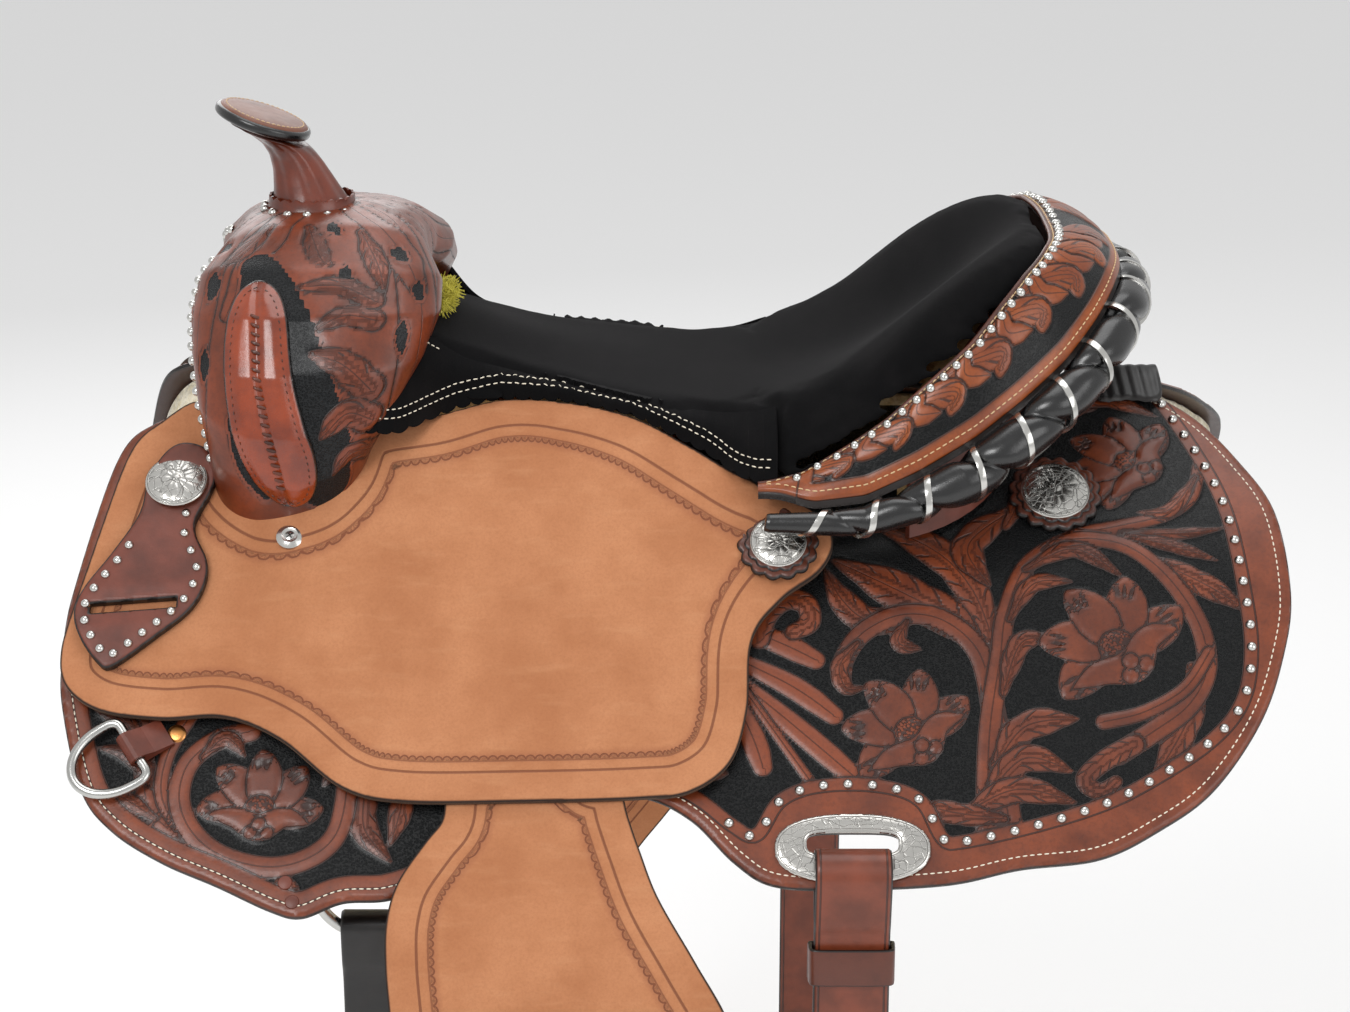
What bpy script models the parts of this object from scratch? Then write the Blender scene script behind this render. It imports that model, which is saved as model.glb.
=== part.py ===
"""A western saddle as an assembly of separate pieces, in metres, +Z up.

The horn points to -X, the cantle to +X, and the near (left) side of the horse is -Y. The origin lies on the middle
plane, halfway along the skirts. Every leather layer of a side lies on one folded surface that falls away from the
ridge: a point of it is given by x, by s, the length down the slope, and by d, the height above it along its normal.
"""

import math

import bmesh
import bpy
import numpy as np
from mathutils import Matrix, Vector

# ---- driving dimensions (metres, degrees) ----
GAP = 0.0003  # between pieces that touch
RIDGE_HALF_GAP = 0.012  # from the middle plane to the top of each side surface
RIDGE_HEIGHT = 0.078
RIDGE_SLOPE = 30.0  # below horizontal, near the ridge
FLANK_SLOPE = 47.0  # below horizontal, on the flank
BEND_START = 0.06  # where the slope starts to steepen, along s
BEND_END = 0.18
FRONT_LIFT = 0.045  # rise of the surface under the fork
FLEECE_EDGE = 0.011
FLEECE_AT_BARS = 0.028
BAR_THICKNESS = 0.0155
BAR_DEPTH = 0.0012  # of the bars' tops under the side surface
SKIRT_THICKNESS = 0.0050
FENDER_THICKNESS = 0.0045
JOCKEY_THICKNESS = 0.0050
LAYER_GAP = 0.0010  # play between the skirt, the stirrup leather and the jockey
FORK_REAR = -0.1430
FORK_FRONT = -0.2920
FORK_WALL = 0.0035  # leather on the fork
HORN_POST_RADIUS = 0.0090
HORN_CAP_RADIUS = 0.0307
HORN_CAP_TILT = 19.0
HORN_CAP_THICKNESS = 0.0085
SEAT_PAD = 0.0090
CANTLE_START = 0.055  # x where the cantle's rim begins
CANTLE_ROLL_THICKNESS = 0.0040
CANTLE_BINDING_RADIUS = 0.0125
CONCHO_REAR = 0.0210  # radii of the silver conchos
CONCHO_JOCKEY = 0.0170
CONCHO_KEEPER = 0.0190
ROSETTE_MARGIN = 0.0070
ROSETTE_THICKNESS = 0.0030
KEEPER_THICKNESS = 0.0065
DEE_WIRE = 0.0030
DEE_BAR = 0.033
DEE_DEPTH = 0.042
PLATE_THICKNESS = 0.0025
PLATE_LENGTH = 0.090
PLATE_HEIGHT = 0.042
SLOT_LENGTH = 0.056
SLOT_HEIGHT = 0.0150
BILLET_WIDTH = 0.044
BILLET_THICKNESS = 0.0030
BILLET_DROP = 0.430
STRAP_WIDTH = 0.074  # stirrup leather
STIRRUP_STRAP_WIDTH = 0.066
FENDER_LENGTH = 0.430  # down the leather from the jockey's edge to the stirrup bolt
BOLT_RADIUS = 0.0050
STIRRUP_HEIGHT = 0.142
STIRRUP_TREAD = 0.125  # inside width at the tread
STIRRUP_WOOD = 0.010
STIRRUP_DEPTH = 0.052
RING_RADIUS = 0.0345
RING_WIRE = 0.0035
LATIGO_WIDTH = 0.036
RIGGING_STRAP_WIDTH = 0.030
LATIGO_DROP = 0.400

SIDES = {"near": -1.0, "off": 1.0}
SKIRT_TOP = SKIRT_THICKNESS
FENDER_LOW = SKIRT_TOP + LAYER_GAP / 2
FENDER_MID = FENDER_LOW + FENDER_THICKNESS / 2
JOCKEY_LOW = FENDER_LOW + FENDER_THICKNESS + LAYER_GAP
JOCKEY_TOP = JOCKEY_LOW + JOCKEY_THICKNESS
JOCKEY_BOTTOM_S = 0.293
HINGE_S = JOCKEY_BOTTOM_S + 0.009  # where the fender swings out from under the jockey
LEATHER_X = -0.0875
PLATE_X = 0.102
SLOT_LOW_S = 0.3232
PLATE_S = SLOT_LOW_S - SLOT_HEIGHT / 2 + 0.0028
SKIRT_HEM_S = 0.342
DEE_AT = (-0.315, 0.259)
DEE_TURN = math.atan2(0.028, 0.018)
RING_X = -0.178
STIRRUP_X = -0.075
RING_TOP_S = 0.2985
RING_D = -0.0128

# ---- outlines in (x, s), clockwise seen from outside the near side ----
SKIRT = [(-0.290, 0.058), (-0.318, 0.066), (-0.336, 0.080), (-0.350, 0.117), (-0.3605, 0.163), (-0.3625, 0.200),
         (-0.3600, 0.230), (-0.345, 0.282), (-0.325, 0.307), (-0.295, 0.326), (-0.263, 0.340), (-0.231, 0.355),
         (-0.213, 0.359), (-0.190, 0.350), (-0.163, 0.348), (-0.135, 0.336), (-0.105, 0.306), (-0.060, 0.287),
         (-0.020, 0.286), (0.009, 0.300), (0.034, 0.326), (0.057, 0.340), (0.100, SKIRT_HEM_S),
         (0.157, 0.339), (0.198, 0.330), (0.244, 0.324), (0.279, 0.307), (0.313, 0.282), (0.344, 0.239),
         (0.361, 0.195), (0.368, 0.156), (0.364, 0.100), (0.347, 0.061), (0.326, 0.027), (0.300, 0.004),
         (0.268, -0.008), (0.235, -0.006), (0.210, 0.006), (0.180, 0.012), (0.060, 0.012), (-0.040, 0.014),
         (-0.100, 0.030), (-0.150, 0.050), (-0.200, 0.056), (-0.250, 0.056)]
FLEECE = [(-0.286, 0.065), (-0.312, 0.072), (-0.330, 0.090), (-0.343, 0.118), (-0.354, 0.163), (-0.356, 0.200),
          (-0.353, 0.228), (-0.339, 0.277), (-0.321, 0.300), (-0.293, 0.318), (-0.262, 0.331), (-0.238, 0.326),
          (-0.226, 0.284), (-0.180, 0.274), (-0.100, 0.274), (-0.020, 0.279), (0.014, 0.290), (0.036, 0.308),
          (0.054, 0.302), (0.064, 0.284), (0.102, 0.280), (0.140, 0.284), (0.152, 0.306), (0.166, 0.330),
          (0.198, 0.323), (0.241, 0.317), (0.275, 0.300), (0.307, 0.277), (0.337, 0.236), (0.354, 0.193),
          (0.361, 0.156), (0.357, 0.102), (0.341, 0.066), (0.320, 0.033), (0.296, 0.010), (0.266, -0.002),
          (0.237, 0.000), (0.212, 0.012), (0.180, 0.018), (0.060, 0.018), (-0.040, 0.020), (-0.100, 0.036),
          (-0.150, 0.056), (-0.200, 0.062), (-0.248, 0.063)]
BAR = [(-0.272, 0.058), (-0.285, 0.076), (-0.283, 0.112), (-0.264, 0.138), (-0.215, 0.140), (-0.175, 0.120),
       (-0.100, 0.100), (0.000, 0.095), (0.100, 0.100), (0.190, 0.116), (0.248, 0.116), (0.268, 0.086),
       (0.262, 0.048), (0.238, 0.028), (0.160, 0.024), (0.020, 0.024), (-0.060, 0.028), (-0.120, 0.044), (-0.170, 0.052), (-0.235, 0.053)]
JOCKEY = [(-0.289, 0.061), (-0.312, 0.072), (-0.329, 0.087), (-0.344, 0.127), (-0.355, 0.168), (-0.361, 0.200),
          (-0.356, 0.222), (-0.335, 0.237), (-0.299, 0.242), (-0.262, 0.241), (-0.229, 0.255), (-0.193, 0.284),
          (-0.158, JOCKEY_BOTTOM_S), (-0.089, JOCKEY_BOTTOM_S), (-0.020, 0.291), (0.009, 0.287), (0.032, 0.269),
          (0.042, 0.237), (0.045, 0.198), (0.062, 0.177), (0.086, 0.159), (0.094, 0.141), (0.082, 0.128),
          (0.057, 0.126), (0.036, 0.120), (0.009, 0.106), (-0.027, 0.086), (-0.070, 0.072), (-0.106, 0.071),
          (-0.142, 0.081), (-0.175, 0.086), (-0.189, 0.093), (-0.197, 0.113), (-0.212, 0.123), (-0.236, 0.123),
          (-0.261, 0.107), (-0.278, 0.082)]
KEEPER = [(-0.296, 0.086), (-0.282, 0.089), (-0.276, 0.099), (-0.277, 0.108), (-0.286, 0.124), (-0.285, 0.133),
          (-0.278, 0.146), (-0.278, 0.160), (-0.286, 0.176), (-0.305, 0.193), (-0.329, 0.212), (-0.338, 0.209),
          (-0.350, 0.192), (-0.354, 0.176), (-0.348, 0.160), (-0.334, 0.141), (-0.320, 0.121), (-0.316, 0.104),
          (-0.307, 0.091)]
FENDER = [(-0.134, HINGE_S + 0.0003), (-0.143, 0.315), (-0.158, 0.339), (-0.164, 0.362), (-0.164, 0.386),
          (-0.161, 0.415), (-0.157, 0.450), (-0.149, 0.500), (-0.135, 0.550), (-0.121, 0.588), (-0.112, 0.612),
          (-0.038, 0.612), (-0.026, 0.592), (-0.006, 0.565), (0.020, 0.528), (0.037, 0.485), (0.040, 0.450),
          (0.030, 0.415), (0.011, 0.383), (-0.009, 0.350), (-0.020, 0.321), (-0.027, HINGE_S + 0.0003)]
PATCH = [(-0.254, 1.45), (-0.264, 2.00), (-0.270, 2.60), (-0.271, 3.20), (-0.266, 3.80), (-0.256, 4.35),
         (-0.240, 4.70), (-0.224, 4.72), (-0.212, 4.40), (-0.205, 3.80), (-0.202, 3.20), (-0.203, 2.60),
         (-0.208, 2.00), (-0.216, 1.50), (-0.234, 1.34)]

# ---- the fork's contours from the foot to the crown, as (distance from the middle plane, z) ----
FORK_OUTER = [(0.104, -0.002), (0.127, 0.034), (0.136, 0.062), (0.138, 0.092), (0.131, 0.125), (0.113, 0.154),
              (0.084, 0.177), (0.045, 0.192), (0.000, 0.197)]
FORK_INNER = [(0.052, 0.052), (0.066, 0.084), (0.068, 0.103), (0.062, 0.120), (0.050, 0.133), (0.034, 0.142),
              (0.018, 0.147), (0.008, 0.149), (0.000, 0.1495)]
FORK_HALF_LENGTH = [0.040, 0.041, 0.047, 0.057, 0.066, 0.071, 0.0695, 0.0600, 0.0560]
FORK_MIDDLE_X = [-0.236, -0.234, -0.230, -0.2245, -0.2190, -0.2160, -0.2150, -0.2140, -0.2140]

# ---- the seat across its length: x, half width, edge z, crest z, middle z ----
SEAT_X = [-0.178, -0.147, -0.118, -0.090, -0.068, -0.045, -0.015, 0.016, 0.036, 0.055,
          0.078, 0.100, 0.120, 0.140, 0.157, 0.171, 0.186, 0.200, 0.212, 0.220, 0.2268]
SEAT_HALF = [0.100, 0.0930, 0.0885, 0.0850, 0.0855, 0.0910, 0.1030, 0.1150, 0.1230, 0.1300]
SEAT_EDGE = [0.088, 0.0930, 0.0975, 0.1000, 0.1000, 0.0980, 0.0910, 0.0810, 0.0720, 0.0640]
SEAT_CREST = [0.132, 0.1260, 0.1175, 0.1095, 0.1050, 0.1005, 0.0955, 0.0930, 0.0935, 0.0975,
              0.1060, 0.1170, 0.1330, 0.1500, 0.1640, 0.1740, 0.1830, 0.1895, 0.1925, 0.1935, 0.1920]
SEAT_MIDDLE = [0.138, 0.1330, 0.1240, 0.1140, 0.1080, 0.1030, 0.0960, 0.0925, 0.0920, 0.0930,
               0.0965, 0.1040, 0.1130, 0.1240, 0.1360, 0.1480, 0.1620, 0.1760, 0.1850, 0.1895, 0.1905]

# ---- the cantle's rim: z of its inner and outer edges along x ----
RIM_INNER = [(0.055, 0.060), (0.077, 0.065), (0.103, 0.081), (0.1245, 0.096), (0.151, 0.119), (0.174, 0.139),
             (0.192, 0.160), (0.207, 0.175), (0.222, 0.185), (0.2285, 0.185)]
RIM_OUTER = [(0.055, 0.052), (0.084, 0.053), (0.112, 0.056), (0.143, 0.0695), (0.177, 0.088), (0.205, 0.107),
             (0.232, 0.127), (0.253, 0.147), (0.268, 0.1635), (0.275, 0.168)]
RIM_INNER_SIZE = (0.1735, 0.138, 3.2)  # length, half width and squareness of the plan curve
RIM_OUTER_SIZE = (0.2200, 0.157, 2.6)


# ---- materials, collections ----
def clear_scene():
    for obj in list(bpy.data.objects):
        bpy.data.objects.remove(obj, do_unlink=True)


def new_collection(name):
    collection = bpy.data.collections.new(name)
    bpy.context.scene.collection.children.link(collection)
    return collection


def principled(name, colour, roughness, metallic=0.0):
    material = bpy.data.materials.new(name)
    material.use_nodes = True
    shader = material.node_tree.nodes["Principled BSDF"]
    shader.inputs["Base Color"].default_value = (*colour, 1.0)
    shader.inputs["Roughness"].default_value = roughness
    shader.inputs["Metallic"].default_value = metallic
    return material


clear_scene()
PARTS = new_collection("western_saddle")
CUTTERS = new_collection("cutters")
LOOKS = {
    "rough_out": ((0.53, 0.26, 0.14), 0.85),
    "tooled": ((0.30, 0.07, 0.02), 0.45),
    "smooth": ((0.28, 0.05, 0.02), 0.35),
    "orange": ((0.40, 0.09, 0.02), 0.30),
    "suede": ((0.010, 0.010, 0.011), 0.95),
    "black": ((0.012, 0.011, 0.011), 0.35),
    "fleece": ((0.72, 0.66, 0.52), 0.95),
    "wood": ((0.50, 0.36, 0.20), 0.60),
    "rawhide": ((0.70, 0.58, 0.38), 0.50),
    "steel": ((0.62, 0.62, 0.60), 0.25, 1.0),
    "silver": ((0.80, 0.79, 0.76), 0.20, 1.0),
    "stirrup": ((0.33, 0.12, 0.05), 0.50),
}


# ---- basic geometry ----
def ease(t):
    t = np.clip(t, 0.0, 1.0)
    return t * t * (3 - 2 * t)


def slope_profile(slopes):
    """Height and distance from the middle plane along s, for slopes given as (s, degrees)."""
    s = np.linspace(0.0, 1.0, 4001)
    angle = np.radians(np.interp(s, [k for k, _ in slopes], [v for _, v in slopes]))
    steps = np.diff(s)
    out = np.concatenate([[0.0], np.cumsum((np.cos(angle[1:]) + np.cos(angle[:-1])) / 2 * steps)])
    down = np.concatenate([[0.0], np.cumsum((np.sin(angle[1:]) + np.sin(angle[:-1])) / 2 * steps)])
    return s, angle, RIDGE_HALF_GAP + out, RIDGE_HEIGHT - down


SIDE = slope_profile([(0, RIDGE_SLOPE), (BEND_START, RIDGE_SLOPE), (BEND_END, FLANK_SLOPE)])
HANG = slope_profile([(0, FLANK_SLOPE), (0.352, FLANK_SLOPE), (0.450, 87.0)])


def front_lift(x, s):
    return FRONT_LIFT * ease((-x - 0.10) / 0.20) * ease(1 - s / 0.16)


def on_side(x, s, d):
    """The side surface itself: skirts, fleece, bars."""
    table_s, angle, out, down = SIDE
    theta = np.interp(s, table_s, angle)
    below = np.minimum(s, 0.0)
    y = np.interp(s, table_s, out) + below * math.cos(angle[0]) + d * np.sin(theta)
    z = np.interp(s, table_s, down) - below * math.sin(angle[0]) + front_lift(x, s) + d * np.cos(theta)
    return np.stack([x, y, z], -1)


def seat_rise(x):
    """How far the jockey climbs above the side surface at its top edge."""
    return np.interp(x, [-0.28, -0.25, -0.22, -0.19, -0.07, 0.015, 0.045, 0.07, 0.10],
                     [0, 0.012, 0.030, 0.040, 0.039, 0.048, 0.049, 0.035, 0.020])


def on_jockey(x, s, d):
    """The jockey's surface: it climbs the sides of the seat above s = 0.23."""
    point = on_side(x, s, d)
    rise = seat_rise(x)
    lift = rise * ease(1 - (s - 0.06) / 0.17) - front_lift(x, s) * np.minimum(1.0, rise / 0.04)
    point[..., 2] += lift
    return point


def on_plane(x, s, d):
    """The flank's plane carried on upwards, so a leather on it can swing about its normal."""
    base = on_side(x * 0, x * 0 + BEND_END, x * 0)
    t = math.radians(FLANK_SLOPE)
    y = base[..., 1] + (s - BEND_END) * math.cos(t) + d * math.sin(t)
    z = base[..., 2] - (s - BEND_END) * math.sin(t) + d * math.cos(t)
    return np.stack([x, y, z], -1)


def on_fender(x, s, d):
    """The flank's plane down past the skirt's hem, then a bend to hang almost upright."""
    start = on_plane(x * 0, x * 0, x * 0)
    table_s, angle, out, down = HANG
    theta = np.interp(s, table_s, angle)
    y = start[..., 1] + np.interp(s, table_s, out) - RIDGE_HALF_GAP + d * np.sin(theta)
    z = start[..., 2] + np.interp(s, table_s, down) - RIDGE_HEIGHT + d * np.cos(theta)
    return np.stack([x, y, z], -1)


def place(surface, x, s, d, side):
    point = surface(np.float64(x), np.float64(s), np.float64(d))
    return Vector((point[0], side * point[1], point[2]))


def local_frame(surface, x, s, d, side, turn=0.0):
    """A matrix at a point of a surface: local Z along the normal, local X along +X turned about it."""
    step = 1e-4
    centre = place(surface, x, s, d, side)
    along = (place(surface, x + step, s, d, side) - place(surface, x - step, s, d, side)).normalized()
    normal = (place(surface, x, s, d + step, side) - centre).normalized()
    along = (along - normal * along.dot(normal)).normalized()
    across = normal.cross(along)
    matrix = Matrix((along, across, normal)).transposed().to_4x4()
    matrix.translation = centre
    return matrix @ Matrix.Rotation(turn, 4, "Z")


def curve_through(points, steps, closed=True):
    """A Catmull-Rom curve through 2D points."""
    p = np.array(points, float)
    count = len(p)
    spans = count if closed else count - 1
    result = []
    for i in range(spans):
        if closed:
            a, b, c, e = p[i - 1], p[i], p[(i + 1) % count], p[(i + 2) % count]
        else:
            a, b, c, e = p[max(i - 1, 0)], p[i], p[i + 1], p[min(i + 2, count - 1)]
        for t in np.arange(steps) / steps:
            result.append(0.5 * (2 * b + (c - a) * t + (2 * a - 5 * b + 4 * c - e) * t * t
                                 + (3 * b - a - 3 * c + e) * t ** 3))
    if not closed:
        result.append(p[-1])
    return np.array(result)


def offset(outline, margin):
    """An outline grown by a margin along its own normals."""
    p = np.array(outline, float)
    tangent = np.roll(p, -1, 0) - np.roll(p, 1, 0)
    tangent /= np.linalg.norm(tangent, axis=1)[:, None]
    turn = np.sum(p[:, 0] * np.roll(p[:, 1], -1) - p[:, 1] * np.roll(p[:, 0], -1))
    away = np.stack([tangent[:, 1], -tangent[:, 0]], -1) * math.copysign(margin, turn)
    return [tuple(q) for q in p + away]


# ---- object makers ----
def link(name, mesh, look, collection=None):
    obj = bpy.data.objects.new(name, mesh)
    (collection or PARTS).objects.link(obj)
    if look:
        mesh.materials.clear()
        mesh.materials.append(principled(name, *LOOKS[look]))
    return obj


def finish_mesh(name, bm, look, collection=None):
    bmesh.ops.recalc_face_normals(bm, faces=bm.faces)
    mesh = bpy.data.meshes.new(name)
    bm.to_mesh(mesh)
    bm.free()
    return link(name, mesh, look, collection)


def cutter(obj):
    obj.hide_render = True
    obj.display_type = "WIRE"
    return obj


def cut(obj, tool, operation="DIFFERENCE"):
    modifier = obj.modifiers.new(operation.lower(), "BOOLEAN")
    modifier.operation = operation
    modifier.solver = "EXACT"
    modifier.object = cutter(tool)


def sheet(name, outline, low, high, surface, side, look, steps=2, smooth=True, collection=None):
    """A leather: a flat outline in (x, s), split along the folds, laid on a surface between two heights."""
    points = curve_through(outline, steps) if smooth else np.array(outline, float)
    bm = bmesh.new()
    bm.faces.new([bm.verts.new((x, s, 0)) for x, s in points])
    lowest, highest = points.min(0), points.max(0)
    folds = [(0, v, 1) for v in (0.06, 0.095, 0.13, 0.165, 0.20, 0.23, 0.33, 0.365, 0.40, 0.43)]
    folds += [(1, v, 0) for v in (-0.28, -0.25, -0.22, -0.19, -0.145, -0.10, 0.015, 0.07)]
    for across, value, _ in folds:
        if not lowest[1 - across] < value < highest[1 - across] if across == 0 else not lowest[0] < value < highest[0]:
            continue
        centre = (0, value, 0) if across == 0 else (value, 0, 0)
        normal = (0, 1, 0) if across == 0 else (1, 0, 0)
        chosen = bm.faces[:] if across == 0 else [f for f in bm.faces if f.calc_center_median().y < 0.20]
        parts = set(chosen)
        for face in chosen:
            parts.update(face.edges)
            parts.update(face.verts)
        bmesh.ops.bisect_plane(bm, geom=list(parts), plane_co=centre, plane_no=normal, dist=1e-6)
    bmesh.ops.triangulate(bm, faces=bm.faces)
    bm.verts.ensure_lookup_table()
    flat = [v for v in bm.verts]
    made = bmesh.ops.extrude_face_region(bm, geom=bm.faces[:])
    raised = [v for v in made["geom"] if isinstance(v, bmesh.types.BMVert)]
    for group, height in ((flat, low), (raised, high)):
        x = np.array([v.co.x for v in group])
        s = np.array([v.co.y for v in group])
        d = height(x, s) if callable(height) else np.full_like(x, height)
        where = surface(x, s, d)
        for vertex, (px, py, pz) in zip(group, where):
            vertex.co = (px, side * py, pz)
    return finish_mesh(name, bm, look, collection)


def loft(name, rings, look, closed=False, collection=None):
    """A body through rings of equal count; open ends get caps, a closed loft joins its last ring to its first."""
    bm = bmesh.new()
    rows = [[bm.verts.new(p) for p in ring] for ring in rings]
    count = len(rings[0])
    spans = len(rows) if closed else len(rows) - 1
    for i in range(spans):
        a, b = rows[i], rows[(i + 1) % len(rows)]
        for j in range(count):
            k = (j + 1) % count
            bm.faces.new((a[j], a[k], b[k], b[j]))
    if not closed:
        bm.faces.new(rows[0])
        bm.faces.new(rows[-1])
    return finish_mesh(name, bm, look, collection)


def turned(name, profile, matrix, look, steps=28, collection=None):
    """A turned piece: the profile, as (radius, height), runs from the top down its outer side."""
    mesh = bpy.data.meshes.new(name)
    closed = profile[0][0] > 0
    edges = [(i, i + 1) for i in range(len(profile) - 1)]
    if closed:
        edges.append((len(profile) - 1, 0))
    mesh.from_pydata([(r, 0, h) for r, h in profile], edges, [])
    obj = link(name, mesh, look, collection)
    modifier = obj.modifiers.new("turn", "SCREW")
    modifier.steps = steps
    modifier.render_steps = steps
    modifier.use_merge_vertices = True
    modifier.merge_threshold = 0.00005
    obj.matrix_world = matrix
    return obj


def plate(name, outline, low, high, matrix, look, collection=None):
    """A flat piece: an outline in local X and Y between two local heights."""
    rings = [[matrix @ Vector((x, y, h)) for x, y in outline] for h in (low, high)]
    return loft(name, rings, look, collection=collection)


def ribbon(name, path, thickness, x_low, x_high, side, look):
    """A strap: a path in (distance from the middle plane, z) given a thickness, between two values of x."""
    p = np.array(path, float)
    tangent = np.gradient(p, axis=0)
    tangent /= np.linalg.norm(tangent, axis=1)[:, None]
    normal = np.stack([tangent[:, 1], -tangent[:, 0]], -1) * thickness / 2
    rings = []
    for centre, offset in zip(p, normal):
        a, b = centre + offset, centre - offset
        rings.append([(x_low, side * a[0], a[1]), (x_high, side * a[0], a[1]),
                      (x_high, side * b[0], b[1]), (x_low, side * b[0], b[1])])
    return loft(name, rings, look)


def arc(centre, radius, start, end, count):
    angle = np.radians(np.linspace(start, end, count))
    return [(centre[0] + radius * math.cos(a), centre[1] + radius * math.sin(a)) for a in angle]


# ---- the fork ----
def fork_ring(u, grow):
    """One cross-section of the fork at u (-1 near foot, 0 crown, 1 off foot), grown by a thickness."""
    t = (1 - abs(u)) * (len(FORK_OUTER) - 1)
    knots = np.arange(len(FORK_OUTER))
    outer = np.array([np.interp(t, knots, [p[i] for p in FORK_OUTER]) for i in (0, 1)])
    inner = np.array([np.interp(t, knots, [p[i] for p in FORK_INNER]) for i in (0, 1)])
    half = np.interp(t, knots, FORK_HALF_LENGTH) + grow
    middle = np.interp(t, knots, FORK_MIDDLE_X)
    across = (outer - inner) / 2
    reach = np.linalg.norm(across)
    across *= (reach + grow) / reach
    centre = (outer + inner) / 2
    side = math.copysign(1.0, u)
    ring = []
    for angle in np.linspace(0, 2 * math.pi, 18, endpoint=False):
        c, s = math.cos(angle), math.sin(angle)
        c = math.copysign(abs(c) ** 0.8, c)
        s = math.copysign(abs(s) ** 0.8, s)
        point = centre + across * s
        ring.append((middle + half * c, side * point[0], point[1]))
    return ring


FORK_STATIONS = np.concatenate([-np.linspace(1, 0.09, 10), [0.0], np.linspace(0.09, 1, 10)])


def fork_solid(name, grow, look=None, collection=None):
    return loft(name, [fork_ring(u, grow) for u in FORK_STATIONS], look, collection=collection)


def fork_shell(name, low, high, look):
    outside = [fork_ring(u, high) for u in FORK_STATIONS]
    inside = [fork_ring(u, low) for u in FORK_STATIONS]
    bm = bmesh.new()
    layers = [[[bm.verts.new(p) for p in ring] for ring in rings] for rings in (outside, inside)]
    count = len(outside[0])
    for layer in layers:
        for a, b in zip(layer, layer[1:]):
            for j in range(count):
                k = (j + 1) % count
                bm.faces.new((a[j], a[k], b[k], b[j]))
    for end in (0, -1):
        a, b = layers[0][end], layers[1][end]
        for j in range(count):
            k = (j + 1) % count
            bm.faces.new((a[j], a[k], b[k], b[j]))
    return finish_mesh(name, bm, look)


def cut_feet(piece, side_name, side):
    """What the fork stands on, taken off its feet: the bar with a gap, and everything lower."""
    block = [(-0.330, 0.015), (-0.330, 0.175), (-0.120, 0.175), (-0.120, 0.015)]
    cut(piece, sheet(f"below_{piece.name}_{side_name}", block, -0.060, -BAR_DEPTH - 0.0018, on_side, side, None,
                     smooth=False, collection=CUTTERS))
    cut(piece, sheet(f"foot_{piece.name}_{side_name}", BAR, -0.040, GAP - BAR_DEPTH, on_side, side, None,
                     collection=CUTTERS))


HORN_AXIS_LOW = Vector((-0.2215, 0, 0.165))
HORN_AXIS_TOP = Vector((-0.2382, 0, 0.2343))
CAP_NORMAL = Vector((math.sin(math.radians(HORN_CAP_TILT)), 0, math.cos(math.radians(HORN_CAP_TILT))))
CAP_CENTRE = Vector((-0.2520, 0, 0.2540))


def aimed(at, normal):
    matrix = normal.to_track_quat("Z", "Y").to_matrix().to_4x4()
    matrix.translation = at
    return matrix


def horn_post(name, radius, low, look, collection=None):
    """The steel horn: a post from inside the fork that ends under the cap."""
    axis = HORN_AXIS_TOP - low
    length = axis.length
    profile = [(0, length), (radius * 0.8, length), (radius, length - 0.006), (radius, 0), (0, 0)]
    return turned(name, profile, aimed(low, axis.normalized()), look, steps=20, collection=collection)


def build_fork_and_horn():
    core = fork_solid("tree_fork", 0.0, "wood")
    cover = fork_shell("fork_cover", GAP, GAP + FORK_WALL, "tooled")
    for side_name, side in SIDES.items():
        cut_feet(core, side_name, side)
        cut_feet(cover, side_name, side)
    hole = horn_post("horn_hole", HORN_POST_RADIUS + GAP, HORN_AXIS_LOW - Vector((0, 0, 0.0003)), None, CUTTERS)
    cut(core, hole)
    cut(cover, hole)
    horn_post("horn_core", HORN_POST_RADIUS, HORN_AXIS_LOW, "steel")
    neck = [((-0.2260, 0.2022), 0.0225, 0.0), ((-0.2300, 0.2150), 0.0182, 4.0), ((-0.2345, 0.2280), 0.0164, 9.0),
            ((-0.2420, 0.2370), 0.0180, 15.0), ((-0.2520, 0.2425), 0.0225, HORN_CAP_TILT)]
    rings = {0: [], 1: []}
    bore = HORN_POST_RADIUS + GAP
    post = (HORN_AXIS_TOP - HORN_AXIS_LOW).normalized()
    for (x, z), radius, tilt in neck:
        t = math.radians(tilt)
        across = Vector((math.cos(t), 0, -math.sin(t)))
        normal = Vector((math.sin(t), 0, math.cos(t)))
        centre = Vector((x, 0, z))
        level = HORN_AXIS_LOW + post * (normal.dot(centre - HORN_AXIS_LOW) / normal.dot(post))
        stretch = 1 / normal.dot(post)
        for layer, at, r, wide in ((0, centre, radius, 1.0), (1, level, bore, stretch)):
            rings[layer].append([at + across * (r * wide * math.cos(a)) + Vector((0, r * math.sin(a), 0))
                                 for a in np.linspace(0, 2 * math.pi, 24, endpoint=False)])
    ordered = rings[0] + rings[1][::-1]
    loft("horn_neck_wrap", ordered, "smooth", closed=True)
    seat = aimed(CAP_CENTRE, CAP_NORMAL)
    rim = HORN_CAP_RADIUS - 0.0032
    thick = HORN_CAP_THICKNESS
    turned("horn_cap", [(0, 0.0012), (rim * 0.6, 0.0008), (rim, -0.0008), (rim, -thick), (0, -thick)], seat, "smooth")
    turned("horn_cap_binding", [(rim + GAP, 0.0002), (HORN_CAP_RADIUS - 0.0006, -0.0014), (HORN_CAP_RADIUS, -0.004),
                                (HORN_CAP_RADIUS - 0.0008, -thick + 0.0006), (rim + GAP, -thick)], seat, "black")


# ---- seat and cantle ----
def rim_half(x):
    """Half width of the cantle's inner edge at x."""
    length, half, square = RIM_INNER_SIZE
    return half * (1 - np.clip((x - CANTLE_START) / length, 0, 1) ** square) ** (1 / square)


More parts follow.
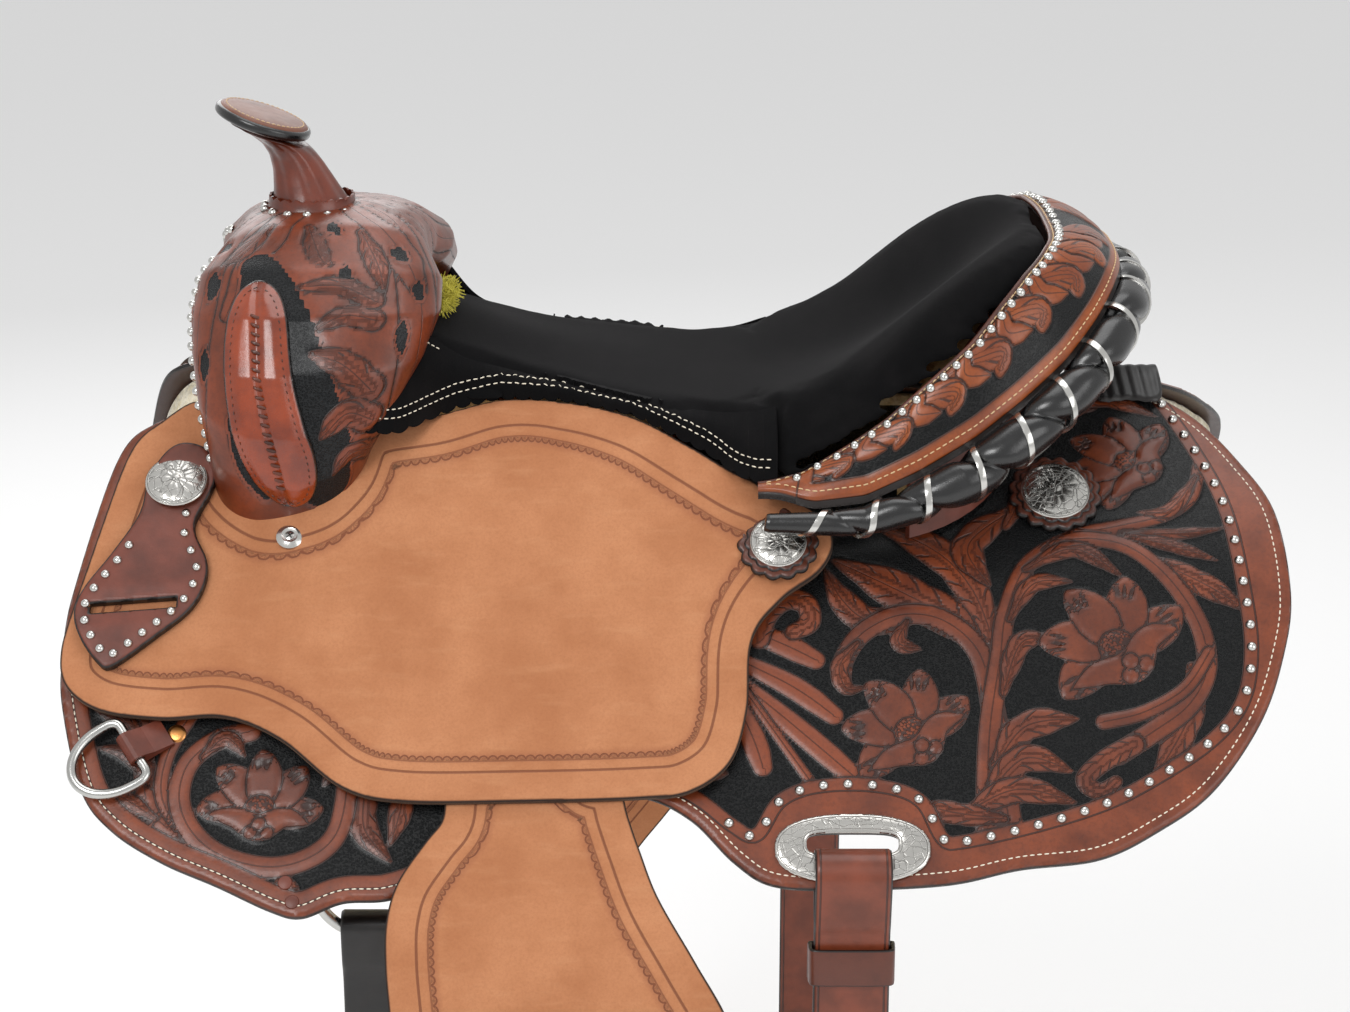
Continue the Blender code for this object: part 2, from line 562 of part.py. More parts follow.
def seat_profile(x, across, drop):
    """Height of the seat at x and a distance from the middle plane, lowered by a depth."""
    ahead = len(SEAT_HALF)
    half = np.interp(x, SEAT_X[:ahead], SEAT_HALF) if x < CANTLE_START + 0.01 else rim_half(x) - 0.0015
    edge = np.interp(x, SEAT_X[:ahead], SEAT_EDGE) if x < CANTLE_START + 0.01 else rim_height(x)
    crest, middle = np.interp(x, SEAT_X, SEAT_CREST), np.interp(x, SEAT_X, SEAT_MIDDLE)
    v = np.clip(across / half, 0, 1)
    inner = middle + (crest - middle) * ease(v / 0.8)
    z = np.where(v < 0.8, inner, crest + (edge - crest) * (np.maximum(v - 0.8, 0) / 0.2) ** 2)
    return half, z - drop


def rim_height(x):
    return np.interp(x, [p[0] for p in RIM_INNER], [p[1] for p in RIM_INNER]) + 0.001


def seat_slab(name, top, bottom, inset, look, x_low, x_high):
    """A slab under the seat's surface: top and bottom are depths below it, thinner towards the edge."""
    rings = []
    for x in [x_low] + [v for v in SEAT_X if x_low < v < x_high] + [x_high]:
        half, _ = seat_profile(x, np.zeros(1), 0.0)
        across = np.array([0, 0.2, 0.4, 0.55, 0.68, 0.78, 0.86, 0.93, 1.0]) * (half - inset)
        _, upper = seat_profile(x, across, top)
        _, lower = seat_profile(x, across, bottom)
        if inset == 0:
            lower = np.minimum(lower + (bottom - top - 0.004) * (across / half) ** 8, upper - 0.0035)
        ring = [(x, -y, z) for y, z in zip(across[::-1], upper[::-1])]
        ring += [(x, y, z) for y, z in zip(across[1:], upper[1:])]
        ring += [(x, y, z) for y, z in zip(across[::-1], lower[::-1])]
        ring += [(x, -y, z) for y, z in zip(across[1:], lower[1:])]
        rings.append(ring)
    return loft(name, rings, look)


def rim_point(size, table, phi, outward=0.0, rise=0.0):
    """A point of the cantle's rim at phi (-90 near tip, 0 rear, 90 off tip)."""
    length, half, square = size
    angle = math.radians(phi)
    x = CANTLE_START + length * math.cos(angle) ** (2 / square)
    y = half * math.copysign(abs(math.sin(angle)) ** (2 / square), phi)
    z = np.interp(x, [p[0] for p in table], [p[1] for p in table])
    away = Vector(((x - CANTLE_START) / length ** 2, y / half ** 2, 0))
    away = away.normalized() if away.length > 0 else Vector((1, 0, 0))
    return Vector((x, y, z + rise)) + away * outward


def skirt_height(y, above):
    """z of the level above the side surface at a distance from the middle plane."""
    s = np.interp(abs(y), SIDE[2], SIDE[0])
    theta = np.interp(s, SIDE[0], SIDE[1])
    return np.interp(abs(y), SIDE[2], SIDE[3]) + above / math.cos(theta)


def wall(name, scale_in, scale_out, drop, reach, look):
    """A curved upright wall under the cantle's rim, from the skirts up."""
    rings = []
    foot = SKIRT_TOP + LAYER_GAP
    for phi in np.linspace(-reach, reach, 27):
        top = rim_point(RIM_INNER_SIZE, RIM_INNER, phi)
        ends = []
        for scale in (scale_in, scale_out):
            x = CANTLE_START + (top.x - CANTLE_START) * scale
            y = top.y * scale
            low = skirt_height(top.y * scale_in, foot) + 0.0035 * float(ease(1 - abs(top.y) / 0.08))
            ends.append(((x, y, low), (x, y, max(top.z - drop, low + 0.012))))
        rings.append([ends[0][0], ends[1][0], ends[1][1], ends[0][1]])
    return loft(name, rings, look)


def build_seat_and_cantle(fork_room):
    cover = seat_slab("seat_cover", 0.0, SEAT_PAD, 0.0, "suede", SEAT_X[0], SEAT_X[-1])
    ground = seat_slab("ground_seat", SEAT_PAD + 0.0018, SEAT_PAD + 0.006, 0.012, "rawhide", -0.147, 0.157)
    hand_hole = plate("hand_hole", [(-0.160, -0.030), (-0.132, -0.030), (-0.124, -0.018), (-0.124, 0.018),
                                    (-0.132, 0.030), (-0.160, 0.030)], 0.060, 0.180, Matrix.Identity(4), None, CUTTERS)
    for piece in (cover, ground):
        cut(piece, fork_room)
        cut(piece, hand_hole)
    angles = np.linspace(-86, 86, 31)
    rings = []
    for phi in angles:
        a = rim_point(RIM_INNER_SIZE, RIM_INNER, phi, outward=0.0012, rise=0.0010)
        b = rim_point(RIM_OUTER_SIZE, RIM_OUTER, phi)
        upper = []
        for t in np.linspace(0, 1, 5):
            upper.append(a.lerp(b, t) + Vector((0, 0, 0.036 * t * (1 - t) * min(1.0, (a - b).length / 0.05))))
        lower = [p - Vector((0, 0, CANTLE_ROLL_THICKNESS)) for p in upper[::-1]]
        rings.append(upper + lower)
    loft("cantle_roll", rings, "orange")
    r = CANTLE_BINDING_RADIUS
    rings = []
    for phi in np.linspace(-84, 84, 31):
        taper = min(1.0, 0.55 + (84 - abs(phi)) / 40)
        radius = r * taper
        centre = rim_point(RIM_OUTER_SIZE, RIM_OUTER, phi, outward=0.005, rise=-CANTLE_ROLL_THICKNESS - GAP - radius)
        away = rim_point(RIM_OUTER_SIZE, RIM_OUTER, phi, outward=1.0) - rim_point(RIM_OUTER_SIZE, RIM_OUTER, phi)
        away.z = 0
        away.normalize()
        rings.append([centre + away * (radius * math.cos(k)) + Vector((0, 0, radius * math.sin(k)))
                      for k in np.linspace(0, 2 * math.pi, 8, endpoint=False)])
    loft("cantle_binding", rings, "black")
    wall("tree_cantle", 0.80, 0.885, 0.028, 66, "wood")
    wall("cantle_back", 0.892, 0.915, 0.020, 68, "tooled")


def build_lace():
    """The lace that ties the two skirts together behind the cantle."""
    rings = []
    for y in (-0.026, -0.016, -0.008, 0.0, 0.008, 0.016, 0.026):
        low = RIDGE_HEIGHT + (RIDGE_HALF_GAP - math.hypot(y, 0.004)) * math.tan(math.radians(RIDGE_SLOPE))
        low += (SKIRT_TOP + 2 * GAP) / math.cos(math.radians(RIDGE_SLOPE)) + 0.0016
        rings.append([(0.262, y, low), (0.304, y, low), (0.304, y, low + 0.003), (0.262, y, low + 0.003)])
    loft("skirt_lace", rings, "black")


# ---- one side's leathers ----
def build_leathers(side_name, side, fork_room):
    skirt = sheet(f"skirt_{side_name}", SKIRT, 0.0, SKIRT_TOP, on_side, side, "tooled")
    cut(skirt, fork_room)
    slot_frame = local_frame(on_side, PLATE_X, SLOT_LOW_S - SLOT_HEIGHT / 2, 0.0, side)
    slot = plate(f"slot_{side_name}", slot_outline(SLOT_LENGTH, SLOT_HEIGHT), -0.02, 0.02, slot_frame, None, CUTTERS)
    cut(skirt, slot)
    sheet(f"tree_bar_{side_name}", BAR, -BAR_DEPTH - BAR_THICKNESS, -BAR_DEPTH, on_side, side, "wood")

    def underside(x, s):
        thick = ease((0.190 - s) / 0.045) * ease((s + 0.004) / 0.024)
        return -(FLEECE_EDGE + (FLEECE_AT_BARS - FLEECE_EDGE) * thick)

    fleece = sheet(f"fleece_{side_name}", FLEECE, underside, -2 * GAP, on_side, side, "fleece")
    grown = offset(BAR, 0.0030)
    pocket = sheet(f"bar_pocket_{side_name}", grown, -BAR_DEPTH - BAR_THICKNESS - 0.0026, 0.004, on_side, side, None,
                   collection=CUTTERS)
    cut(fleece, pocket)
    half = RIGGING_STRAP_WIDTH / 2 + 0.0015
    outline = [(RING_X - half, 0.196), (RING_X - half, 0.300), (RING_X + half, 0.300), (RING_X + half, 0.196)]
    cut(fleece, sheet(f"strap_pocket_{side_name}", outline, -0.0052, 0.004, on_side, side, None, smooth=False,
                      collection=CUTTERS))
    cut(fleece, fork_room)
    jockey = sheet(f"jockey_{side_name}", JOCKEY, JOCKEY_LOW, JOCKEY_TOP, on_jockey, side, "rough_out")
    cut(jockey, fork_room)
    keeper = sheet(f"latigo_keeper_{side_name}", KEEPER, JOCKEY_TOP + 2 * GAP, JOCKEY_TOP + 2 * GAP + KEEPER_THICKNESS,
                   on_jockey, side, "smooth")
    strap_slot = sheet(f"keeper_slot_{side_name}", [(-0.345, 0.1725), (-0.345, 0.1785), (-0.294, 0.1745),
                                                    (-0.294, 0.1685)], JOCKEY_TOP - 0.01, JOCKEY_TOP + 0.02,
                       on_jockey, side, None, smooth=False, collection=CUTTERS)
    cut(keeper, strap_slot)
    cut(keeper, fork_room)
    return slot


def slot_outline(length, height):
    """A slot with rounded ends, centred."""
    r = height * 0.35
    x, y = length / 2 - r, height / 2 - r
    corners = [(x, -y, -90), (x, y, 0), (-x, y, 90), (-x, -y, 180)]
    return [p for cx, cy, start in corners for p in arc((cx, cy), r, start, start + 90, 4)]


def rosette_outline(radius, lobes=12):
    angles = np.linspace(0, 2 * math.pi, lobes * 4, endpoint=False)
    return [(radius * (0.93 + 0.07 * abs(math.sin(lobes * a / 2))) * math.cos(a),
             radius * (0.93 + 0.07 * abs(math.sin(lobes * a / 2))) * math.sin(a)) for a in angles]


def concho(name, radius, matrix):
    rise = radius * 0.28
    profile = [(0, rise), (radius * 0.45, rise * 0.88), (radius * 0.8, rise * 0.5), (radius, rise * 0.16),
               (radius, 0), (0, 0)]
    return turned(name, profile, matrix, "silver", steps=24)


def build_conchos(side_name, side):
    spots = [("rear", on_side, 0.231, 0.089, SKIRT_TOP, CONCHO_REAR),
             ("jockey", on_jockey, 0.061, 0.151, JOCKEY_TOP, CONCHO_JOCKEY)]
    for label, surface, x, s, top, radius in spots:
        lift = 0.0016 if label == "jockey" else 0.0011
        frame = local_frame(surface, x, s, top + lift, side)
        low = -0.0030 if label == "jockey" else 0.0
        rosette = plate(f"{label}_rosette_{side_name}", rosette_outline(radius + ROSETTE_MARGIN), low,
                        ROSETTE_THICKNESS, frame, "smooth")
        if label == "jockey":
            cut(rosette, sheet(f"jockey_room_{side_name}", JOCKEY, FENDER_LOW, JOCKEY_TOP + 2 * GAP, on_jockey, side,
                               None, collection=CUTTERS))
        concho(f"{label}_concho_{side_name}", radius, frame @ Matrix.Translation((0, 0, ROSETTE_THICKNESS + GAP)))
    top = JOCKEY_TOP + 2 * GAP + KEEPER_THICKNESS
    frame = local_frame(on_jockey, -0.2985, 0.1060, top + 0.0012, side)
    piece = concho(f"keeper_concho_{side_name}", CONCHO_KEEPER, frame)
    cut(piece, sheet(f"keeper_room_{side_name}", KEEPER, JOCKEY_LOW, top + GAP, on_jockey, side, None,
                     collection=CUTTERS))


# ---- hardware ----
def dee_frame(side):
    turn = -DEE_TURN * (1 if side < 0 else -1)
    return local_frame(on_side, DEE_AT[0], DEE_AT[1], SKIRT_TOP + DEE_WIRE + 0.0035, side, turn)


def build_dee(side_name, side):
    """The breast-collar dee: a wire D on a leather clip riveted to the skirt."""
    frame = dee_frame(side)
    flip = 1 if side < 0 else -1
    half = DEE_BAR / 2
    bow = [(half, 0), (half + 0.004, -0.006 * flip)]
    bow += [(math.cos(a) * (half + 0.004), flip * (-0.010 - math.sin(a) * (DEE_DEPTH - 0.014)))
            for a in np.radians(np.linspace(0, 180, 13))]
    bow += [(-half - 0.004, -0.006 * flip), (-half, 0)]
    bow += [(x, 0) for x in np.linspace(-half, half, 5)[1:-1]]
    wire = bpy.data.curves.new(f"dee_wire_{side_name}", "CURVE")
    wire.dimensions = "3D"
    wire.bevel_depth = DEE_WIRE
    wire.bevel_resolution = 2
    spline = wire.splines.new("POLY")
    spline.points.add(len(bow) - 1)
    for point, (x, y) in zip(spline.points, bow):
        point.co = (x, y, 0, 1)
    spline.use_cyclic_u = True
    curve = bpy.data.objects.new(f"dee_curve_{side_name}", wire)
    CUTTERS.objects.link(curve)
    curve.matrix_world = frame
    bpy.context.view_layer.update()
    graph = bpy.context.evaluated_depsgraph_get()
    mesh = bpy.data.meshes.new_from_object(curve.evaluated_get(graph))
    ring = link(f"breast_dee_{side_name}", mesh, "steel")
    ring.matrix_world = frame
    bpy.data.objects.remove(curve, do_unlink=True)
    outer, inner, width = DEE_WIRE + 0.0030, DEE_WIRE + 0.0006, 0.018
    lowest = -(DEE_WIRE + 0.0030)
    section = arc((0, 0), outer, -90, 90, 9) + [(-0.010, lowest + 0.0060), (-0.022, lowest + 0.0024),
                                                (-0.022, lowest)]
    section = [(flip * -y, z) for y, z in section]
    rings = [[frame @ Vector((x, y, z)) for y, z in section] for x in (-width / 2, width / 2)]
    clip = loft(f"dee_clip_{side_name}", rings, "smooth")
    eye = turned(f"dee_eye_{side_name}", [(0, width), (inner, width), (inner, -width), (0, -width)],
                 frame @ Matrix.Rotation(math.pi / 2, 4, "Y"), None, steps=16, collection=CUTTERS)
    cut(clip, eye)


def build_flank(side_name, side, slot):
    """The slot plate, the flank billet folded through it and the billet's keeper."""
    frame = local_frame(on_side, PLATE_X, PLATE_S, SKIRT_TOP + 2 * GAP, side)
    oval = [(PLATE_LENGTH / 2 * math.copysign(abs(math.cos(a)) ** 0.85, math.cos(a)),
             PLATE_HEIGHT / 2 * math.copysign(abs(math.sin(a)) ** 0.85, math.sin(a)))
            for a in np.linspace(0, 2 * math.pi, 36, endpoint=False)]
    plate_piece = plate(f"slot_plate_{side_name}", oval, 0.0, PLATE_THICKNESS, frame, "silver")
    cut(plate_piece, slot)
    pivot = billet_pivot()
    hold = 0.0112 + BILLET_THICKNESS / 2
    neck = pivot[1] - 0.040
    front = [(pivot[0] + 0.0022, pivot[1] - BILLET_DROP), (pivot[0] + 0.0022, pivot[1] - 0.25),
             (pivot[0] + 0.0022, neck - 0.046), (pivot[0] + 0.0024, neck)]
    over = arc(pivot, hold, -14, 194, 15)
    back = [(pivot[0] - 0.0016, neck + 0.004), (pivot[0] - 0.0016, neck - 0.052)]
    blend_front = [(pivot[0] + 0.0060, neck + 0.012)]
    blend_back = [(pivot[0] - 0.0070, neck + 0.014)]
    path = front + blend_front + over + blend_back + back
    ribbon(f"flank_billet_{side_name}", path, BILLET_THICKNESS, PLATE_X - BILLET_WIDTH / 2, PLATE_X + BILLET_WIDTH / 2,
           side, "tooled")
    mid = (pivot[0] + 0.0004, neck - 0.0165)
    outer = [(BILLET_WIDTH / 2 + 0.0032, 0.0075), (BILLET_WIDTH / 2 + 0.0032, -0.0070),
             (-BILLET_WIDTH / 2 - 0.0032, -0.0070), (-BILLET_WIDTH / 2 - 0.0032, 0.0075)]
    inner = [(BILLET_WIDTH / 2 + 0.0006, 0.0045), (BILLET_WIDTH / 2 + 0.0006, -0.0042),
             (-BILLET_WIDTH / 2 - 0.0006, -0.0042), (-BILLET_WIDTH / 2 - 0.0006, 0.0045)]
    rings = []
    for outline, order in ((outer, (-1, 1)), (inner, (1, -1))):
        for level in order:
            rings.append([(PLATE_X + x, side * (mid[0] + y), mid[1] + level * 0.0115) for x, y in outline])
    loft(f"billet_keeper_{side_name}", rings, "smooth", closed=True)


def billet_pivot():
    """The middle of the bar that the flank billet folds over, as (distance from the middle plane, z)."""
    centre = place(on_side, PLATE_X, (SLOT_LOW_S + SKIRT_HEM_S) / 2, (SKIRT_TOP + PLATE_THICKNESS) / 2, 1.0)
    return (centre.y, centre.z)


def build_stirrup(side_name, side):
    """The hung leathers: stirrup leather at the bar, fender, and the stirrup on its bolt."""
    half = STRAP_WIDTH / 2
    top = [(LEATHER_X + half * math.cos(a), 0.128 - 0.020 * math.sin(a)) for a in np.radians(np.linspace(0, 180, 9))]
    outline = top + [(LEATHER_X - half, HINGE_S - 0.0027), (LEATHER_X + half, HINGE_S - 0.0027)]
    sheet(f"stirrup_leather_{side_name}", outline, FENDER_LOW, FENDER_LOW + FENDER_THICKNESS, on_plane, side,
          "rough_out", smooth=False)
    middle = STIRRUP_X
    bolt_s = HINGE_S + FENDER_LENGTH
    strap = STIRRUP_STRAP_WIDTH / 2
    outline = FENDER[:11] + [(middle - strap, 0.618), (middle - strap, bolt_s - 0.004),
                             (middle + strap, bolt_s - 0.004), (middle + strap, 0.618)] + FENDER[11:]
    fender = sheet(f"fender_{side_name}", outline, FENDER_LOW, FENDER_LOW + FENDER_THICKNESS, on_fender, side,
                   "rough_out", steps=1)
    bolt = place(on_fender, middle, bolt_s, FENDER_MID, side)
    sideways = Matrix.Translation(bolt) @ Matrix.Rotation(math.pi / 2, 4, "Y")
    inner, outer = BOLT_RADIUS + 0.0007, BOLT_RADIUS + 0.0047
    knuckle = turned(f"stirrup_loop_{side_name}", [(0, strap), (outer, strap), (outer, -strap), (0, -strap)],
                     sideways, None, steps=20, collection=CUTTERS)
    cut(fender, knuckle, "UNION")
    bore = turned(f"stirrup_bore_{side_name}", [(0, strap + 0.02), (inner, strap + 0.02), (inner, -strap - 0.02),
                                                (0, -strap - 0.02)], sideways, None, steps=20, collection=CUTTERS)
    cut(fender, bore)
    wood = STIRRUP_WOOD
    wide = STIRRUP_TREAD / 2
    neck = strap + 0.0045
    bottom = -STIRRUP_HEIGHT
    right_in = [(neck, 0.013), (neck + 0.001, -0.010), (neck + 0.009, -0.050), (wide - 0.006, -0.092),
                (wide, bottom + 0.032), (wide - 0.003, bottom + 0.021), (wide - 0.012, bottom + 0.016)]
    right_out = [(neck + wood, 0.013), (neck + wood + 0.001, -0.010), (neck + 0.009 + wood, -0.050),
                 (wide + wood - 0.005, -0.092), (wide + wood, bottom + 0.030), (wide + wood - 0.004, bottom + 0.010),
                 (wide - 0.008, bottom)]
    inside = right_in + [(-x, z) for x, z in right_in[::-1]]
    outside = right_out + [(-x, z) for x, z in right_out[::-1]]
    rings = []
    for (xi, zi), (xo, zo) in zip(inside, outside):
        deep = 0.014 + (STIRRUP_DEPTH / 2 - 0.014) * float(ease((-zo - 0.02) / (STIRRUP_HEIGHT - 0.03)))
        rings.append([(bolt.x + xi, bolt.y - deep, bolt.z + zi), (bolt.x + xo, bolt.y - deep, bolt.z + zo),
                      (bolt.x + xo, bolt.y + deep, bolt.z + zo), (bolt.x + xi, bolt.y + deep, bolt.z + zi)])
    stirrup = loft(f"stirrup_{side_name}", rings, "stirrup")
    hole = BOLT_RADIUS + GAP
    reach = neck + wood + 0.02
    drill = turned(f"bolt_hole_{side_name}", [(0, reach), (hole, reach), (hole, -reach), (0, -reach)], sideways, None,
                   steps=20, collection=CUTTERS)
    cut(stirrup, drill)
    end = neck + wood + 0.0015
    head = BOLT_RADIUS + 0.004
    turned(f"stirrup_bolt_{side_name}", [(0, end + 0.004), (head - 0.001, end + 0.004), (head, end + 0.003),
                                         (head, end), (BOLT_RADIUS, end), (BOLT_RADIUS, -end), (head, -end),
                                         (head, -end - 0.003), (head - 0.001, -end - 0.004), (0, -end - 0.004)],
           sideways, "steel", steps=20)


def build_rigging(side_name, side):
    """The front rigging: a strap under the skirt, its ring, and the latigo or billet that hangs from it."""
    top = place(on_side, RING_X, RING_TOP_S, RING_D, 1.0)
    ring_top = (top.y, top.z)
    ring_low = (top.y, top.z - 2 * RING_RADIUS)
    thickness = 0.0030
    lie = -(2 * GAP + thickness / 2)
    under = [place(on_side, RING_X, s, lie, 1.0) for s in (0.205, 0.225, 0.245, 0.262, 0.276)]
    hold = 0.0080
    path = [(p.y, p.z) for p in under] + [(ring_top[0] + hold + 0.0002, ring_top[1] + 0.006)]
    path += arc((ring_top[0], ring_top[1] - 0.0045), hold, 0, -180, 11) + [(ring_top[0] - hold, ring_top[1] + 0.010)]
    ribbon(f"rigging_strap_{side_name}", path, thickness, RING_X - RIGGING_STRAP_WIDTH / 2,
           RING_X + RIGGING_STRAP_WIDTH / 2, side, "smooth")
    centre = Vector((RING_X, side * ring_top[0], ring_top[1] - RING_RADIUS))
    matrix = Matrix.Translation(centre) @ Matrix.Rotation(math.pi / 2, 4, "X")
    section = [(RING_RADIUS + RING_WIRE * math.cos(a), RING_WIRE * math.sin(a))
               for a in np.radians(np.linspace(90, -270, 8, endpoint=False))]
    ring = turned(f"rigging_ring_{side_name}", section, matrix, "steel", steps=28)
    pivot = bpy.data.objects.new(f"rigging_ring_pivot_{side_name}", None)
    pivot.location = (RING_X, side * ring_top[0], ring_top[1])
    PARTS.objects.link(pivot)
    bpy.context.view_layer.update()
    stand = ring.matrix_world.copy()
    ring.parent = pivot
    ring.matrix_parent_inverse = pivot.matrix_world.inverted()
    ring.matrix_world = stand
    hang = 0.0082
    over = arc((ring_low[0], ring_low[1] + 0.0055), hang, 0, 180, 13)
    path = [(ring_low[0] + 0.0018, ring_low[1] - LATIGO_DROP), (ring_low[0] + 0.0018, ring_low[1] - 0.20),
            (ring_low[0] + 0.0018, ring_low[1] - 0.034), (ring_low[0] + 0.0062, ring_low[1] - 0.014)] + over
    path += [(ring_low[0] - 0.0062, ring_low[1] - 0.014), (ring_low[0] - 0.0018, ring_low[1] - 0.034),
             (ring_low[0] - 0.0018, ring_low[1] - 0.12)]
    name = "latigo" if side < 0 else "off_billet"
    ribbon(name, path, thickness, RING_X - LATIGO_WIDTH / 2, RING_X + LATIGO_WIDTH / 2, side,
           "black" if side < 0 else "smooth")


def build_patch(side_name, side):
    """The oval patch laced on to the side of the swell; its outline is (x, place along the fork's contour)."""
    outline = curve_through(PATCH, 2)
    low, high = GAP + FORK_WALL + 2 * GAP, GAP + FORK_WALL + 2 * GAP + 0.0030
    knots = np.arange(len(FORK_OUTER))

    def on_swell(x, u, d):
        t = u
        y = np.interp(t, knots, [p[0] for p in FORK_OUTER])
        z = np.interp(t, knots, [p[1] for p in FORK_OUTER])
        half = np.interp(t, knots, FORK_HALF_LENGTH)
        middle = np.interp(t, knots, FORK_MIDDLE_X)
        reach = np.hypot(*(np.array([np.interp(t, knots, [p[i] for p in FORK_OUTER])
                                     - np.interp(t, knots, [p[i] for p in FORK_INNER]) for i in (0, 1)]))) / 2
        c = np.clip(np.abs((x - middle) / (half + d)), 0, 0.999) ** 1.25
        fall = (reach + d) * (1 - np.sqrt(1 - c * c) ** 0.8)
        yi = np.interp(t, knots, [p[0] for p in FORK_INNER])
        zi = np.interp(t, knots, [p[1] for p in FORK_INNER])
        length = np.hypot(y - yi, z - zi)
        ny, nz = (y - yi) / length, (z - zi) / length
        return np.stack([x, y + ny * (d - fall), z + nz * (d - fall)], -1)

    bm = bmesh.new()
    bm.faces.new([bm.verts.new((x, u, 0)) for x, u in outline])
    for value in (2.0, 2.5, 3.0, 3.5, 4.0, 4.4):
        bmesh.ops.bisect_plane(bm, geom=bm.verts[:] + bm.edges[:] + bm.faces[:], plane_co=(0, value, 0),
                               plane_no=(0, 1, 0), dist=1e-6)
    for value in (-0.255, -0.242, -0.229, -0.216):
        bmesh.ops.bisect_plane(bm, geom=bm.verts[:] + bm.edges[:] + bm.faces[:], plane_co=(value, 0, 0),
                               plane_no=(1, 0, 0), dist=1e-6)
    bmesh.ops.triangulate(bm, faces=bm.faces)
    flat = bm.verts[:]
    made = bmesh.ops.extrude_face_region(bm, geom=bm.faces[:])
    raised = [v for v in made["geom"] if isinstance(v, bmesh.types.BMVert)]
    for group, d in ((flat, low), (raised, high)):
        x = np.array([v.co.x for v in group])
        u = np.array([v.co.y for v in group])
        for vertex, (px, py, pz) in zip(group, on_swell(x, u, d)):
            vertex.co = (px, side * py, pz)
    patch = finish_mesh(f"swell_patch_{side_name}", bm, "orange")
    return patch


def hang(name, pivot):
    """Puts a moving piece's origin on its joint's axis."""
    obj = bpy.data.objects[name]
    at = Vector(pivot)
    shift = Matrix.Translation(-at) @ obj.matrix_world
    obj.data.transform(shift)
    obj.matrix_world = Matrix.Translation(at)


def hang_moving(side_name, side):
    top = place(on_plane, LEATHER_X, 0.128, FENDER_MID, side)
    hinge = place(on_plane, LEATHER_X, HINGE_S, FENDER_MID, side)
    bolt = place(on_fender, STIRRUP_X, HINGE_S + FENDER_LENGTH, FENDER_MID, side)
    y, z = billet_pivot()
    billet = Vector((PLATE_X, side * y, z))
    ring = place(on_side, RING_X, RING_TOP_S, RING_D, side)
    hang(f"stirrup_leather_{side_name}", top)
    hang(f"fender_{side_name}", hinge)
    hang(f"stirrup_{side_name}", bolt)
    hang(f"flank_billet_{side_name}", billet)
    hang(f"billet_keeper_{side_name}", billet)
    hang("latigo" if side < 0 else "off_billet", ring - Vector((0, 0, 2 * RING_RADIUS)))


def shade():
    for obj in PARTS.objects:
        if obj.type != "MESH":
            continue
        obj.data.shade_smooth()
        obj.data.set_sharp_from_angle(angle=math.radians(35))


def main():
    build_fork_and_horn()
    fork_room = cutter(fork_solid("fork_room", 2 * GAP + FORK_WALL + 0.0004, collection=CUTTERS))
    patch_room = cutter(fork_solid("patch_room", 3 * GAP + FORK_WALL + 0.0034, collection=CUTTERS))
    near_fork = cutter(fork_solid("cover_room", 2 * GAP + FORK_WALL, collection=CUTTERS))
    build_seat_and_cantle(fork_room)
    build_lace()
    for side_name, side in SIDES.items():
        slot = build_leathers(side_name, side, patch_room)
        build_conchos(side_name, side)
        build_dee(side_name, side)
        build_flank(side_name, side, slot)
        build_stirrup(side_name, side)
        build_rigging(side_name, side)
        cut(build_patch(side_name, side), near_fork)
        hang_moving(side_name, side)
    shade()


main()
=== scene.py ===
"""The western saddle's visual model: tooled, rough-out and suede leather, silver trim, stitching and fleece.

Every leather of a side lies on one folded surface, given by x, by s (the length down the slope) and by d (the height
above it along its normal), exactly as the solid model lays it out. Tooling is drawn in (x, s): each leaf, stem and
petal is a signed distance in millimetres, kept as vertex attributes, and the materials turn those into cut lines,
veins and the dyed ground between the leaves.
"""

import math

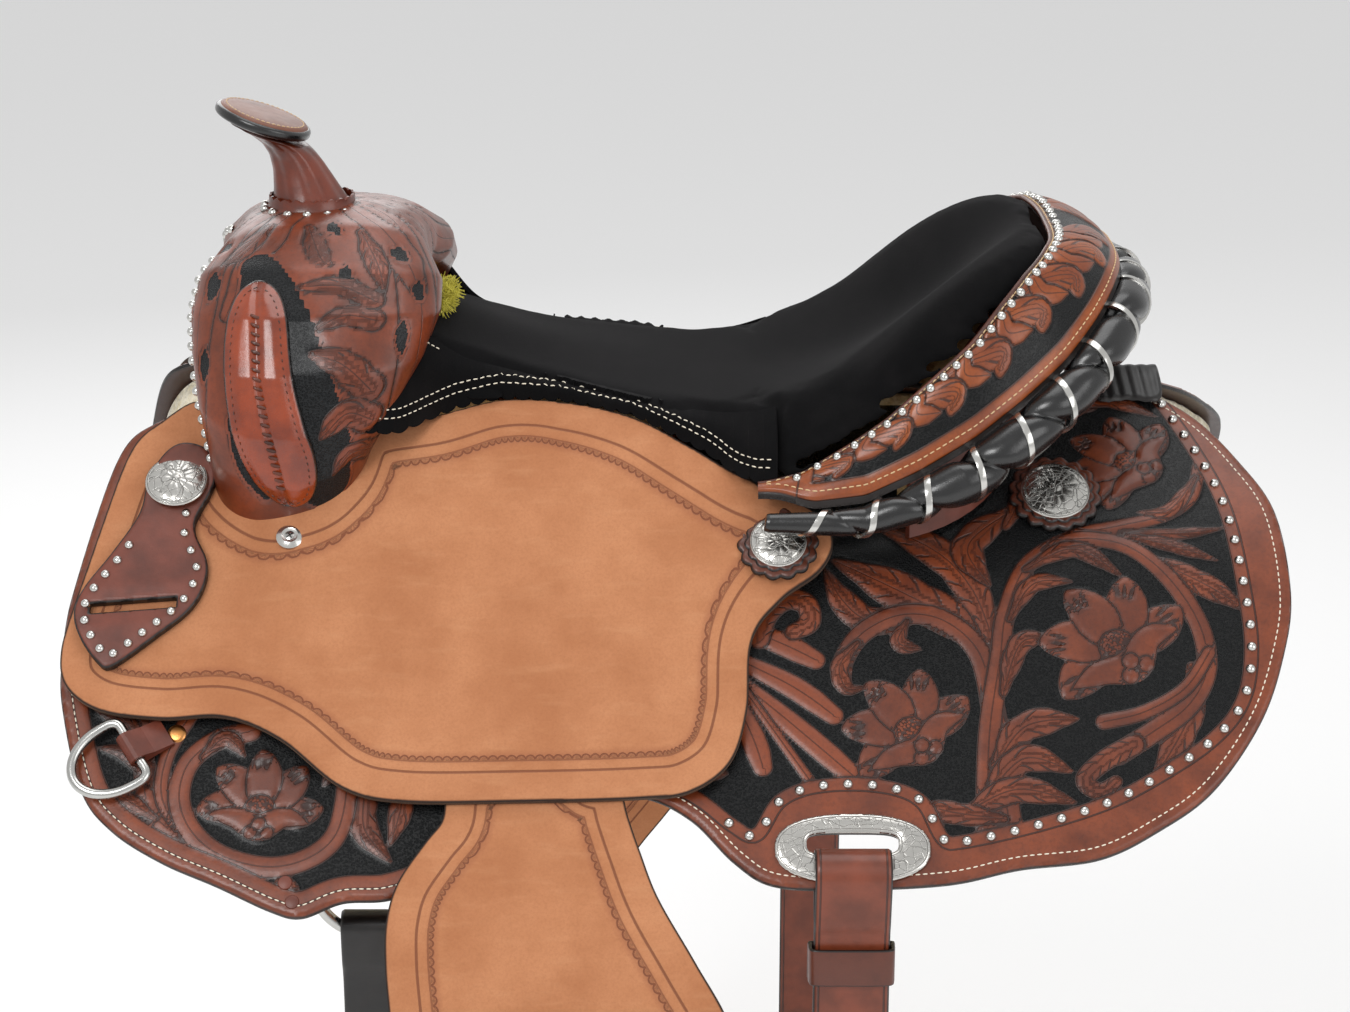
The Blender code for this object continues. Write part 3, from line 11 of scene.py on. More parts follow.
import bpy
import numpy as np
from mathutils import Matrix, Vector


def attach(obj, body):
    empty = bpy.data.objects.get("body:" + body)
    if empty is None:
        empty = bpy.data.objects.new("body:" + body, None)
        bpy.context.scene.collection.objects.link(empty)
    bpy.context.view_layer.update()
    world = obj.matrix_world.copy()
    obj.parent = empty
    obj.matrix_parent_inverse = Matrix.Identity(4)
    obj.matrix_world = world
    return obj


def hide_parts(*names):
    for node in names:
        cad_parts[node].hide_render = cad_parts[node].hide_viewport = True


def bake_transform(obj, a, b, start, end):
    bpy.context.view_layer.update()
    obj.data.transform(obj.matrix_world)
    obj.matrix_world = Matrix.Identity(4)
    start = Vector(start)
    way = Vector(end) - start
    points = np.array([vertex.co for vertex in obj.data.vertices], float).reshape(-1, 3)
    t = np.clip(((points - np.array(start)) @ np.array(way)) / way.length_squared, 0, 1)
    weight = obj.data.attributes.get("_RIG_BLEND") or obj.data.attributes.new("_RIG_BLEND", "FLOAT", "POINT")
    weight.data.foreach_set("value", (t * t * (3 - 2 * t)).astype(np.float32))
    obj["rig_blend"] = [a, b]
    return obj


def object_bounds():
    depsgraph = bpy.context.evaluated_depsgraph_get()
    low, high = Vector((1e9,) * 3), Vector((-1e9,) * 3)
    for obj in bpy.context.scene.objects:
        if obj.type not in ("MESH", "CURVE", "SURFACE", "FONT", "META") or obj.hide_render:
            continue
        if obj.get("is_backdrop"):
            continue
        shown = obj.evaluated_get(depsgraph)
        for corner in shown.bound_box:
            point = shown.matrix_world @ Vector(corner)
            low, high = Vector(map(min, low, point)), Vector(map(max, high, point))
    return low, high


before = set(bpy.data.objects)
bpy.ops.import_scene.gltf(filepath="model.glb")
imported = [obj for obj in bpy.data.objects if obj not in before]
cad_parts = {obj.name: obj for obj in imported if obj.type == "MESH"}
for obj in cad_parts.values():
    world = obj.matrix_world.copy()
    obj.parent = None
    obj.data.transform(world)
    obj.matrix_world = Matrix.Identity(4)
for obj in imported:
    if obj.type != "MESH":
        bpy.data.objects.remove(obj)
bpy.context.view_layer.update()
SIDES = {"near": -1.0, "off": 1.0}

# ---- sizes shared with the solid model (metres, degrees) ----
RIDGE_HALF_GAP, RIDGE_HEIGHT, RIDGE_SLOPE, FLANK_SLOPE = 0.012, 0.078, 30.0, 47.0
BEND_START, BEND_END, FRONT_LIFT = 0.06, 0.18, 0.045
SKIRT_TOP = 0.0050
FENDER_LOW, FENDER_THICKNESS = 0.0055, 0.0045
JOCKEY_LOW = FENDER_LOW + FENDER_THICKNESS + 0.0010
JOCKEY_TOP = JOCKEY_LOW + 0.0050
KEEPER_LOW, KEEPER_TOP = JOCKEY_TOP + 0.0006, JOCKEY_TOP + 0.0071
HINGE_S = 0.302
LEATHER_X, STIRRUP_X, FENDER_LENGTH = -0.0875, -0.075, 0.430
CAP_TILT, CAP_RADIUS, CAP_THICKNESS = 19.0, 0.0307, 0.0085
CAP_CENTRE = np.array([-0.2520, 0, 0.2540])
FORK_SKIN = 0.0038  # leather and gap on the tree's fork
CANTLE_START, RIM_INNER_SIZE, RIM_OUTER_SIZE = 0.055, (0.1735, 0.138, 3.2), (0.2200, 0.157, 2.6)
PLATE_X, SLOT_LOW_S, SLOT_HEIGHT, SLOT_LENGTH = 0.102, 0.3232, 0.0150, 0.056
PLATE_S, HEM_S = SLOT_LOW_S - SLOT_HEIGHT / 2 + 0.0028, 0.342
RING_X, RING_TOP_S, RING_D, RING_RADIUS, RING_WIRE = -0.178, 0.2985, -0.0128, 0.0345, 0.0035
BILLET_WIDTH, BILLET_DROP, LATIGO_WIDTH, LATIGO_DROP, STRAP_THICKNESS = 0.044, 0.430, 0.036, 0.400, 0.0030
STITCH_STEP, SIDE_STITCH_STEP, STUD_STEP = 0.0042, 0.0044, 0.0142
DEE_AT, DEE_TURN, DEE_WIRE = (-0.315, 0.259), math.atan2(0.028, 0.018), 0.0030

SKIRT = [(-0.290, 0.058), (-0.318, 0.066), (-0.336, 0.080), (-0.350, 0.117), (-0.3605, 0.163), (-0.3625, 0.200),
         (-0.3600, 0.230), (-0.345, 0.282), (-0.325, 0.307), (-0.295, 0.326), (-0.263, 0.340), (-0.231, 0.355),
         (-0.213, 0.359), (-0.190, 0.350), (-0.163, 0.348), (-0.135, 0.336), (-0.105, 0.306), (-0.060, 0.287),
         (-0.020, 0.286), (0.009, 0.300), (0.034, 0.326), (0.057, 0.340), (0.100, HEM_S),
         (0.157, 0.339), (0.198, 0.330), (0.244, 0.324), (0.279, 0.307), (0.313, 0.282), (0.344, 0.239),
         (0.361, 0.195), (0.368, 0.156), (0.364, 0.100), (0.347, 0.061), (0.326, 0.027), (0.300, 0.004),
         (0.268, -0.008), (0.235, -0.006), (0.210, 0.006), (0.180, 0.012), (0.060, 0.012), (-0.040, 0.014),
         (-0.100, 0.030), (-0.150, 0.050), (-0.200, 0.056), (-0.250, 0.056)]
FLEECE = [(-0.286, 0.065), (-0.312, 0.072), (-0.330, 0.090), (-0.343, 0.118), (-0.354, 0.163), (-0.356, 0.200),
          (-0.353, 0.228), (-0.339, 0.277), (-0.321, 0.300), (-0.293, 0.318), (-0.262, 0.331), (-0.238, 0.326),
          (-0.226, 0.284), (-0.180, 0.274), (-0.100, 0.274), (-0.020, 0.279), (0.014, 0.290), (0.036, 0.308),
          (0.054, 0.302), (0.064, 0.284), (0.102, 0.280), (0.140, 0.284), (0.152, 0.306), (0.166, 0.330),
          (0.198, 0.323), (0.241, 0.317), (0.275, 0.300), (0.307, 0.277), (0.337, 0.236), (0.354, 0.193),
          (0.361, 0.156), (0.357, 0.102), (0.341, 0.066), (0.320, 0.033), (0.296, 0.010), (0.266, -0.002),
          (0.237, 0.000), (0.212, 0.012), (0.180, 0.018), (0.060, 0.018), (-0.040, 0.020), (-0.100, 0.036),
          (-0.150, 0.056), (-0.200, 0.062), (-0.248, 0.063)]
JOCKEY = [(-0.289, 0.061), (-0.312, 0.072), (-0.329, 0.087), (-0.344, 0.127), (-0.355, 0.168), (-0.361, 0.200),
          (-0.356, 0.222), (-0.335, 0.237), (-0.299, 0.242), (-0.262, 0.241), (-0.229, 0.255), (-0.193, 0.284),
          (-0.158, 0.293), (-0.089, 0.293), (-0.020, 0.291), (0.009, 0.287), (0.032, 0.269),
          (0.042, 0.237), (0.045, 0.198), (0.062, 0.177), (0.086, 0.159), (0.094, 0.141), (0.082, 0.128),
          (0.057, 0.126), (0.036, 0.120), (0.009, 0.106), (-0.027, 0.086), (-0.070, 0.072), (-0.106, 0.071),
          (-0.142, 0.081), (-0.175, 0.086), (-0.189, 0.093), (-0.197, 0.113), (-0.212, 0.123), (-0.236, 0.123),
          (-0.261, 0.107), (-0.278, 0.082)]
KEEPER = [(-0.296, 0.086), (-0.282, 0.089), (-0.276, 0.099), (-0.277, 0.108), (-0.286, 0.124), (-0.285, 0.133),
          (-0.278, 0.146), (-0.278, 0.160), (-0.286, 0.176), (-0.305, 0.193), (-0.329, 0.212), (-0.338, 0.209),
          (-0.350, 0.192), (-0.354, 0.176), (-0.348, 0.160), (-0.334, 0.141), (-0.320, 0.121), (-0.316, 0.104),
          (-0.307, 0.091)]
FENDER = [(-0.1235, 0.130), (-0.1235, 0.262), (-0.132, 0.282), (-0.134, 0.302), (-0.143, 0.315), (-0.158, 0.339),
          (-0.164, 0.362), (-0.164, 0.386), (-0.161, 0.415), (-0.157, 0.450), (-0.149, 0.500), (-0.135, 0.550),
          (-0.121, 0.588), (-0.110, 0.616), (-0.108, 0.650), (-0.108, 0.700), (-0.108, 0.7275), (-0.042, 0.7275),
          (-0.042, 0.700), (-0.042, 0.650), (-0.038, 0.612), (-0.026, 0.592), (-0.006, 0.565), (0.020, 0.528),
          (0.037, 0.485), (0.040, 0.450), (0.030, 0.415), (0.011, 0.383), (-0.009, 0.350), (-0.020, 0.321),
          (-0.027, 0.300), (-0.033, 0.280), (-0.0515, 0.262), (-0.0515, 0.130), (-0.062, 0.115), (-0.0875, 0.109),
          (-0.113, 0.115)]
PATCH = [(-0.2497, 5.72), (-0.2590, 5.50), (-0.2640, 5.05), (-0.2660, 4.50), (-0.2655, 3.90), (-0.2635, 3.30),
         (-0.2585, 2.60), (-0.2500, 2.05), (-0.2380, 1.60), (-0.2263, 1.45), (-0.2160, 1.62), (-0.2115, 2.05),
         (-0.2125, 2.60), (-0.2180, 3.20), (-0.2230, 3.80), (-0.2262, 4.40), (-0.2285, 5.00), (-0.2330, 5.42),
         (-0.2410, 5.68)]
PATCH_SEAM = ([1.5, 2.37, 3.88, 5.43], [-0.2300, -0.2345, -0.2445, -0.2475])
FORK_OUTER = [(0.104, -0.002), (0.127, 0.034), (0.136, 0.062), (0.138, 0.092), (0.131, 0.125), (0.113, 0.154),
              (0.084, 0.177), (0.045, 0.192), (0.000, 0.197)]
FORK_INNER = [(0.052, 0.052), (0.066, 0.084), (0.068, 0.103), (0.062, 0.120), (0.050, 0.133), (0.034, 0.142),
              (0.018, 0.147), (0.008, 0.149), (0.000, 0.1495)]
FORK_HALF = [0.040, 0.041, 0.047, 0.057, 0.066, 0.071, 0.0695, 0.0600, 0.0560]
FORK_MIDDLE = [-0.236, -0.234, -0.230, -0.2245, -0.2190, -0.2160, -0.2150, -0.2140, -0.2140]
SEAT_X = [-0.178, -0.147, -0.118, -0.090, -0.068, -0.045, -0.015, 0.016, 0.036, 0.055,
          0.078, 0.100, 0.120, 0.140, 0.157, 0.171, 0.186, 0.200, 0.212, 0.220, 0.2268]
SEAT_HALF = [0.100, 0.0930, 0.0885, 0.0850, 0.0855, 0.0910, 0.1030, 0.1150, 0.1230, 0.1300]
SEAT_EDGE = [0.088, 0.0930, 0.0975, 0.1000, 0.1000, 0.0980, 0.0910, 0.0810, 0.0720, 0.0640]
SEAT_CREST = [0.132, 0.1260, 0.1175, 0.1095, 0.1050, 0.1005, 0.0955, 0.0930, 0.0935, 0.0975,
              0.1060, 0.1170, 0.1330, 0.1500, 0.1640, 0.1740, 0.1830, 0.1895, 0.1925, 0.1935, 0.1920]
SEAT_MIDDLE = [0.138, 0.1330, 0.1240, 0.1140, 0.1080, 0.1030, 0.0960, 0.0925, 0.0920, 0.0930,
               0.0965, 0.1040, 0.1130, 0.1240, 0.1360, 0.1480, 0.1620, 0.1760, 0.1850, 0.1895, 0.1905]
RIM_INNER = [(0.055, 0.060), (0.077, 0.065), (0.103, 0.081), (0.1245, 0.096), (0.151, 0.119), (0.174, 0.139),
             (0.192, 0.160), (0.207, 0.175), (0.222, 0.185), (0.2285, 0.185)]
RIM_OUTER = [(0.055, 0.052), (0.084, 0.053), (0.112, 0.056), (0.143, 0.0695), (0.177, 0.088), (0.205, 0.107),
             (0.232, 0.127), (0.253, 0.147), (0.268, 0.1635), (0.275, 0.168)]
FIELD = [(0.298, 0.001), (0.320, 0.053), (0.334, 0.100), (0.340, 0.156), (0.341, 0.195), (0.333, 0.228),
         (0.312, 0.253), (0.276, 0.277), (0.246, 0.292), (0.205, 0.305), (0.165, 0.314), (0.154, 0.312),
         (0.142, 0.289), (0.119, 0.280), (0.084, 0.280), (0.061, 0.289), (0.047, 0.310), (0.033, 0.304),
         (0.012, 0.287), (-0.030, 0.262), (-0.060, 0.200), (0.000, 0.050), (0.150, -0.040), (0.270, -0.045)]


# ---- small sums ----
def ease(t):
    """Rises smoothly from 0 to 1 as t goes from 0 to 1: t squared times (3 - 2t)."""
    t = np.clip(t, 0.0, 1.0)
    return t * t * (3 - 2 * t)


def around(count):
    """Angles evenly round a full turn."""
    return np.linspace(0, 2 * math.pi, count, endpoint=False)


def unit(vectors):
    """Each row scaled to length one."""
    return vectors / np.linalg.norm(vectors, axis=-1)[..., None]


def run_along(line):
    """Length from a line's start to each of its points."""
    return np.concatenate([[0], np.cumsum(np.linalg.norm(np.diff(line, axis=0), axis=1))])


def read_line(at, run, line):
    """Points of a line at given lengths along it."""
    return np.stack([np.interp(at, run, line[:, k]) for k in range(line.shape[1])], -1)


def squarish(wave, power):
    """A sine or cosine flattened towards a rounded square: its size to a power, with its own sign."""
    return np.sign(wave) * np.abs(wave) ** power


# ---- surfaces ----
def slope_profile(slopes):
    """Arc length, slope, distance out and height of a line whose slope in degrees runs through given values."""
    s = np.linspace(0.0, 1.0, 4001)
    angle = np.radians(np.interp(s, [k for k, _ in slopes], [v for _, v in slopes]))
    step = np.diff(s)
    out = np.concatenate([[0.0], np.cumsum((np.cos(angle[1:]) + np.cos(angle[:-1])) / 2 * step)])
    down = np.concatenate([[0.0], np.cumsum((np.sin(angle[1:]) + np.sin(angle[:-1])) / 2 * step)])
    return s, angle, RIDGE_HALF_GAP + out, RIDGE_HEIGHT - down


SIDE = slope_profile([(0, RIDGE_SLOPE), (BEND_START, RIDGE_SLOPE), (BEND_END, FLANK_SLOPE)])
HANG = slope_profile([(0, FLANK_SLOPE), (0.352, FLANK_SLOPE), (0.450, 87.0)])


def front_lift(x, s):
    """How much the front of the skirts rises toward the fork."""
    return FRONT_LIFT * ease((-x - 0.10) / 0.20) * ease(1 - s / 0.16)


def on_side(x, s, d):
    """The skirts' surface: a 30 degree roof that bends to a 47 degree flank, s down its slope, d off it."""
    table_s, angle, out, down = SIDE
    theta = np.interp(s, table_s, angle)
    below = np.minimum(s, 0.0)
    y = np.interp(s, table_s, out) + below * math.cos(angle[0]) + d * np.sin(theta)
    z = np.interp(s, table_s, down) - below * math.sin(angle[0]) + front_lift(x, s) + d * np.cos(theta)
    return np.stack([x, y, z], -1)


def seat_rise(x):
    """How much the jockey's upper edge is lifted by the seat and the fork's foot."""
    return np.interp(x, [-0.28, -0.25, -0.22, -0.19, -0.07, 0.015, 0.045, 0.07, 0.10],
                     [0, 0.012, 0.030, 0.040, 0.039, 0.048, 0.049, 0.035, 0.020])


def on_jockey(x, s, d):
    """The jockey's surface: the skirts' one, raised near its upper edge."""
    point = on_side(x, s, d)
    rise = seat_rise(x)
    point[..., 2] += rise * ease(1 - (s - 0.06) / 0.17) - front_lift(x, s) * np.minimum(1.0, rise / 0.04)
    return point


def on_plane(x, s, d):
    """The flat flank, carried on past its ends."""
    base = on_side(x * 0, x * 0 + BEND_END, x * 0)
    t = math.radians(FLANK_SLOPE)
    y = base[..., 1] + (s - BEND_END) * math.cos(t) + d * math.sin(t)
    z = base[..., 2] - (s - BEND_END) * math.sin(t) + d * math.cos(t)
    return np.stack([x, y, z], -1)


def on_fender(x, s, d):
    """The fender's surface: the flank, turning to hang straight down below the skirt."""
    start = on_plane(x * 0, x * 0, x * 0)
    table_s, angle, out, down = HANG
    theta = np.interp(s, table_s, angle)
    y = start[..., 1] + np.interp(s, table_s, out) - RIDGE_HALF_GAP + d * np.sin(theta)
    z = start[..., 2] + np.interp(s, table_s, down) - RIDGE_HEIGHT + d * np.cos(theta)
    return np.stack([x, y, z], -1)


def place(surface, x, s, d, side):
    """One point of a surface, mirrored to its side."""
    point = surface(np.float64(x), np.float64(s), np.float64(d))
    return np.array([point[0], side * point[1], point[2]])


def local_frame(surface, x, s, d, side, turn=0.0):
    """Rows of a rotation (along, across, normal) and the point, for a piece laid on a surface."""
    step = 1e-4
    centre = place(surface, x, s, d, side)
    along = place(surface, x + step, s, d, side) - place(surface, x - step, s, d, side)
    normal = place(surface, x, s, d + step, side) - centre
    normal /= np.linalg.norm(normal)
    along -= normal * along.dot(normal)
    along /= np.linalg.norm(along)
    across = np.cross(normal, along)
    c, s_ = math.cos(turn), math.sin(turn)
    return np.stack([c * along + s_ * across, -s_ * along + c * across, normal]), centre


def in_frame(local):
    """A surface function for a flat piece: x and s are its own two axes, d its height."""
    rows, centre = local
    return lambda x, s, d: centre + x[..., None] * rows[0] + s[..., None] * rows[1] + d[..., None] * rows[2]


# ---- meshes ----
def piece(name, verts, faces, body, look, attributes=None, crease=40.0, replaces=()):
    """One object from arrays: vertices, and a list of face arrays."""
    mesh = bpy.data.meshes.new(name)
    rows = [row for block in faces for row in np.asarray(block).tolist()]
    mesh.from_pydata(np.asarray(verts, float).reshape(-1, 3).tolist(), [], rows)
    for key, values in (attributes or {}).items():
        layer = mesh.attributes.new(key, "FLOAT", "POINT")
        layer.data.foreach_set("value", np.asarray(values, np.float32).ravel())
    mesh.shade_smooth()
    if crease:
        mesh.set_sharp_from_angle(angle=math.radians(crease))
    mesh.materials.append(look)
    obj = bpy.data.objects.new(name, mesh)
    bpy.context.scene.collection.objects.link(obj)
    if replaces:
        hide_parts(*replaces)
    if isinstance(body, str):
        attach(obj, body)
    return obj


def grid_faces(rows, columns, close_rows=False, close_columns=False):
    """Quads of a rows by columns grid of vertices, optionally joined end to end either way."""
    i = np.arange(rows if close_rows else rows - 1)[:, None]
    j = np.arange(columns if close_columns else columns - 1)[None, :]
    a = i * columns + j
    b = i * columns + (j + 1) % columns
    c = (i + 1) % rows * columns + (j + 1) % columns
    d = (i + 1) % rows * columns + j
    return np.stack([a, b, c, d], -1).reshape(-1, 4)


def tube_faces(rows, columns):
    """Faces of a closed tube of rows rings, with a cap at each end."""
    ring = np.arange(columns)[None]
    return [grid_faces(rows, columns, close_columns=True), ring[:, ::-1], (rows - 1) * columns + ring]


def smooth_curve(points, spacing, closed=True):
    """Catmull-Rom through the points, resampled at an even spacing."""
    p = np.array(points, float)
    if closed:
        a, b, c, d = np.roll(p, 1, 0), p, np.roll(p, -1, 0), np.roll(p, -2, 0)
    else:
        q = np.concatenate([p[:1], p, p[-1:]])
        a, b, c, d = q[:-3], q[1:-2], q[2:-1], q[3:]
    t = np.linspace(0, 1, 10, endpoint=False)[None, :, None]
    a, b, c, d = (v[:, None] for v in (a, b, c, d))
    line = 0.5 * (2 * b + (c - a) * t + (2 * a - 5 * b + 4 * c - d) * t * t + (3 * b - a - 3 * c + d) * t ** 3)
    line = line.reshape(-1, p.shape[1])
    line = np.concatenate([line, line[:1] if closed else p[-1:]])
    length = run_along(line)
    count = max(3, int(round(length[-1] / spacing)))
    even = read_line(np.linspace(0, length[-1], count + 1), length, line)
    return even[:-1] if closed else even


def rim_field(points, loops):
    """Distance inside the first loop and outside the rest, the nearest rim point and the length along the rim."""
    best = np.full(len(points), np.inf)
    near = np.zeros_like(points)
    along = np.zeros(len(points))
    inside = np.zeros(len(points), bool)
    for loop in loops:
        a, b = loop, np.roll(loop, -1, 0)
        seg = b - a
        size = (seg ** 2).sum(-1)
        run = np.concatenate([[0], np.cumsum(np.sqrt(size))[:-1]])
        for part in np.array_split(np.arange(len(points)), max(1, len(points) * len(loop) // 4_000_000 + 1)):
            p = points[part][:, None]
            t = np.clip(((p - a) * seg).sum(-1) / size, 0, 1)
            foot = a + seg * t[..., None]
            gap = ((p - foot) ** 2).sum(-1)
            k = gap.argmin(1)
            rows = np.arange(len(part))
            closer = gap[rows, k] < best[part]
            who = part[closer]
            best[who] = gap[rows, k][closer]
            near[who] = foot[rows, k][closer]
            along[who] = (run[k] + np.sqrt(size[k]) * t[rows, k])[closer]
            crosses = (a[:, 1] > p[..., 1]) != (b[:, 1] > p[..., 1])
            cut = a[:, 0] + (p[..., 1] - a[:, 1]) / np.where(seg[:, 1] == 0, 1e-12, seg[:, 1]) * seg[:, 0]
            inside[part] ^= (crosses & (p[..., 0] < cut)).sum(1) % 2 == 1
    return np.where(inside, 1, -1) * np.sqrt(best), near, along


def pattern(outline, pitch, holes=(), smooth=True, spacing=0.003):
    """A flat cut: a square grid trimmed to the outline, with its edge vertices moved on to the outline."""
    loops = [smooth_curve(outline, spacing) if smooth else np.array(outline, float)]
    loops += [np.array(h, float) for h in holes]
    low, high = loops[0].min(0), loops[0].max(0)
    x = np.arange(low[0] - pitch, high[0] + 2 * pitch, pitch)
    s = np.arange(low[1] - pitch, high[1] + 2 * pitch, pitch)
    grid = np.stack(np.meshgrid(x, s), -1)
    points = grid.reshape(-1, 2)
    inner, near, along = rim_field(points, loops)
    shape = grid.shape[:2]
    depth = inner.reshape(shape)
    keep = (depth[:-1, :-1] + depth[1:, :-1] + depth[:-1, 1:] + depth[1:, 1:]) > 0
    index = np.arange(len(points)).reshape(shape)
    quads = np.stack([index[:-1, :-1], index[:-1, 1:], index[1:, 1:], index[1:, :-1]], -1)
    pad = np.pad(keep, 1)
    beside = [pad[:-2, 1:-1], pad[1:-1, 2:], pad[2:, 1:-1], pad[1:-1, :-2]]
    edges = np.concatenate([quads[keep & ~other][:, [k, (k + 1) % 4]] for k, other in enumerate(beside)])
    quads = quads[keep]
    rim = np.unique(edges)
    points = points.copy()
    points[rim] = near[rim]
    inner[rim] = 0
    used = np.unique(quads)
    new = np.zeros(len(points), int)
    new[used] = np.arange(len(used))
    return {"p": points[used], "inner": np.maximum(inner[used], 0), "along": along[used], "quads": new[quads],
            "edges": new[edges], "loops": loops}


def lay(name, cut, surface, side, low, high, body, look, raised=0.0, edge=0.0014, attributes=None, replaces=(),
        crease=45.0, underside=None):
    """A cut laid on a surface between two heights, with rounded edges; raised is added to its top."""
    x, s, inner = cut["p"][:, 0], cut["p"][:, 1], cut["inner"]
    near = np.minimum(inner, edge)
    top = high + raised * ease(inner / 0.002) - (edge - np.sqrt(np.maximum(edge ** 2 - (edge - near) ** 2, 0)))
    bottom = (underside(x, s) if underside else low) + 0.3 * edge * (1 - near / edge) + 0 * x
    upper, lower = surface(x, s, top), surface(x, s, bottom)
    out = surface(x, s, top + 0.001) - upper
    quads = cut["quads"]
    face = np.cross(upper[quads[:, 1]] - upper[quads[:, 0]], upper[quads[:, 3]] - upper[quads[:, 0]])
    turn = (face * out[quads[:, 0]]).sum() < 0
    verts = np.concatenate([upper, lower])
    verts[:, 1] *= side
    count = len(x)
    a, b = cut["edges"].T
    wall = np.stack([b, a, a + count, b + count], -1)
    faces = [quads, quads[:, ::-1] + count, wall]
    if turn ^ (side < 0):
        faces = [f[:, ::-1] for f in faces]
    values = {"rim": inner * 1000, "along": cut["along"] * 1000, **(attributes or {})}
    values = {key: np.concatenate([v, v if key == "rim" else v * 0 + 9]) for key, v in values.items()}
    return piece(name, verts, faces, body, look, values, crease, replaces)


def sweep(path, profile, closed=False, normals=None, twist=None):
    """A profile carried along a path: profile is (count, 2) or (steps, count, 2) in the path's own normal frame."""
    p = np.array(path, float)
    if closed:
        tangent = np.roll(p, -1, 0) - np.roll(p, 1, 0)
    else:
        tangent = np.gradient(p, axis=0)
    tangent = unit(tangent)
    guide = np.array(normals if normals is not None else (0, 0, 1.0), float) + 0 * p
    first = guide - tangent * (guide * tangent).sum(-1)[:, None]
    first = unit(first)
    second = np.cross(tangent, first)
    if twist is not None:
        c, s = np.cos(twist)[:, None], np.sin(twist)[:, None]
        first, second = c * first + s * second, c * second - s * first
    shape = np.array(profile, float)
    if shape.ndim == 2:
        shape = np.broadcast_to(shape, (len(p), *shape.shape))
    verts = p[:, None] + shape[..., :1] * first[:, None] + shape[..., 1:] * second[:, None]
    rows, columns = shape.shape[:2]
    faces = [grid_faces(rows, columns, True, True)] if closed else tube_faces(rows, columns)
    return verts.reshape(-1, 3), faces


def outward(verts, faces):
    """Turns the faces over if the closed body they make has a negative volume."""
    total = 0.0
    for block in faces:
        block = np.asarray(block)
        for k in range(1, block.shape[1] - 1):
            a, b, c = verts[block[:, 0]], verts[block[:, k]], verts[block[:, k + 1]]
            total += (a * np.cross(b, c)).sum()
    return faces if total > 0 else [np.asarray(block)[:, ::-1] for block in faces]


def circle(radius, count):
    """A round profile."""
    a = around(count)
    return np.stack([radius * np.cos(a), radius * np.sin(a)], -1)


def rounded(width, thick, radius, count=5):
    """A rounded rectangle, as a closed profile."""
    a = np.radians(np.linspace(0, 90, count))
    x, y = width / 2 - radius, thick / 2 - radius
    corners = [(x, y, 0), (-x, y, 90), (-x, -y, 180), (x, -y, 270)]
    return np.concatenate([np.array([cx, cy]) + radius * np.stack([np.cos(a + math.radians(t)),
                                                                   np.sin(a + math.radians(t))], -1)
                           for cx, cy, t in corners])


def turned(rows, centre, profile, count=64, wave=None):
    """A turned body about a frame's normal; profile is (radius, height) from the top centre outwards and down."""
    a = around(count)
    r = np.array([p[0] for p in profile])[:, None]
    h = np.array([p[1] for p in profile])[:, None] + 0 * a
    r = r + 0 * a
    if wave is not None:
        r, h = wave(r, h, a)
    verts = centre + (r * np.cos(a))[..., None] * rows[0] + (r * np.sin(a))[..., None] * rows[1]
    verts = verts + h[..., None] * rows[2]
    verts = verts.reshape(-1, 3)
    return verts, outward(verts, tube_faces(len(profile), count)), r.ravel() * 1000


def unedged(verts):
    """Attributes of a leather piece with no dark cut edge."""
    return {"rim": np.full(len(verts), 9.0), "edged": np.zeros(len(verts))}


def scatter(name, shape, faces, places, body, look):
    """Many copies of one small body as one piece; places are (rows of a rotation, centre)."""
    rows = np.array([p[0] for p in places])
    centres = np.array([p[1] for p in places])
    verts = np.einsum("vk,nkj->nvj", shape, rows) + centres[:, None]
    first = (np.arange(len(places)) * len(shape))[:, None, None]
    blocks = [(np.asarray(f)[None] + first).reshape(-1, np.asarray(f).shape[1]) for f in faces]
    return piece(name, verts.reshape(-1, 3), blocks, body, look, None, 40.0)


def dome(radius, height, sides=12, rings=4):
    """A stud's head: a low dome on a short skirt."""
    t = np.linspace(0.12, 1, rings) * math.pi / 2
    r = np.append(radius * np.sin(t), radius * 0.96)
    h = np.append(height * np.cos(t), -0.0012)
    a = around(sides)
    verts = np.stack([r[:, None] * np.cos(a), r[:, None] * np.sin(a), h[:, None] + 0 * a], -1).reshape(-1, 3)
    return verts, outward(verts, tube_faces(len(r), sides))


def capsule(length, radius, sides=6):
    """A stitch: a short thread with round ends, bowed a little."""
    t = np.array([-0.5, -0.42, -0.2, 0.2, 0.42, 0.5]) * length
    r = np.array([0.35, 0.85, 1.0, 1.0, 0.85, 0.35]) * radius
    a = around(sides)
    lift = radius * 0.9 * (1 - (2 * t / length) ** 2)
    verts = np.stack([t[:, None] + 0 * a, r[:, None] * np.cos(a), r[:, None] * np.sin(a) + lift[:, None]], -1)
    verts = verts.reshape(-1, 3)
    return verts, outward(verts, tube_faces(len(t), sides))


STUD, STUD_FACES = dome(0.0031, 0.0026)
STITCH, STITCH_FACES = capsule(0.0030, 0.00042)


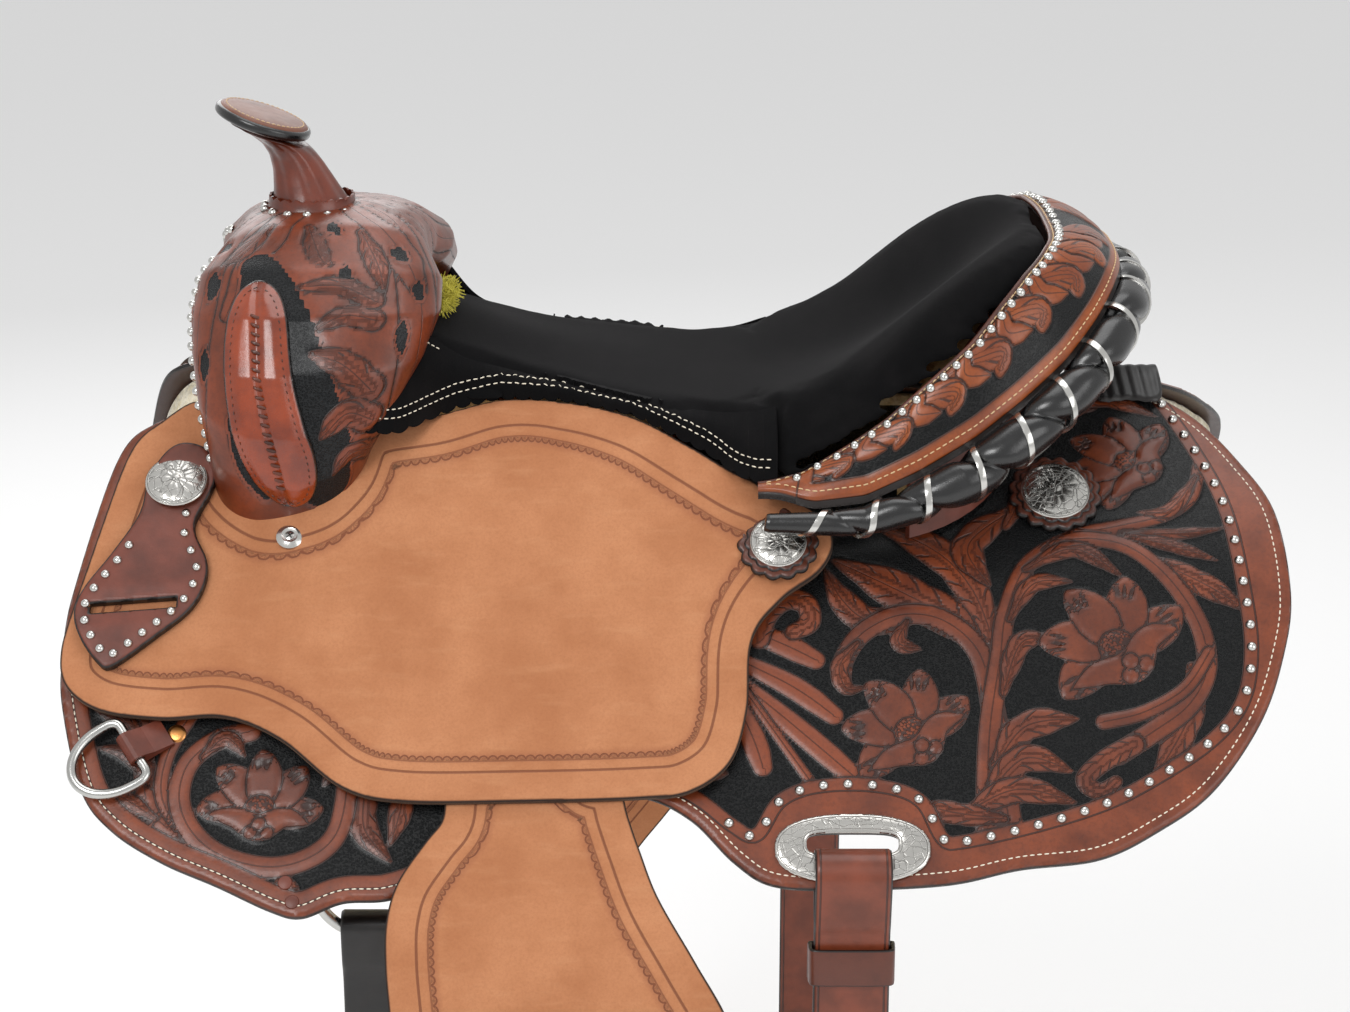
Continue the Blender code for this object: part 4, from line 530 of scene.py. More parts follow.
def along_path(points, spacing, surface, d, side, closed=False, start=0.0):
    """Frames at even steps along a path on a surface; local x follows the path."""
    line = smooth_curve(points, 0.001, closed)
    if closed:
        line = np.concatenate([line, line[:1]])
    length = run_along(line)
    count = max(1, int((length[-1] - start) / spacing))
    at = start + np.arange(count) * spacing
    x, s = (np.interp(at, length, line[:, k]) for k in (0, 1))
    x2, s2 = (np.interp(at + 0.0005, length, line[:, k]) for k in (0, 1))
    height = d(x, s) if callable(d) else d + 0 * x
    here, ahead, above = surface(x, s, height), surface(x2, s2, height), surface(x, s, height + 0.0005)
    for block in (here, ahead, above):
        block[:, 1] *= side
    return frames_of(here, ahead - here, above - here)


def frames_of(points, along, normal):
    """Rows of a rotation and a point each, from where things stand, the way they point and their upright."""
    normal = unit(normal)
    along = along - normal * (along * normal).sum(-1)[:, None]
    along = unit(along)
    across = np.cross(normal, along)
    return [(np.stack([a, b, c]), p) for a, b, c, p in zip(along, across, normal, points)]


def inset(loop, by):
    """An outline moved inwards by a distance, with its folded-over corners dropped."""
    tangent = np.roll(loop, -1, 0) - np.roll(loop, 1, 0)
    tangent = unit(tangent)
    turn = np.sign((loop[:, 0] * np.roll(loop[:, 1], -1) - loop[:, 1] * np.roll(loop[:, 0], -1)).sum())
    moved = loop + np.stack([-tangent[:, 1], tangent[:, 0]], -1) * turn * by
    depth, _, _ = rim_field(moved, [loop])
    return moved[depth > by * 0.97]


# ---- tooling ----
class Tooling:
    """Signed distances in mm for a pattern of leaves, stems and flowers; later motifs lie on earlier ones."""

    def __init__(self, points):
        """Starts as bare dyed ground at every point."""
        self.p = points * 1000
        count = len(points)
        self.ground = np.full(count, -9.0)
        self.edge = np.full(count, 9.0)
        self.rib = np.full(count, 20.0)
        self.vein = np.full(count, -1.0)
        self.seed = np.full(count, -9.0)
        self.tone = np.zeros(count)
        self.band = np.full(count, -9.0)
        self.height = np.zeros(count)

    def stamp(self, where, value, rise, rib=None, vein=None, tone=0.0, seed=None):
        """Lays one motif, given by its signed distance, over what is there."""
        inside = value > 0
        self.ground[where] = np.maximum(self.ground[where], value)
        old = self.edge[where]
        self.edge[where] = np.where(inside | (np.abs(value) < np.abs(old)), value, old)
        who = where[inside]
        self.rib[who] = 20.0 if rib is None else rib[inside]
        self.vein[who] = -1.0 if vein is None else vein[inside]
        self.seed[who] = -9.0 if seed is None else value[inside]
        self.tone[who] = tone
        self.height[who] = rise * (1 - np.exp(-value[inside] / 1.3))

    def stroke(self, path, widths, rise=0.9, rib=True, lobes=0.0, lobe_count=4, veins=0.0, tone=0.0):
        """A leaf or stem: half widths in mm along a smooth path; lobes scallop its edge, veins rake across it."""
        line = smooth_curve(np.array(path) * 1000, 2.0, closed=False)
        share = np.linspace(0, 1, len(line))
        wide = np.interp(share, np.linspace(0, 1, len(widths)), widths)
        reach = max(widths) + 5
        low, high = line.min(0) - reach, line.max(0) + reach
        where = np.nonzero(((self.p > low) & (self.p < high)).all(1))[0]
        if not len(where):
            return
        p = self.p[where][:, None]
        a, b = line[:-1], line[1:]
        seg = b - a
        t = np.clip(((p - a) * seg).sum(-1) / (seg ** 2).sum(-1), 0, 1)
        offset = p - a - seg * t[..., None]
        gap = np.sqrt((offset ** 2).sum(-1))
        width = wide[:-1] + (wide[1:] - wide[:-1]) * t
        k = (gap - width).argmin(1)
        row = np.arange(len(where))
        gap, width, t = gap[row, k], width[row, k], t[row, k]
        at = (k + t) / len(a)
        turn = np.sign(seg[k, 0] * offset[row, k, 1] - seg[k, 1] * offset[row, k, 0])
        if lobes:
            width = width * (1 + lobes * np.abs(np.cos(math.pi * lobe_count * at)) - lobes * 0.4)
        side = turn * gap
        vein = at * veins * len(line) * 2 / 7 - gap / np.maximum(width, 1) * 1.1 + 8 if veins else None
        if vein is not None:
            vein = np.where(gap > 0.3 * width, vein, -1)
        self.stamp(where, width - gap, rise, side if rib else None, vein, tone)

    def all_leather(self, height):
        """Starts from plain leather with no dyed ground."""
        self.ground[:] = 9.0
        self.height[:] = height

    def hollow(self, path, widths):
        """Dyed, matted ground sunk along a path."""
        before = self.height.copy()
        tone = self.tone.copy()
        self.stroke(path, widths, rise=0.0, rib=False)
        inside = (self.edge > 0) & (self.height == 0.0) & ((before != 0.0) | (self.ground > 0))
        self.ground[inside] = -self.edge[inside]
        self.edge[inside] = 9.0
        self.tone[:] = np.where(inside, 0.0, tone)

    def disc(self, at, radius, rise=1.0, seed=True, tone=0.1):
        """A round boss, seeded or smooth."""
        gap = np.linalg.norm(self.p - np.array(at) * 1000, axis=1)
        where = np.nonzero(gap < radius + 5)[0]
        self.stamp(where, radius - gap[where], rise, tone=tone, seed=True if seed else None)

    def flower(self, at, size, aim, spread=190.0, petals=5):
        """A wild rose seen from the side: a fan of petals round a seeded centre, and a curled lip below it."""
        at = np.array(at)
        order = sorted(range(petals), key=lambda k: -abs(k - (petals - 1) / 2))
        for k in order:
            angle = math.radians(aim + spread * (k / (petals - 1) - 0.5))
            way = np.array([math.cos(angle), math.sin(angle)])
            tip = at + way * size
            bend = np.array([-way[1], way[0]]) * size * 0.05
            w = size * 1000
            self.stroke([at + way * size * 0.15, at + way * size * 0.55 + bend, tip - way * size * 0.08],
                        [0.16 * w, 0.25 * w, 0.29 * w, 0.27 * w, 0.20 * w, 0.08 * w], rise=1.3, rib=False, veins=0.0,
                        tone=0.25)
            for shift in (-0.11, 0.0, 0.11):
                across = np.array([-way[1], way[0]]) * size * shift
                self.stroke([tip - way * size * 0.34 + across * 0.7, tip - way * size * 0.14 + across],
                            [0.25, 0.9, 0.25], rise=0.4, rib=False, tone=-0.5)
        self.disc(at, size * 1000 * 0.24, rise=1.6)
        down = math.radians(aim + 180)
        way = np.array([math.cos(down), math.sin(down)])
        across = np.array([-way[1], way[0]])
        w = size * 1000
        base = at + way * size * 0.14
        self.stroke([base - across * size * 0.72 + way * size * 0.10, base - across * size * 0.38,
                     base + way * size * 0.16, base + across * size * 0.38, base + across * size * 0.74
                     - way * size * 0.06],
                    [0.05 * w, 0.15 * w, 0.19 * w, 0.23 * w, 0.19 * w, 0.15 * w, 0.05 * w], rise=1.7, rib=False,
                    tone=0.2)
        heart = base + way * size * 0.20
        for shift, back in ((-0.13, 0.05), (0.13, 0.05), (0.0, -0.10)):
            self.disc(heart + across * size * shift + way * size * back, 0.11 * w, rise=1.9, seed=False, tone=0.35)

    def leaf(self, path, width, tone=0.0, veins=0.5, rib=True):
        """A pointed leaf, widest past its middle."""
        profile = np.array([0.35, 0.55, 0.80, 0.98, 1.0, 0.86, 0.55, 0.12]) * width
        self.stroke(path, profile, rise=1.1, veins=veins, tone=tone, lobes=0.14, lobe_count=3, rib=rib)

    def lobed(self, path, width, tone=0.0):
        """A long leaf with a round end."""
        profile = np.array([0.45, 0.6, 0.75, 0.9, 1.0, 1.0, 0.8]) * width
        self.stroke(path, profile, rise=1.1, tone=tone, rib=True)

    def stem(self, path, start, end, tone=0.1):
        """A stem whose half width runs from start to end."""
        self.stroke(path, np.linspace(start, end, 6), rise=1.0, rib=True, tone=tone)

    def border(self, inner):
        """Plain leather outside the tooled field; inner is the distance inside the field, in mm."""
        value = -inner
        inside = value > 0
        self.ground = np.maximum(self.ground, value)
        self.edge = np.where(inside | (np.abs(value) < np.abs(self.edge)), value, self.edge)
        for key, empty in (("rib", 20.0), ("vein", -1.0), ("seed", -9.0), ("tone", 0.0)):
            setattr(self, key, np.where(inside, empty, getattr(self, key)))
        self.band = value
        self.height = np.where(inside, 0.7 * (1 - np.exp(-value / 1.2)), self.height)

    def attributes(self):
        """The distances the leather's materials read."""
        clip = {"ground": self.ground, "edge": self.edge, "rib": self.rib, "vein": self.vein, "seed": self.seed,
                "tone": self.tone, "band": self.band}
        return {**{k: np.clip(v, -9, 30) for k, v in clip.items()}, "close": np.minimum(np.abs(self.edge), 9)}


# ---- materials ----
def colour(text):
    """Linear colour of a hex sRGB value."""
    raw = [int(text[k:k + 2], 16) / 255 for k in (1, 3, 5)]
    return (*[c / 12.92 if c <= 0.04045 else ((c + 0.055) / 1.055) ** 2.4 for c in raw], 1.0)


class Look:
    """A node material written as arithmetic: every method returns a socket."""

    def __init__(self, name, rough=0.5, **values):
        """A Principled material, with plain values set by their input names."""
        self.material = bpy.data.materials.new(name)
        self.material.use_nodes = True
        self.tree = self.material.node_tree
        self.shader = self.tree.nodes["Principled BSDF"]
        self.put("Roughness", rough)
        for key, value in values.items():
            self.put(key.replace("_", " "), value)

    def put(self, key, value):
        """Sets one of the shader's inputs."""
        self.wire(value, self.shader.inputs[key])

    def wire(self, value, socket):
        """Links a socket, or sets a plain value."""
        if isinstance(value, bpy.types.NodeSocket):
            self.tree.links.new(value, socket)
        else:
            socket.default_value = value

    def node(self, kind, inputs, output=0, **settings):
        """Adds a node with its settings and inputs, and returns one of its outputs."""
        node = self.tree.nodes.new(kind)
        for key, value in settings.items():
            setattr(node, key, value)
        for key, value in inputs.items():
            self.wire(value, node.inputs[key])
        return node.outputs[output]

    def op(self, kind, a, b=0.0, c=0.0):
        """One step of arithmetic."""
        return self.node("ShaderNodeMath", {0: a, 1: b, 2: c}, operation=kind)

    def value(self, name):
        """A vertex attribute."""
        return self.node("ShaderNodeAttribute", {}, "Fac", attribute_name=name)

    def step(self, x, low, high, start=0.0, end=1.0):
        """Goes smoothly from start to end as x goes from low to high."""
        return self.node("ShaderNodeMapRange", {0: x, 1: low, 2: high, 3: start, 4: end},
                         interpolation_type="SMOOTHSTEP")

    def line(self, x, at, core, fade):
        """1 where x is within core of a value, falling to 0 at fade from it."""
        return self.step(self.op("ABSOLUTE", self.op("SUBTRACT", x, at)), core, fade, 1, 0)

    def mix(self, share, a, b):
        """Two colours mixed by a share."""
        return self.node("ShaderNodeMix", {0: share, 6: a, 7: b}, 2, data_type="RGBA", blend_type="MIX")

    def where(self, stretch=None):
        """Object coordinates, stretched if asked."""
        at = self.node("ShaderNodeTexCoord", {}, "Object")
        return self.node("ShaderNodeMapping", {"Vector": at, "Scale": stretch}) if stretch else at

    def noise(self, size, detail=3.0, rough=0.55, stretch=None):
        """Noise whose features are about size millimetres."""
        return self.node("ShaderNodeTexNoise", {"Vector": self.where(stretch), "Scale": 1000 / size,
                                                "Detail": detail, "Roughness": rough})

    def cells(self, size, output="Distance", feature="F1", stretch=None):
        """Cells about size millimetres across."""
        return self.node("ShaderNodeTexVoronoi", {"Vector": self.where(stretch), "Scale": 1000 / size}, output,
                         feature=feature)

    def bump(self, *layers):
        """Bumps stacked one on another, each (height, depth in mm)."""
        normal = None
        for height, depth in layers:
            inputs = {"Height": height, "Distance": depth / 1000, "Strength": 1.0}
            if normal is not None:
                inputs["Normal"] = normal
            normal = self.node("ShaderNodeBump", inputs)
        self.put("Normal", normal)
        return normal


def tooled_look(name, light, dark, deep, shine=0.36, ground="#040506"):
    """Carved and stained leather, finished with a gloss coat; the ground between the leaves is dyed and matted."""
    m = Look(name, 0.4)
    edge, near, ground_at = m.value("edge"), m.value("close"), m.value("ground")
    line = m.op("MULTIPLY", m.step(m.op("ABSOLUTE", edge), 0.25, 0.75, 1, 0), m.step(near, 1.0, 1.6, 1, 0))
    rib = m.step(m.op("ABSOLUTE", m.value("rib")), 0.18, 0.50, 1, 0)
    vein_at = m.value("vein")
    wave = m.op("ABSOLUTE", m.op("SUBTRACT", m.op("FRACT", vein_at), 0.5))
    vein = m.op("MULTIPLY", m.step(wave, 0.36, 0.46), m.step(vein_at, 0.3, 0.8))
    seed_in = m.step(m.value("seed"), 0.1, 0.5)
    seed = m.op("MULTIPLY", m.step(m.cells(1.9), 0.42, 0.62), seed_in)
    band = m.value("band")
    line_one = m.line(band, 8.4, 0.3, 0.8)
    black = m.step(ground_at, -0.35, 0.05, 1, 0)
    cut = m.op("MAXIMUM", line, m.op("MAXIMUM", m.op("MULTIPLY", rib, 0.75), m.op("MAXIMUM", vein, line_one)))
    cut = m.op("MAXIMUM", cut, seed)
    cloud = m.noise(26, 4)
    tone = m.op("ADD", m.op("MULTIPLY", m.value("tone"), 0.45), cloud)
    base = m.mix(m.step(tone, 0.28, 0.75), colour(light), colour(dark))
    base = m.mix(m.op("MULTIPLY", m.step(m.noise(2.2, 5), 0.42, 0.75), 0.25), base, colour(deep))
    # painted shade: the leather is darkened within 2.6 mm of each motif's edge, as the relief's own shading would
    # darken it
    painted_edge_shade = m.step(near, 0.0, 2.6, 0.55, 0.0)
    base = m.mix(painted_edge_shade, base, colour(deep))
    base = m.mix(m.op("MULTIPLY", cut, 0.85), base, m.mix(0.35, colour(deep), colour("#1a0a05")))
    matted = m.cells(1.15)
    dye = m.mix(m.step(matted, 0.1, 0.6), colour("#101315"), colour(ground))
    base = m.mix(black, base, dye)
    base = m.mix(m.step(m.value("rim"), 0.2, 1.2, 1, 0), base, colour("#150a06"))
    m.put("Base Color", base)
    gloss = m.op("ADD", m.op("MULTIPLY", m.noise(9, 3), 0.22), shine - 0.08)
    m.put("Roughness", m.op("ADD", gloss, m.op("MULTIPLY", black, 0.06)))
    m.put("Coat Weight", 0.22)
    m.put("Coat Roughness", 0.2)
    m.put("Specular IOR Level", m.op("SUBTRACT", 0.5, m.op("MULTIPLY", black, 0.28)))
    m.put("IOR", 1.48)
    pebble = m.op("MULTIPLY", m.step(matted, 0.0, 0.65), black)
    m.bump((m.noise(0.5, 2), 0.03), (m.cells(0.9, feature="F1"), 0.025), (pebble, 0.8),
           (m.op("SUBTRACT", 1.0, cut), 0.45), (m.op("SUBTRACT", 1.0, black), 0.5))
    return m.material


def rough_out_look():
    """Flesh-side leather: matt, napped, with two tooled border lines and a row of shell stamps burnished darker."""
    m = Look("rough_out_leather", 0.88)
    rim, along = m.value("rim"), m.value("along")
    line_a = m.line(rim, 18.0, 0.35, 1.0)
    pitch = m.op("FRACT", m.op("DIVIDE", along, 5.4))
    x = m.op("MULTIPLY", m.op("SUBTRACT", pitch, 0.5), 5.4)
    y = m.op("SUBTRACT", rim, 25.2)
    far = m.op("SQRT", m.op("ADD", m.op("MULTIPLY", x, x), m.op("MULTIPLY", y, y)))
    shell = m.op("MULTIPLY", m.step(far, 2.2, 2.9, 1, 0), m.step(y, -0.3, 0.3))
    ring = m.line(far, 2.5, 0.2, 0.6)
    ring = m.op("MULTIPLY", ring, m.step(y, -0.3, 0.3))
    rays = m.step(m.op("SINE", m.op("MULTIPLY", m.op("ARCTAN2", y, x), 12.0)), 0.2, 0.8)
    shell_cut = m.op("MAXIMUM", ring, m.op("MULTIPLY", m.op("MULTIPLY", shell, rays), 0.6))
    line_b = m.line(rim, 24.6, 0.2, 0.6)
    cut = m.op("MAXIMUM", m.op("MAXIMUM", line_a, m.op("MULTIPLY", line_b, 0.7)), shell_cut)
    cloud = m.noise(60, 5, 0.6)
    base = m.mix(m.step(cloud, 0.3, 0.72), colour("#bd8058"), colour("#a96c45"))
    base = m.mix(m.op("MULTIPLY", m.step(m.noise(1.6, 5, 0.7), 0.35, 0.8), 0.35), base, colour("#8f5635"))
    streak = m.noise(7, 4, 0.6, (0.25, 1.0, 1.0))
    base = m.mix(m.op("MULTIPLY", m.step(streak, 0.5, 0.8), 0.22), base, colour("#cb966d"))
    burnish = m.op("MULTIPLY", m.line(rim, 27.0, 0.5, 5.0), 0.42)
    base = m.mix(burnish, base, colour("#8f5236"))
    base = m.mix(m.op("MULTIPLY", cut, 0.75), base, colour("#6b3520"))
    base = m.mix(m.step(rim, 0.5, 1.7, 1, 0), base, colour("#1c0f0a"))
    m.put("Base Color", base)
    m.put("Sheen Weight", 0.25)
    m.put("Sheen Roughness", 0.5)
    m.put("Sheen Tint", colour("#e8b48c"))
    m.bump((m.noise(0.45, 3, 0.7), 0.16), (m.noise(1.5, 3), 0.10), (m.op("SUBTRACT", 1.0, cut), 0.5))
    return m.material


def smooth_look(name, light, dark, shine=0.33, coat=0.4, stitched=None, edge="#120a07"):
    """Plain, oiled and burnished leather with pores and handling marks."""
    m = Look(name, 0.4)
    base = m.mix(m.step(m.noise(22, 4), 0.32, 0.72), colour(light), colour(dark))
    base = m.mix(m.op("MULTIPLY", m.step(m.noise(1.4, 4), 0.5, 0.8), 0.3), base, colour(dark))
    rim = m.value("rim")
    cut = None
    if stitched:
        cut = m.line(rim, stitched, 0.25, 0.8)
        base = m.mix(m.op("MULTIPLY", cut, 0.7), base, colour(edge))
    if edge != light:
        base = m.mix(m.op("MULTIPLY", m.step(rim, 0.5, 1.5, 1, 0), m.value("edged")), base, colour(edge))
    m.put("Base Color", base)
    m.put("Roughness", m.op("ADD", m.op("MULTIPLY", m.noise(6, 4), 0.25), shine - 0.1))
    m.put("Coat Weight", coat)
    m.put("Coat Roughness", 0.22)
    layers = [(m.cells(0.8), 0.03), (m.noise(0.35, 2), 0.02), (m.noise(5, 3), 0.12)]
    if cut is not None:
        layers.append((m.op("SUBTRACT", 1.0, cut), 0.4))
    m.bump(*layers)
    return m.material


def suede_look():
    """Black suede: a short nap that turns lighter where it has been brushed."""
    m = Look("black_suede", 0.95)
    nap = m.noise(34, 5, 0.6, (1.0, 0.6, 1.0))
    base = m.mix(m.step(nap, 0.40, 0.75), colour("#040405"), colour("#0c0b0c"))
    base = m.mix(m.op("MULTIPLY", m.step(m.noise(0.8, 4), 0.5, 0.8), 0.3), base, colour("#141213"))
    m.put("Base Color", base)
    m.put("Specular IOR Level", 0.15)
    m.put("Sheen Weight", 0.05)
    m.put("Sheen Roughness", 0.55)
    m.put("Sheen Tint", colour("#8a8488"))
    m.bump((m.noise(0.40, 3, 0.7), 0.14), (m.noise(2.0, 3), 0.12))
    return m.material


def metal_look(name, tint, rough, engraved=0.0):
    """Polished metal; engraved silver has blackened scrollwork cut into it."""
    m = Look(name, rough, Metallic=1.0)
    base = m.mix(m.op("MULTIPLY", m.noise(12, 3), 0.4), colour(tint), colour("#8d8b86"))
    layers = [(m.noise(0.9, 3), 0.01), (m.noise(0.25, 2, 0.5, (1, 0.08, 1)), 0.01)]
    if engraved:
        cell = m.cells(engraved, feature="DISTANCE_TO_EDGE")
        curl = m.node("ShaderNodeTexWave", {"Vector": m.where(), "Scale": 1000 / engraved / 5, "Distortion": 9.0,
                                            "Detail": 2.0, "Detail Scale": 1.2}, "Fac", wave_type="RINGS")
        scroll = m.line(curl, 0.5, 0.02, 0.10)
        cut = m.op("MAXIMUM", m.step(cell, 0.015, 0.05, 0.8, 0), scroll)
        cut = m.op("MULTIPLY", cut, m.step(m.value("rim"), 2.2, 3.0))
        groove = m.line(m.value("rim"), 1.9, 0.15, 0.4)
        cut = m.op("MAXIMUM", cut, groove)
        base = m.mix(m.op("MULTIPLY", cut, 0.65), base, colour("#2c2a27"))
        layers.append((m.op("SUBTRACT", 1.0, cut), 0.14))
        m.put("Roughness", m.op("ADD", m.op("MULTIPLY", cut, 0.25), rough))
    m.put("Base Color", base)
    m.bump(*layers)
    return m.material


def fleece_look():
    """Wool fleece: cream, tufted, with no shine."""
    m = Look("wool_fleece", 0.95)
    base = m.mix(m.step(m.noise(9, 5), 0.3, 0.75), colour("#efe6cf"), colour("#c9b98f"))
    m.put("Base Color", base)
    m.put("Sheen Weight", 0.4)
    m.bump((m.noise(1.6, 4, 0.7), 0.9), (m.cells(4.5), 1.6))
    return m.material


def thread_look(name, tint):
    """Waxed thread or wool, twisted from finer strands."""
    m = Look(name, 0.75)
    base = m.mix(m.noise(1.2, 3), colour(tint), m.mix(0.25, colour(tint), colour("#6b5c46")))
    m.put("Base Color", base)
    m.put("Sheen Weight", 0.1)
    m.bump((m.noise(0.35, 2, 0.5, (3.0, 1.0, 1.0)), 0.08))
    return m.material


def wood_look():
    """Wood covered in rawhide: pale, with its grain along it."""
    m = Look("rawhide_covered_wood", 0.5)
    grain = m.noise(3.0, 5, 0.6, (0.15, 1.0, 1.0))
    m.put("Base Color", m.mix(m.step(grain, 0.3, 0.7), colour("#c9a878"), colour("#a37f50")))
    m.bump((grain, 0.2))
    return m.material


TOOLED = tooled_look("tooled_saddle_leather", "#7f3a1a", "#5c250c", "#260c04")
ORANGE_TOOLED = tooled_look("tooled_orange_leather", "#96480f", "#77340e", "#2f1104", 0.32)
FORK_TOOLED = tooled_look("tooled_fork_leather", "#7d3618", "#5a250e", "#240c04", 0.32, "#0f1113")
ROUGH = rough_out_look()
KEEPER_LEATHER = smooth_look("keeper_leather", "#6f3322", "#542314", 0.45, 0.12)
NECK_LEATHER = smooth_look("horn_leather", "#6f2a10", "#451808", 0.32, 0.35)
CAP_LEATHER = smooth_look("horn_cap_leather", "#744632", "#5b3323", 0.45, 0.12)
PATCH_LEATHER = smooth_look("swell_patch_leather", "#8f3508", "#6b2405", 0.24, 0.55)
STRAP_LEATHER = smooth_look("strap_leather", "#7a3820", "#5e2813", 0.38, 0.2, 3.0)
ROSETTE_LEATHER = smooth_look("rosette_leather", "#5e2a15", "#32140a", 0.38, 0.2)
STIRRUP_LEATHER = smooth_look("stirrup_leather_wrap", "#b27a58", "#96603f", 0.55, 0.05)
BLACK_LEATHER = smooth_look("black_leather", "#14100f", "#080606", 0.38, 0.2)
BLACK_GLOSS = smooth_look("black_binding_leather", "#0a0a0b", "#040405", 0.24, 0.5)
SUEDE = suede_look()
SILVER = metal_look("silver", "#d9d8d4", 0.20)
ENGRAVED = metal_look("engraved_silver", "#d6d4cf", 0.22, 6.0)
STEEL = metal_look("stainless_steel", "#c9c9c6", 0.22)
BRASS = metal_look("brass", "#d98d33", 0.28)
FLEECE_WOOL = fleece_look()
THREAD = thread_look("waxed_thread", "#efe6d2")
YELLOW_WOOL = thread_look("yellow_fleece_tuft", "#d9cf4a")
BLACK_WOOL = thread_look("black_wool_tuft", "#0c0b0b")
DARK_THREAD = thread_look("tan_thread", "#d8b98c")
WOOD = wood_look()


# ---- skirts ----
def rear_flowers(t):
    """The rear skirt's scrolls: a rising stem that rings the large rose, a second scroll ahead of it, and a fan."""
    for path in ([(0.020, 0.172), (0.062, 0.190), (0.083, 0.201)], [(0.015, 0.190), (0.066, 0.216), (0.093, 0.236)],
                 [(0.015, 0.196), (0.060, 0.234), (0.106, 0.276)], [(0.030, 0.215), (0.045, 0.249), (0.051, 0.268)]):
        t.lobed(path, 7.5, tone=-0.6)
    t.stem([(0.020, 0.190), (0.042, 0.222), (0.078, 0.276)], 2.5, 3.5, tone=-0.7)
    t.stroke([(0.050, 0.188), (0.055, 0.172), (0.066, 0.162), (0.078, 0.165), (0.080, 0.177), (0.070, 0.183)],
             [6, 6.5, 7, 7, 6.5, 5], veins=0.9, rib=False, tone=-0.3)
    t.leaf([(0.022, 0.262), (0.018, 0.270), (0.031, 0.272)], 5)
    t.leaf([(0.190, 0.200), (0.165, 0.176), (0.140, 0.160), (0.095, 0.136)], 13, tone=0.1)
    t.leaf([(0.150, 0.172), (0.117, 0.176), (0.100, 0.163), (0.090, 0.142)], 9, tone=0.2)
    t.leaf([(0.190, 0.195), (0.178, 0.157), (0.157, 0.130), (0.118, 0.108)], 11, tone=-0.1)
    t.leaf([(0.205, 0.100), (0.182, 0.118), (0.176, 0.132), (0.188, 0.153)], 10, tone=0.25)
    t.leaf([(0.160, 0.095), (0.140, 0.105), (0.120, 0.095)], 9)
    t.stem([(0.196, 0.330), (0.190, 0.275), (0.187, 0.235), (0.180, 0.197), (0.160, 0.176), (0.135, 0.172),
            (0.112, 0.183), (0.100, 0.200), (0.098, 0.214)], 8, 6.0)
    t.leaf([(0.108, 0.190), (0.097, 0.205), (0.101, 0.219), (0.112, 0.218)], 5.5)
    t.leaf([(0.138, 0.176), (0.132, 0.190), (0.146, 0.194)], 5, tone=0.2)
    t.flower((0.138, 0.247), 0.041, -128)
    t.stem([(0.180, 0.330), (0.181, 0.290), (0.184, 0.245), (0.192, 0.200), (0.197, 0.171), (0.212, 0.138),
            (0.241, 0.119), (0.267, 0.112), (0.296, 0.104), (0.314, 0.090), (0.321, 0.066)], 7.5, 4.0)
    t.leaf([(0.270, 0.116), (0.303, 0.117), (0.332, 0.113)], 4.0)
    t.leaf([(0.272, 0.118), (0.303, 0.127), (0.326, 0.136)], 4.6, tone=0.2)
    t.leaf([(0.280, 0.132), (0.316, 0.152), (0.340, 0.169)], 8.0)
    t.leaf([(0.305, 0.205), (0.302, 0.235), (0.278, 0.276)], 8.5, tone=0.1)
    t.stem([(0.225, 0.130), (0.241, 0.121), (0.267, 0.124), (0.286, 0.137), (0.303, 0.160), (0.313, 0.185),
            (0.313, 0.209), (0.301, 0.230), (0.280, 0.246), (0.258, 0.260)], 5.0, 7.0)
    t.stroke([(0.268, 0.254), (0.250, 0.264), (0.238, 0.276), (0.246, 0.283), (0.256, 0.277)],
             [6.5, 6.5, 6.0, 5.5, 4.0], veins=0.9, rib=False, tone=0.2)
    t.stem([(0.316, 0.196), (0.300, 0.219), (0.275, 0.234), (0.251, 0.240)], 4.0, 5.0)
    t.leaf([(0.199, 0.175), (0.214, 0.152), (0.238, 0.150)], 5.5)
    t.leaf([(0.210, 0.142), (0.240, 0.128), (0.268, 0.147)], 6.0, tone=0.2)
    t.leaf([(0.193, 0.222), (0.205, 0.190), (0.226, 0.188)], 6.5, tone=0.1)
    t.leaf([(0.186, 0.268), (0.205, 0.243), (0.236, 0.238)], 9.0)
    t.leaf([(0.178, 0.290), (0.203, 0.263), (0.231, 0.271)], 8.5, tone=0.15)
    t.leaf([(0.165, 0.298), (0.198, 0.282), (0.232, 0.290)], 8.0)
    t.leaf([(0.190, 0.300), (0.160, 0.296), (0.140, 0.290)], 7.0)
    t.flower((0.262, 0.193), 0.047, -128)
    t.leaf([(0.318, 0.075), (0.300, 0.100), (0.280, 0.101)], 5.0)
    t.leaf([(0.240, 0.016), (0.270, 0.010), (0.300, 0.024)], 6.0)
    t.leaf([(0.216, 0.040), (0.230, 0.022), (0.262, 0.018)], 5.0)
    t.flower((0.279, 0.063), 0.040, -150)
    t.leaf([(0.200, 0.112), (0.214, 0.085), (0.222, 0.060)], 7)
    t.leaf([(0.185, 0.090), (0.176, 0.060), (0.190, 0.035)], 8)


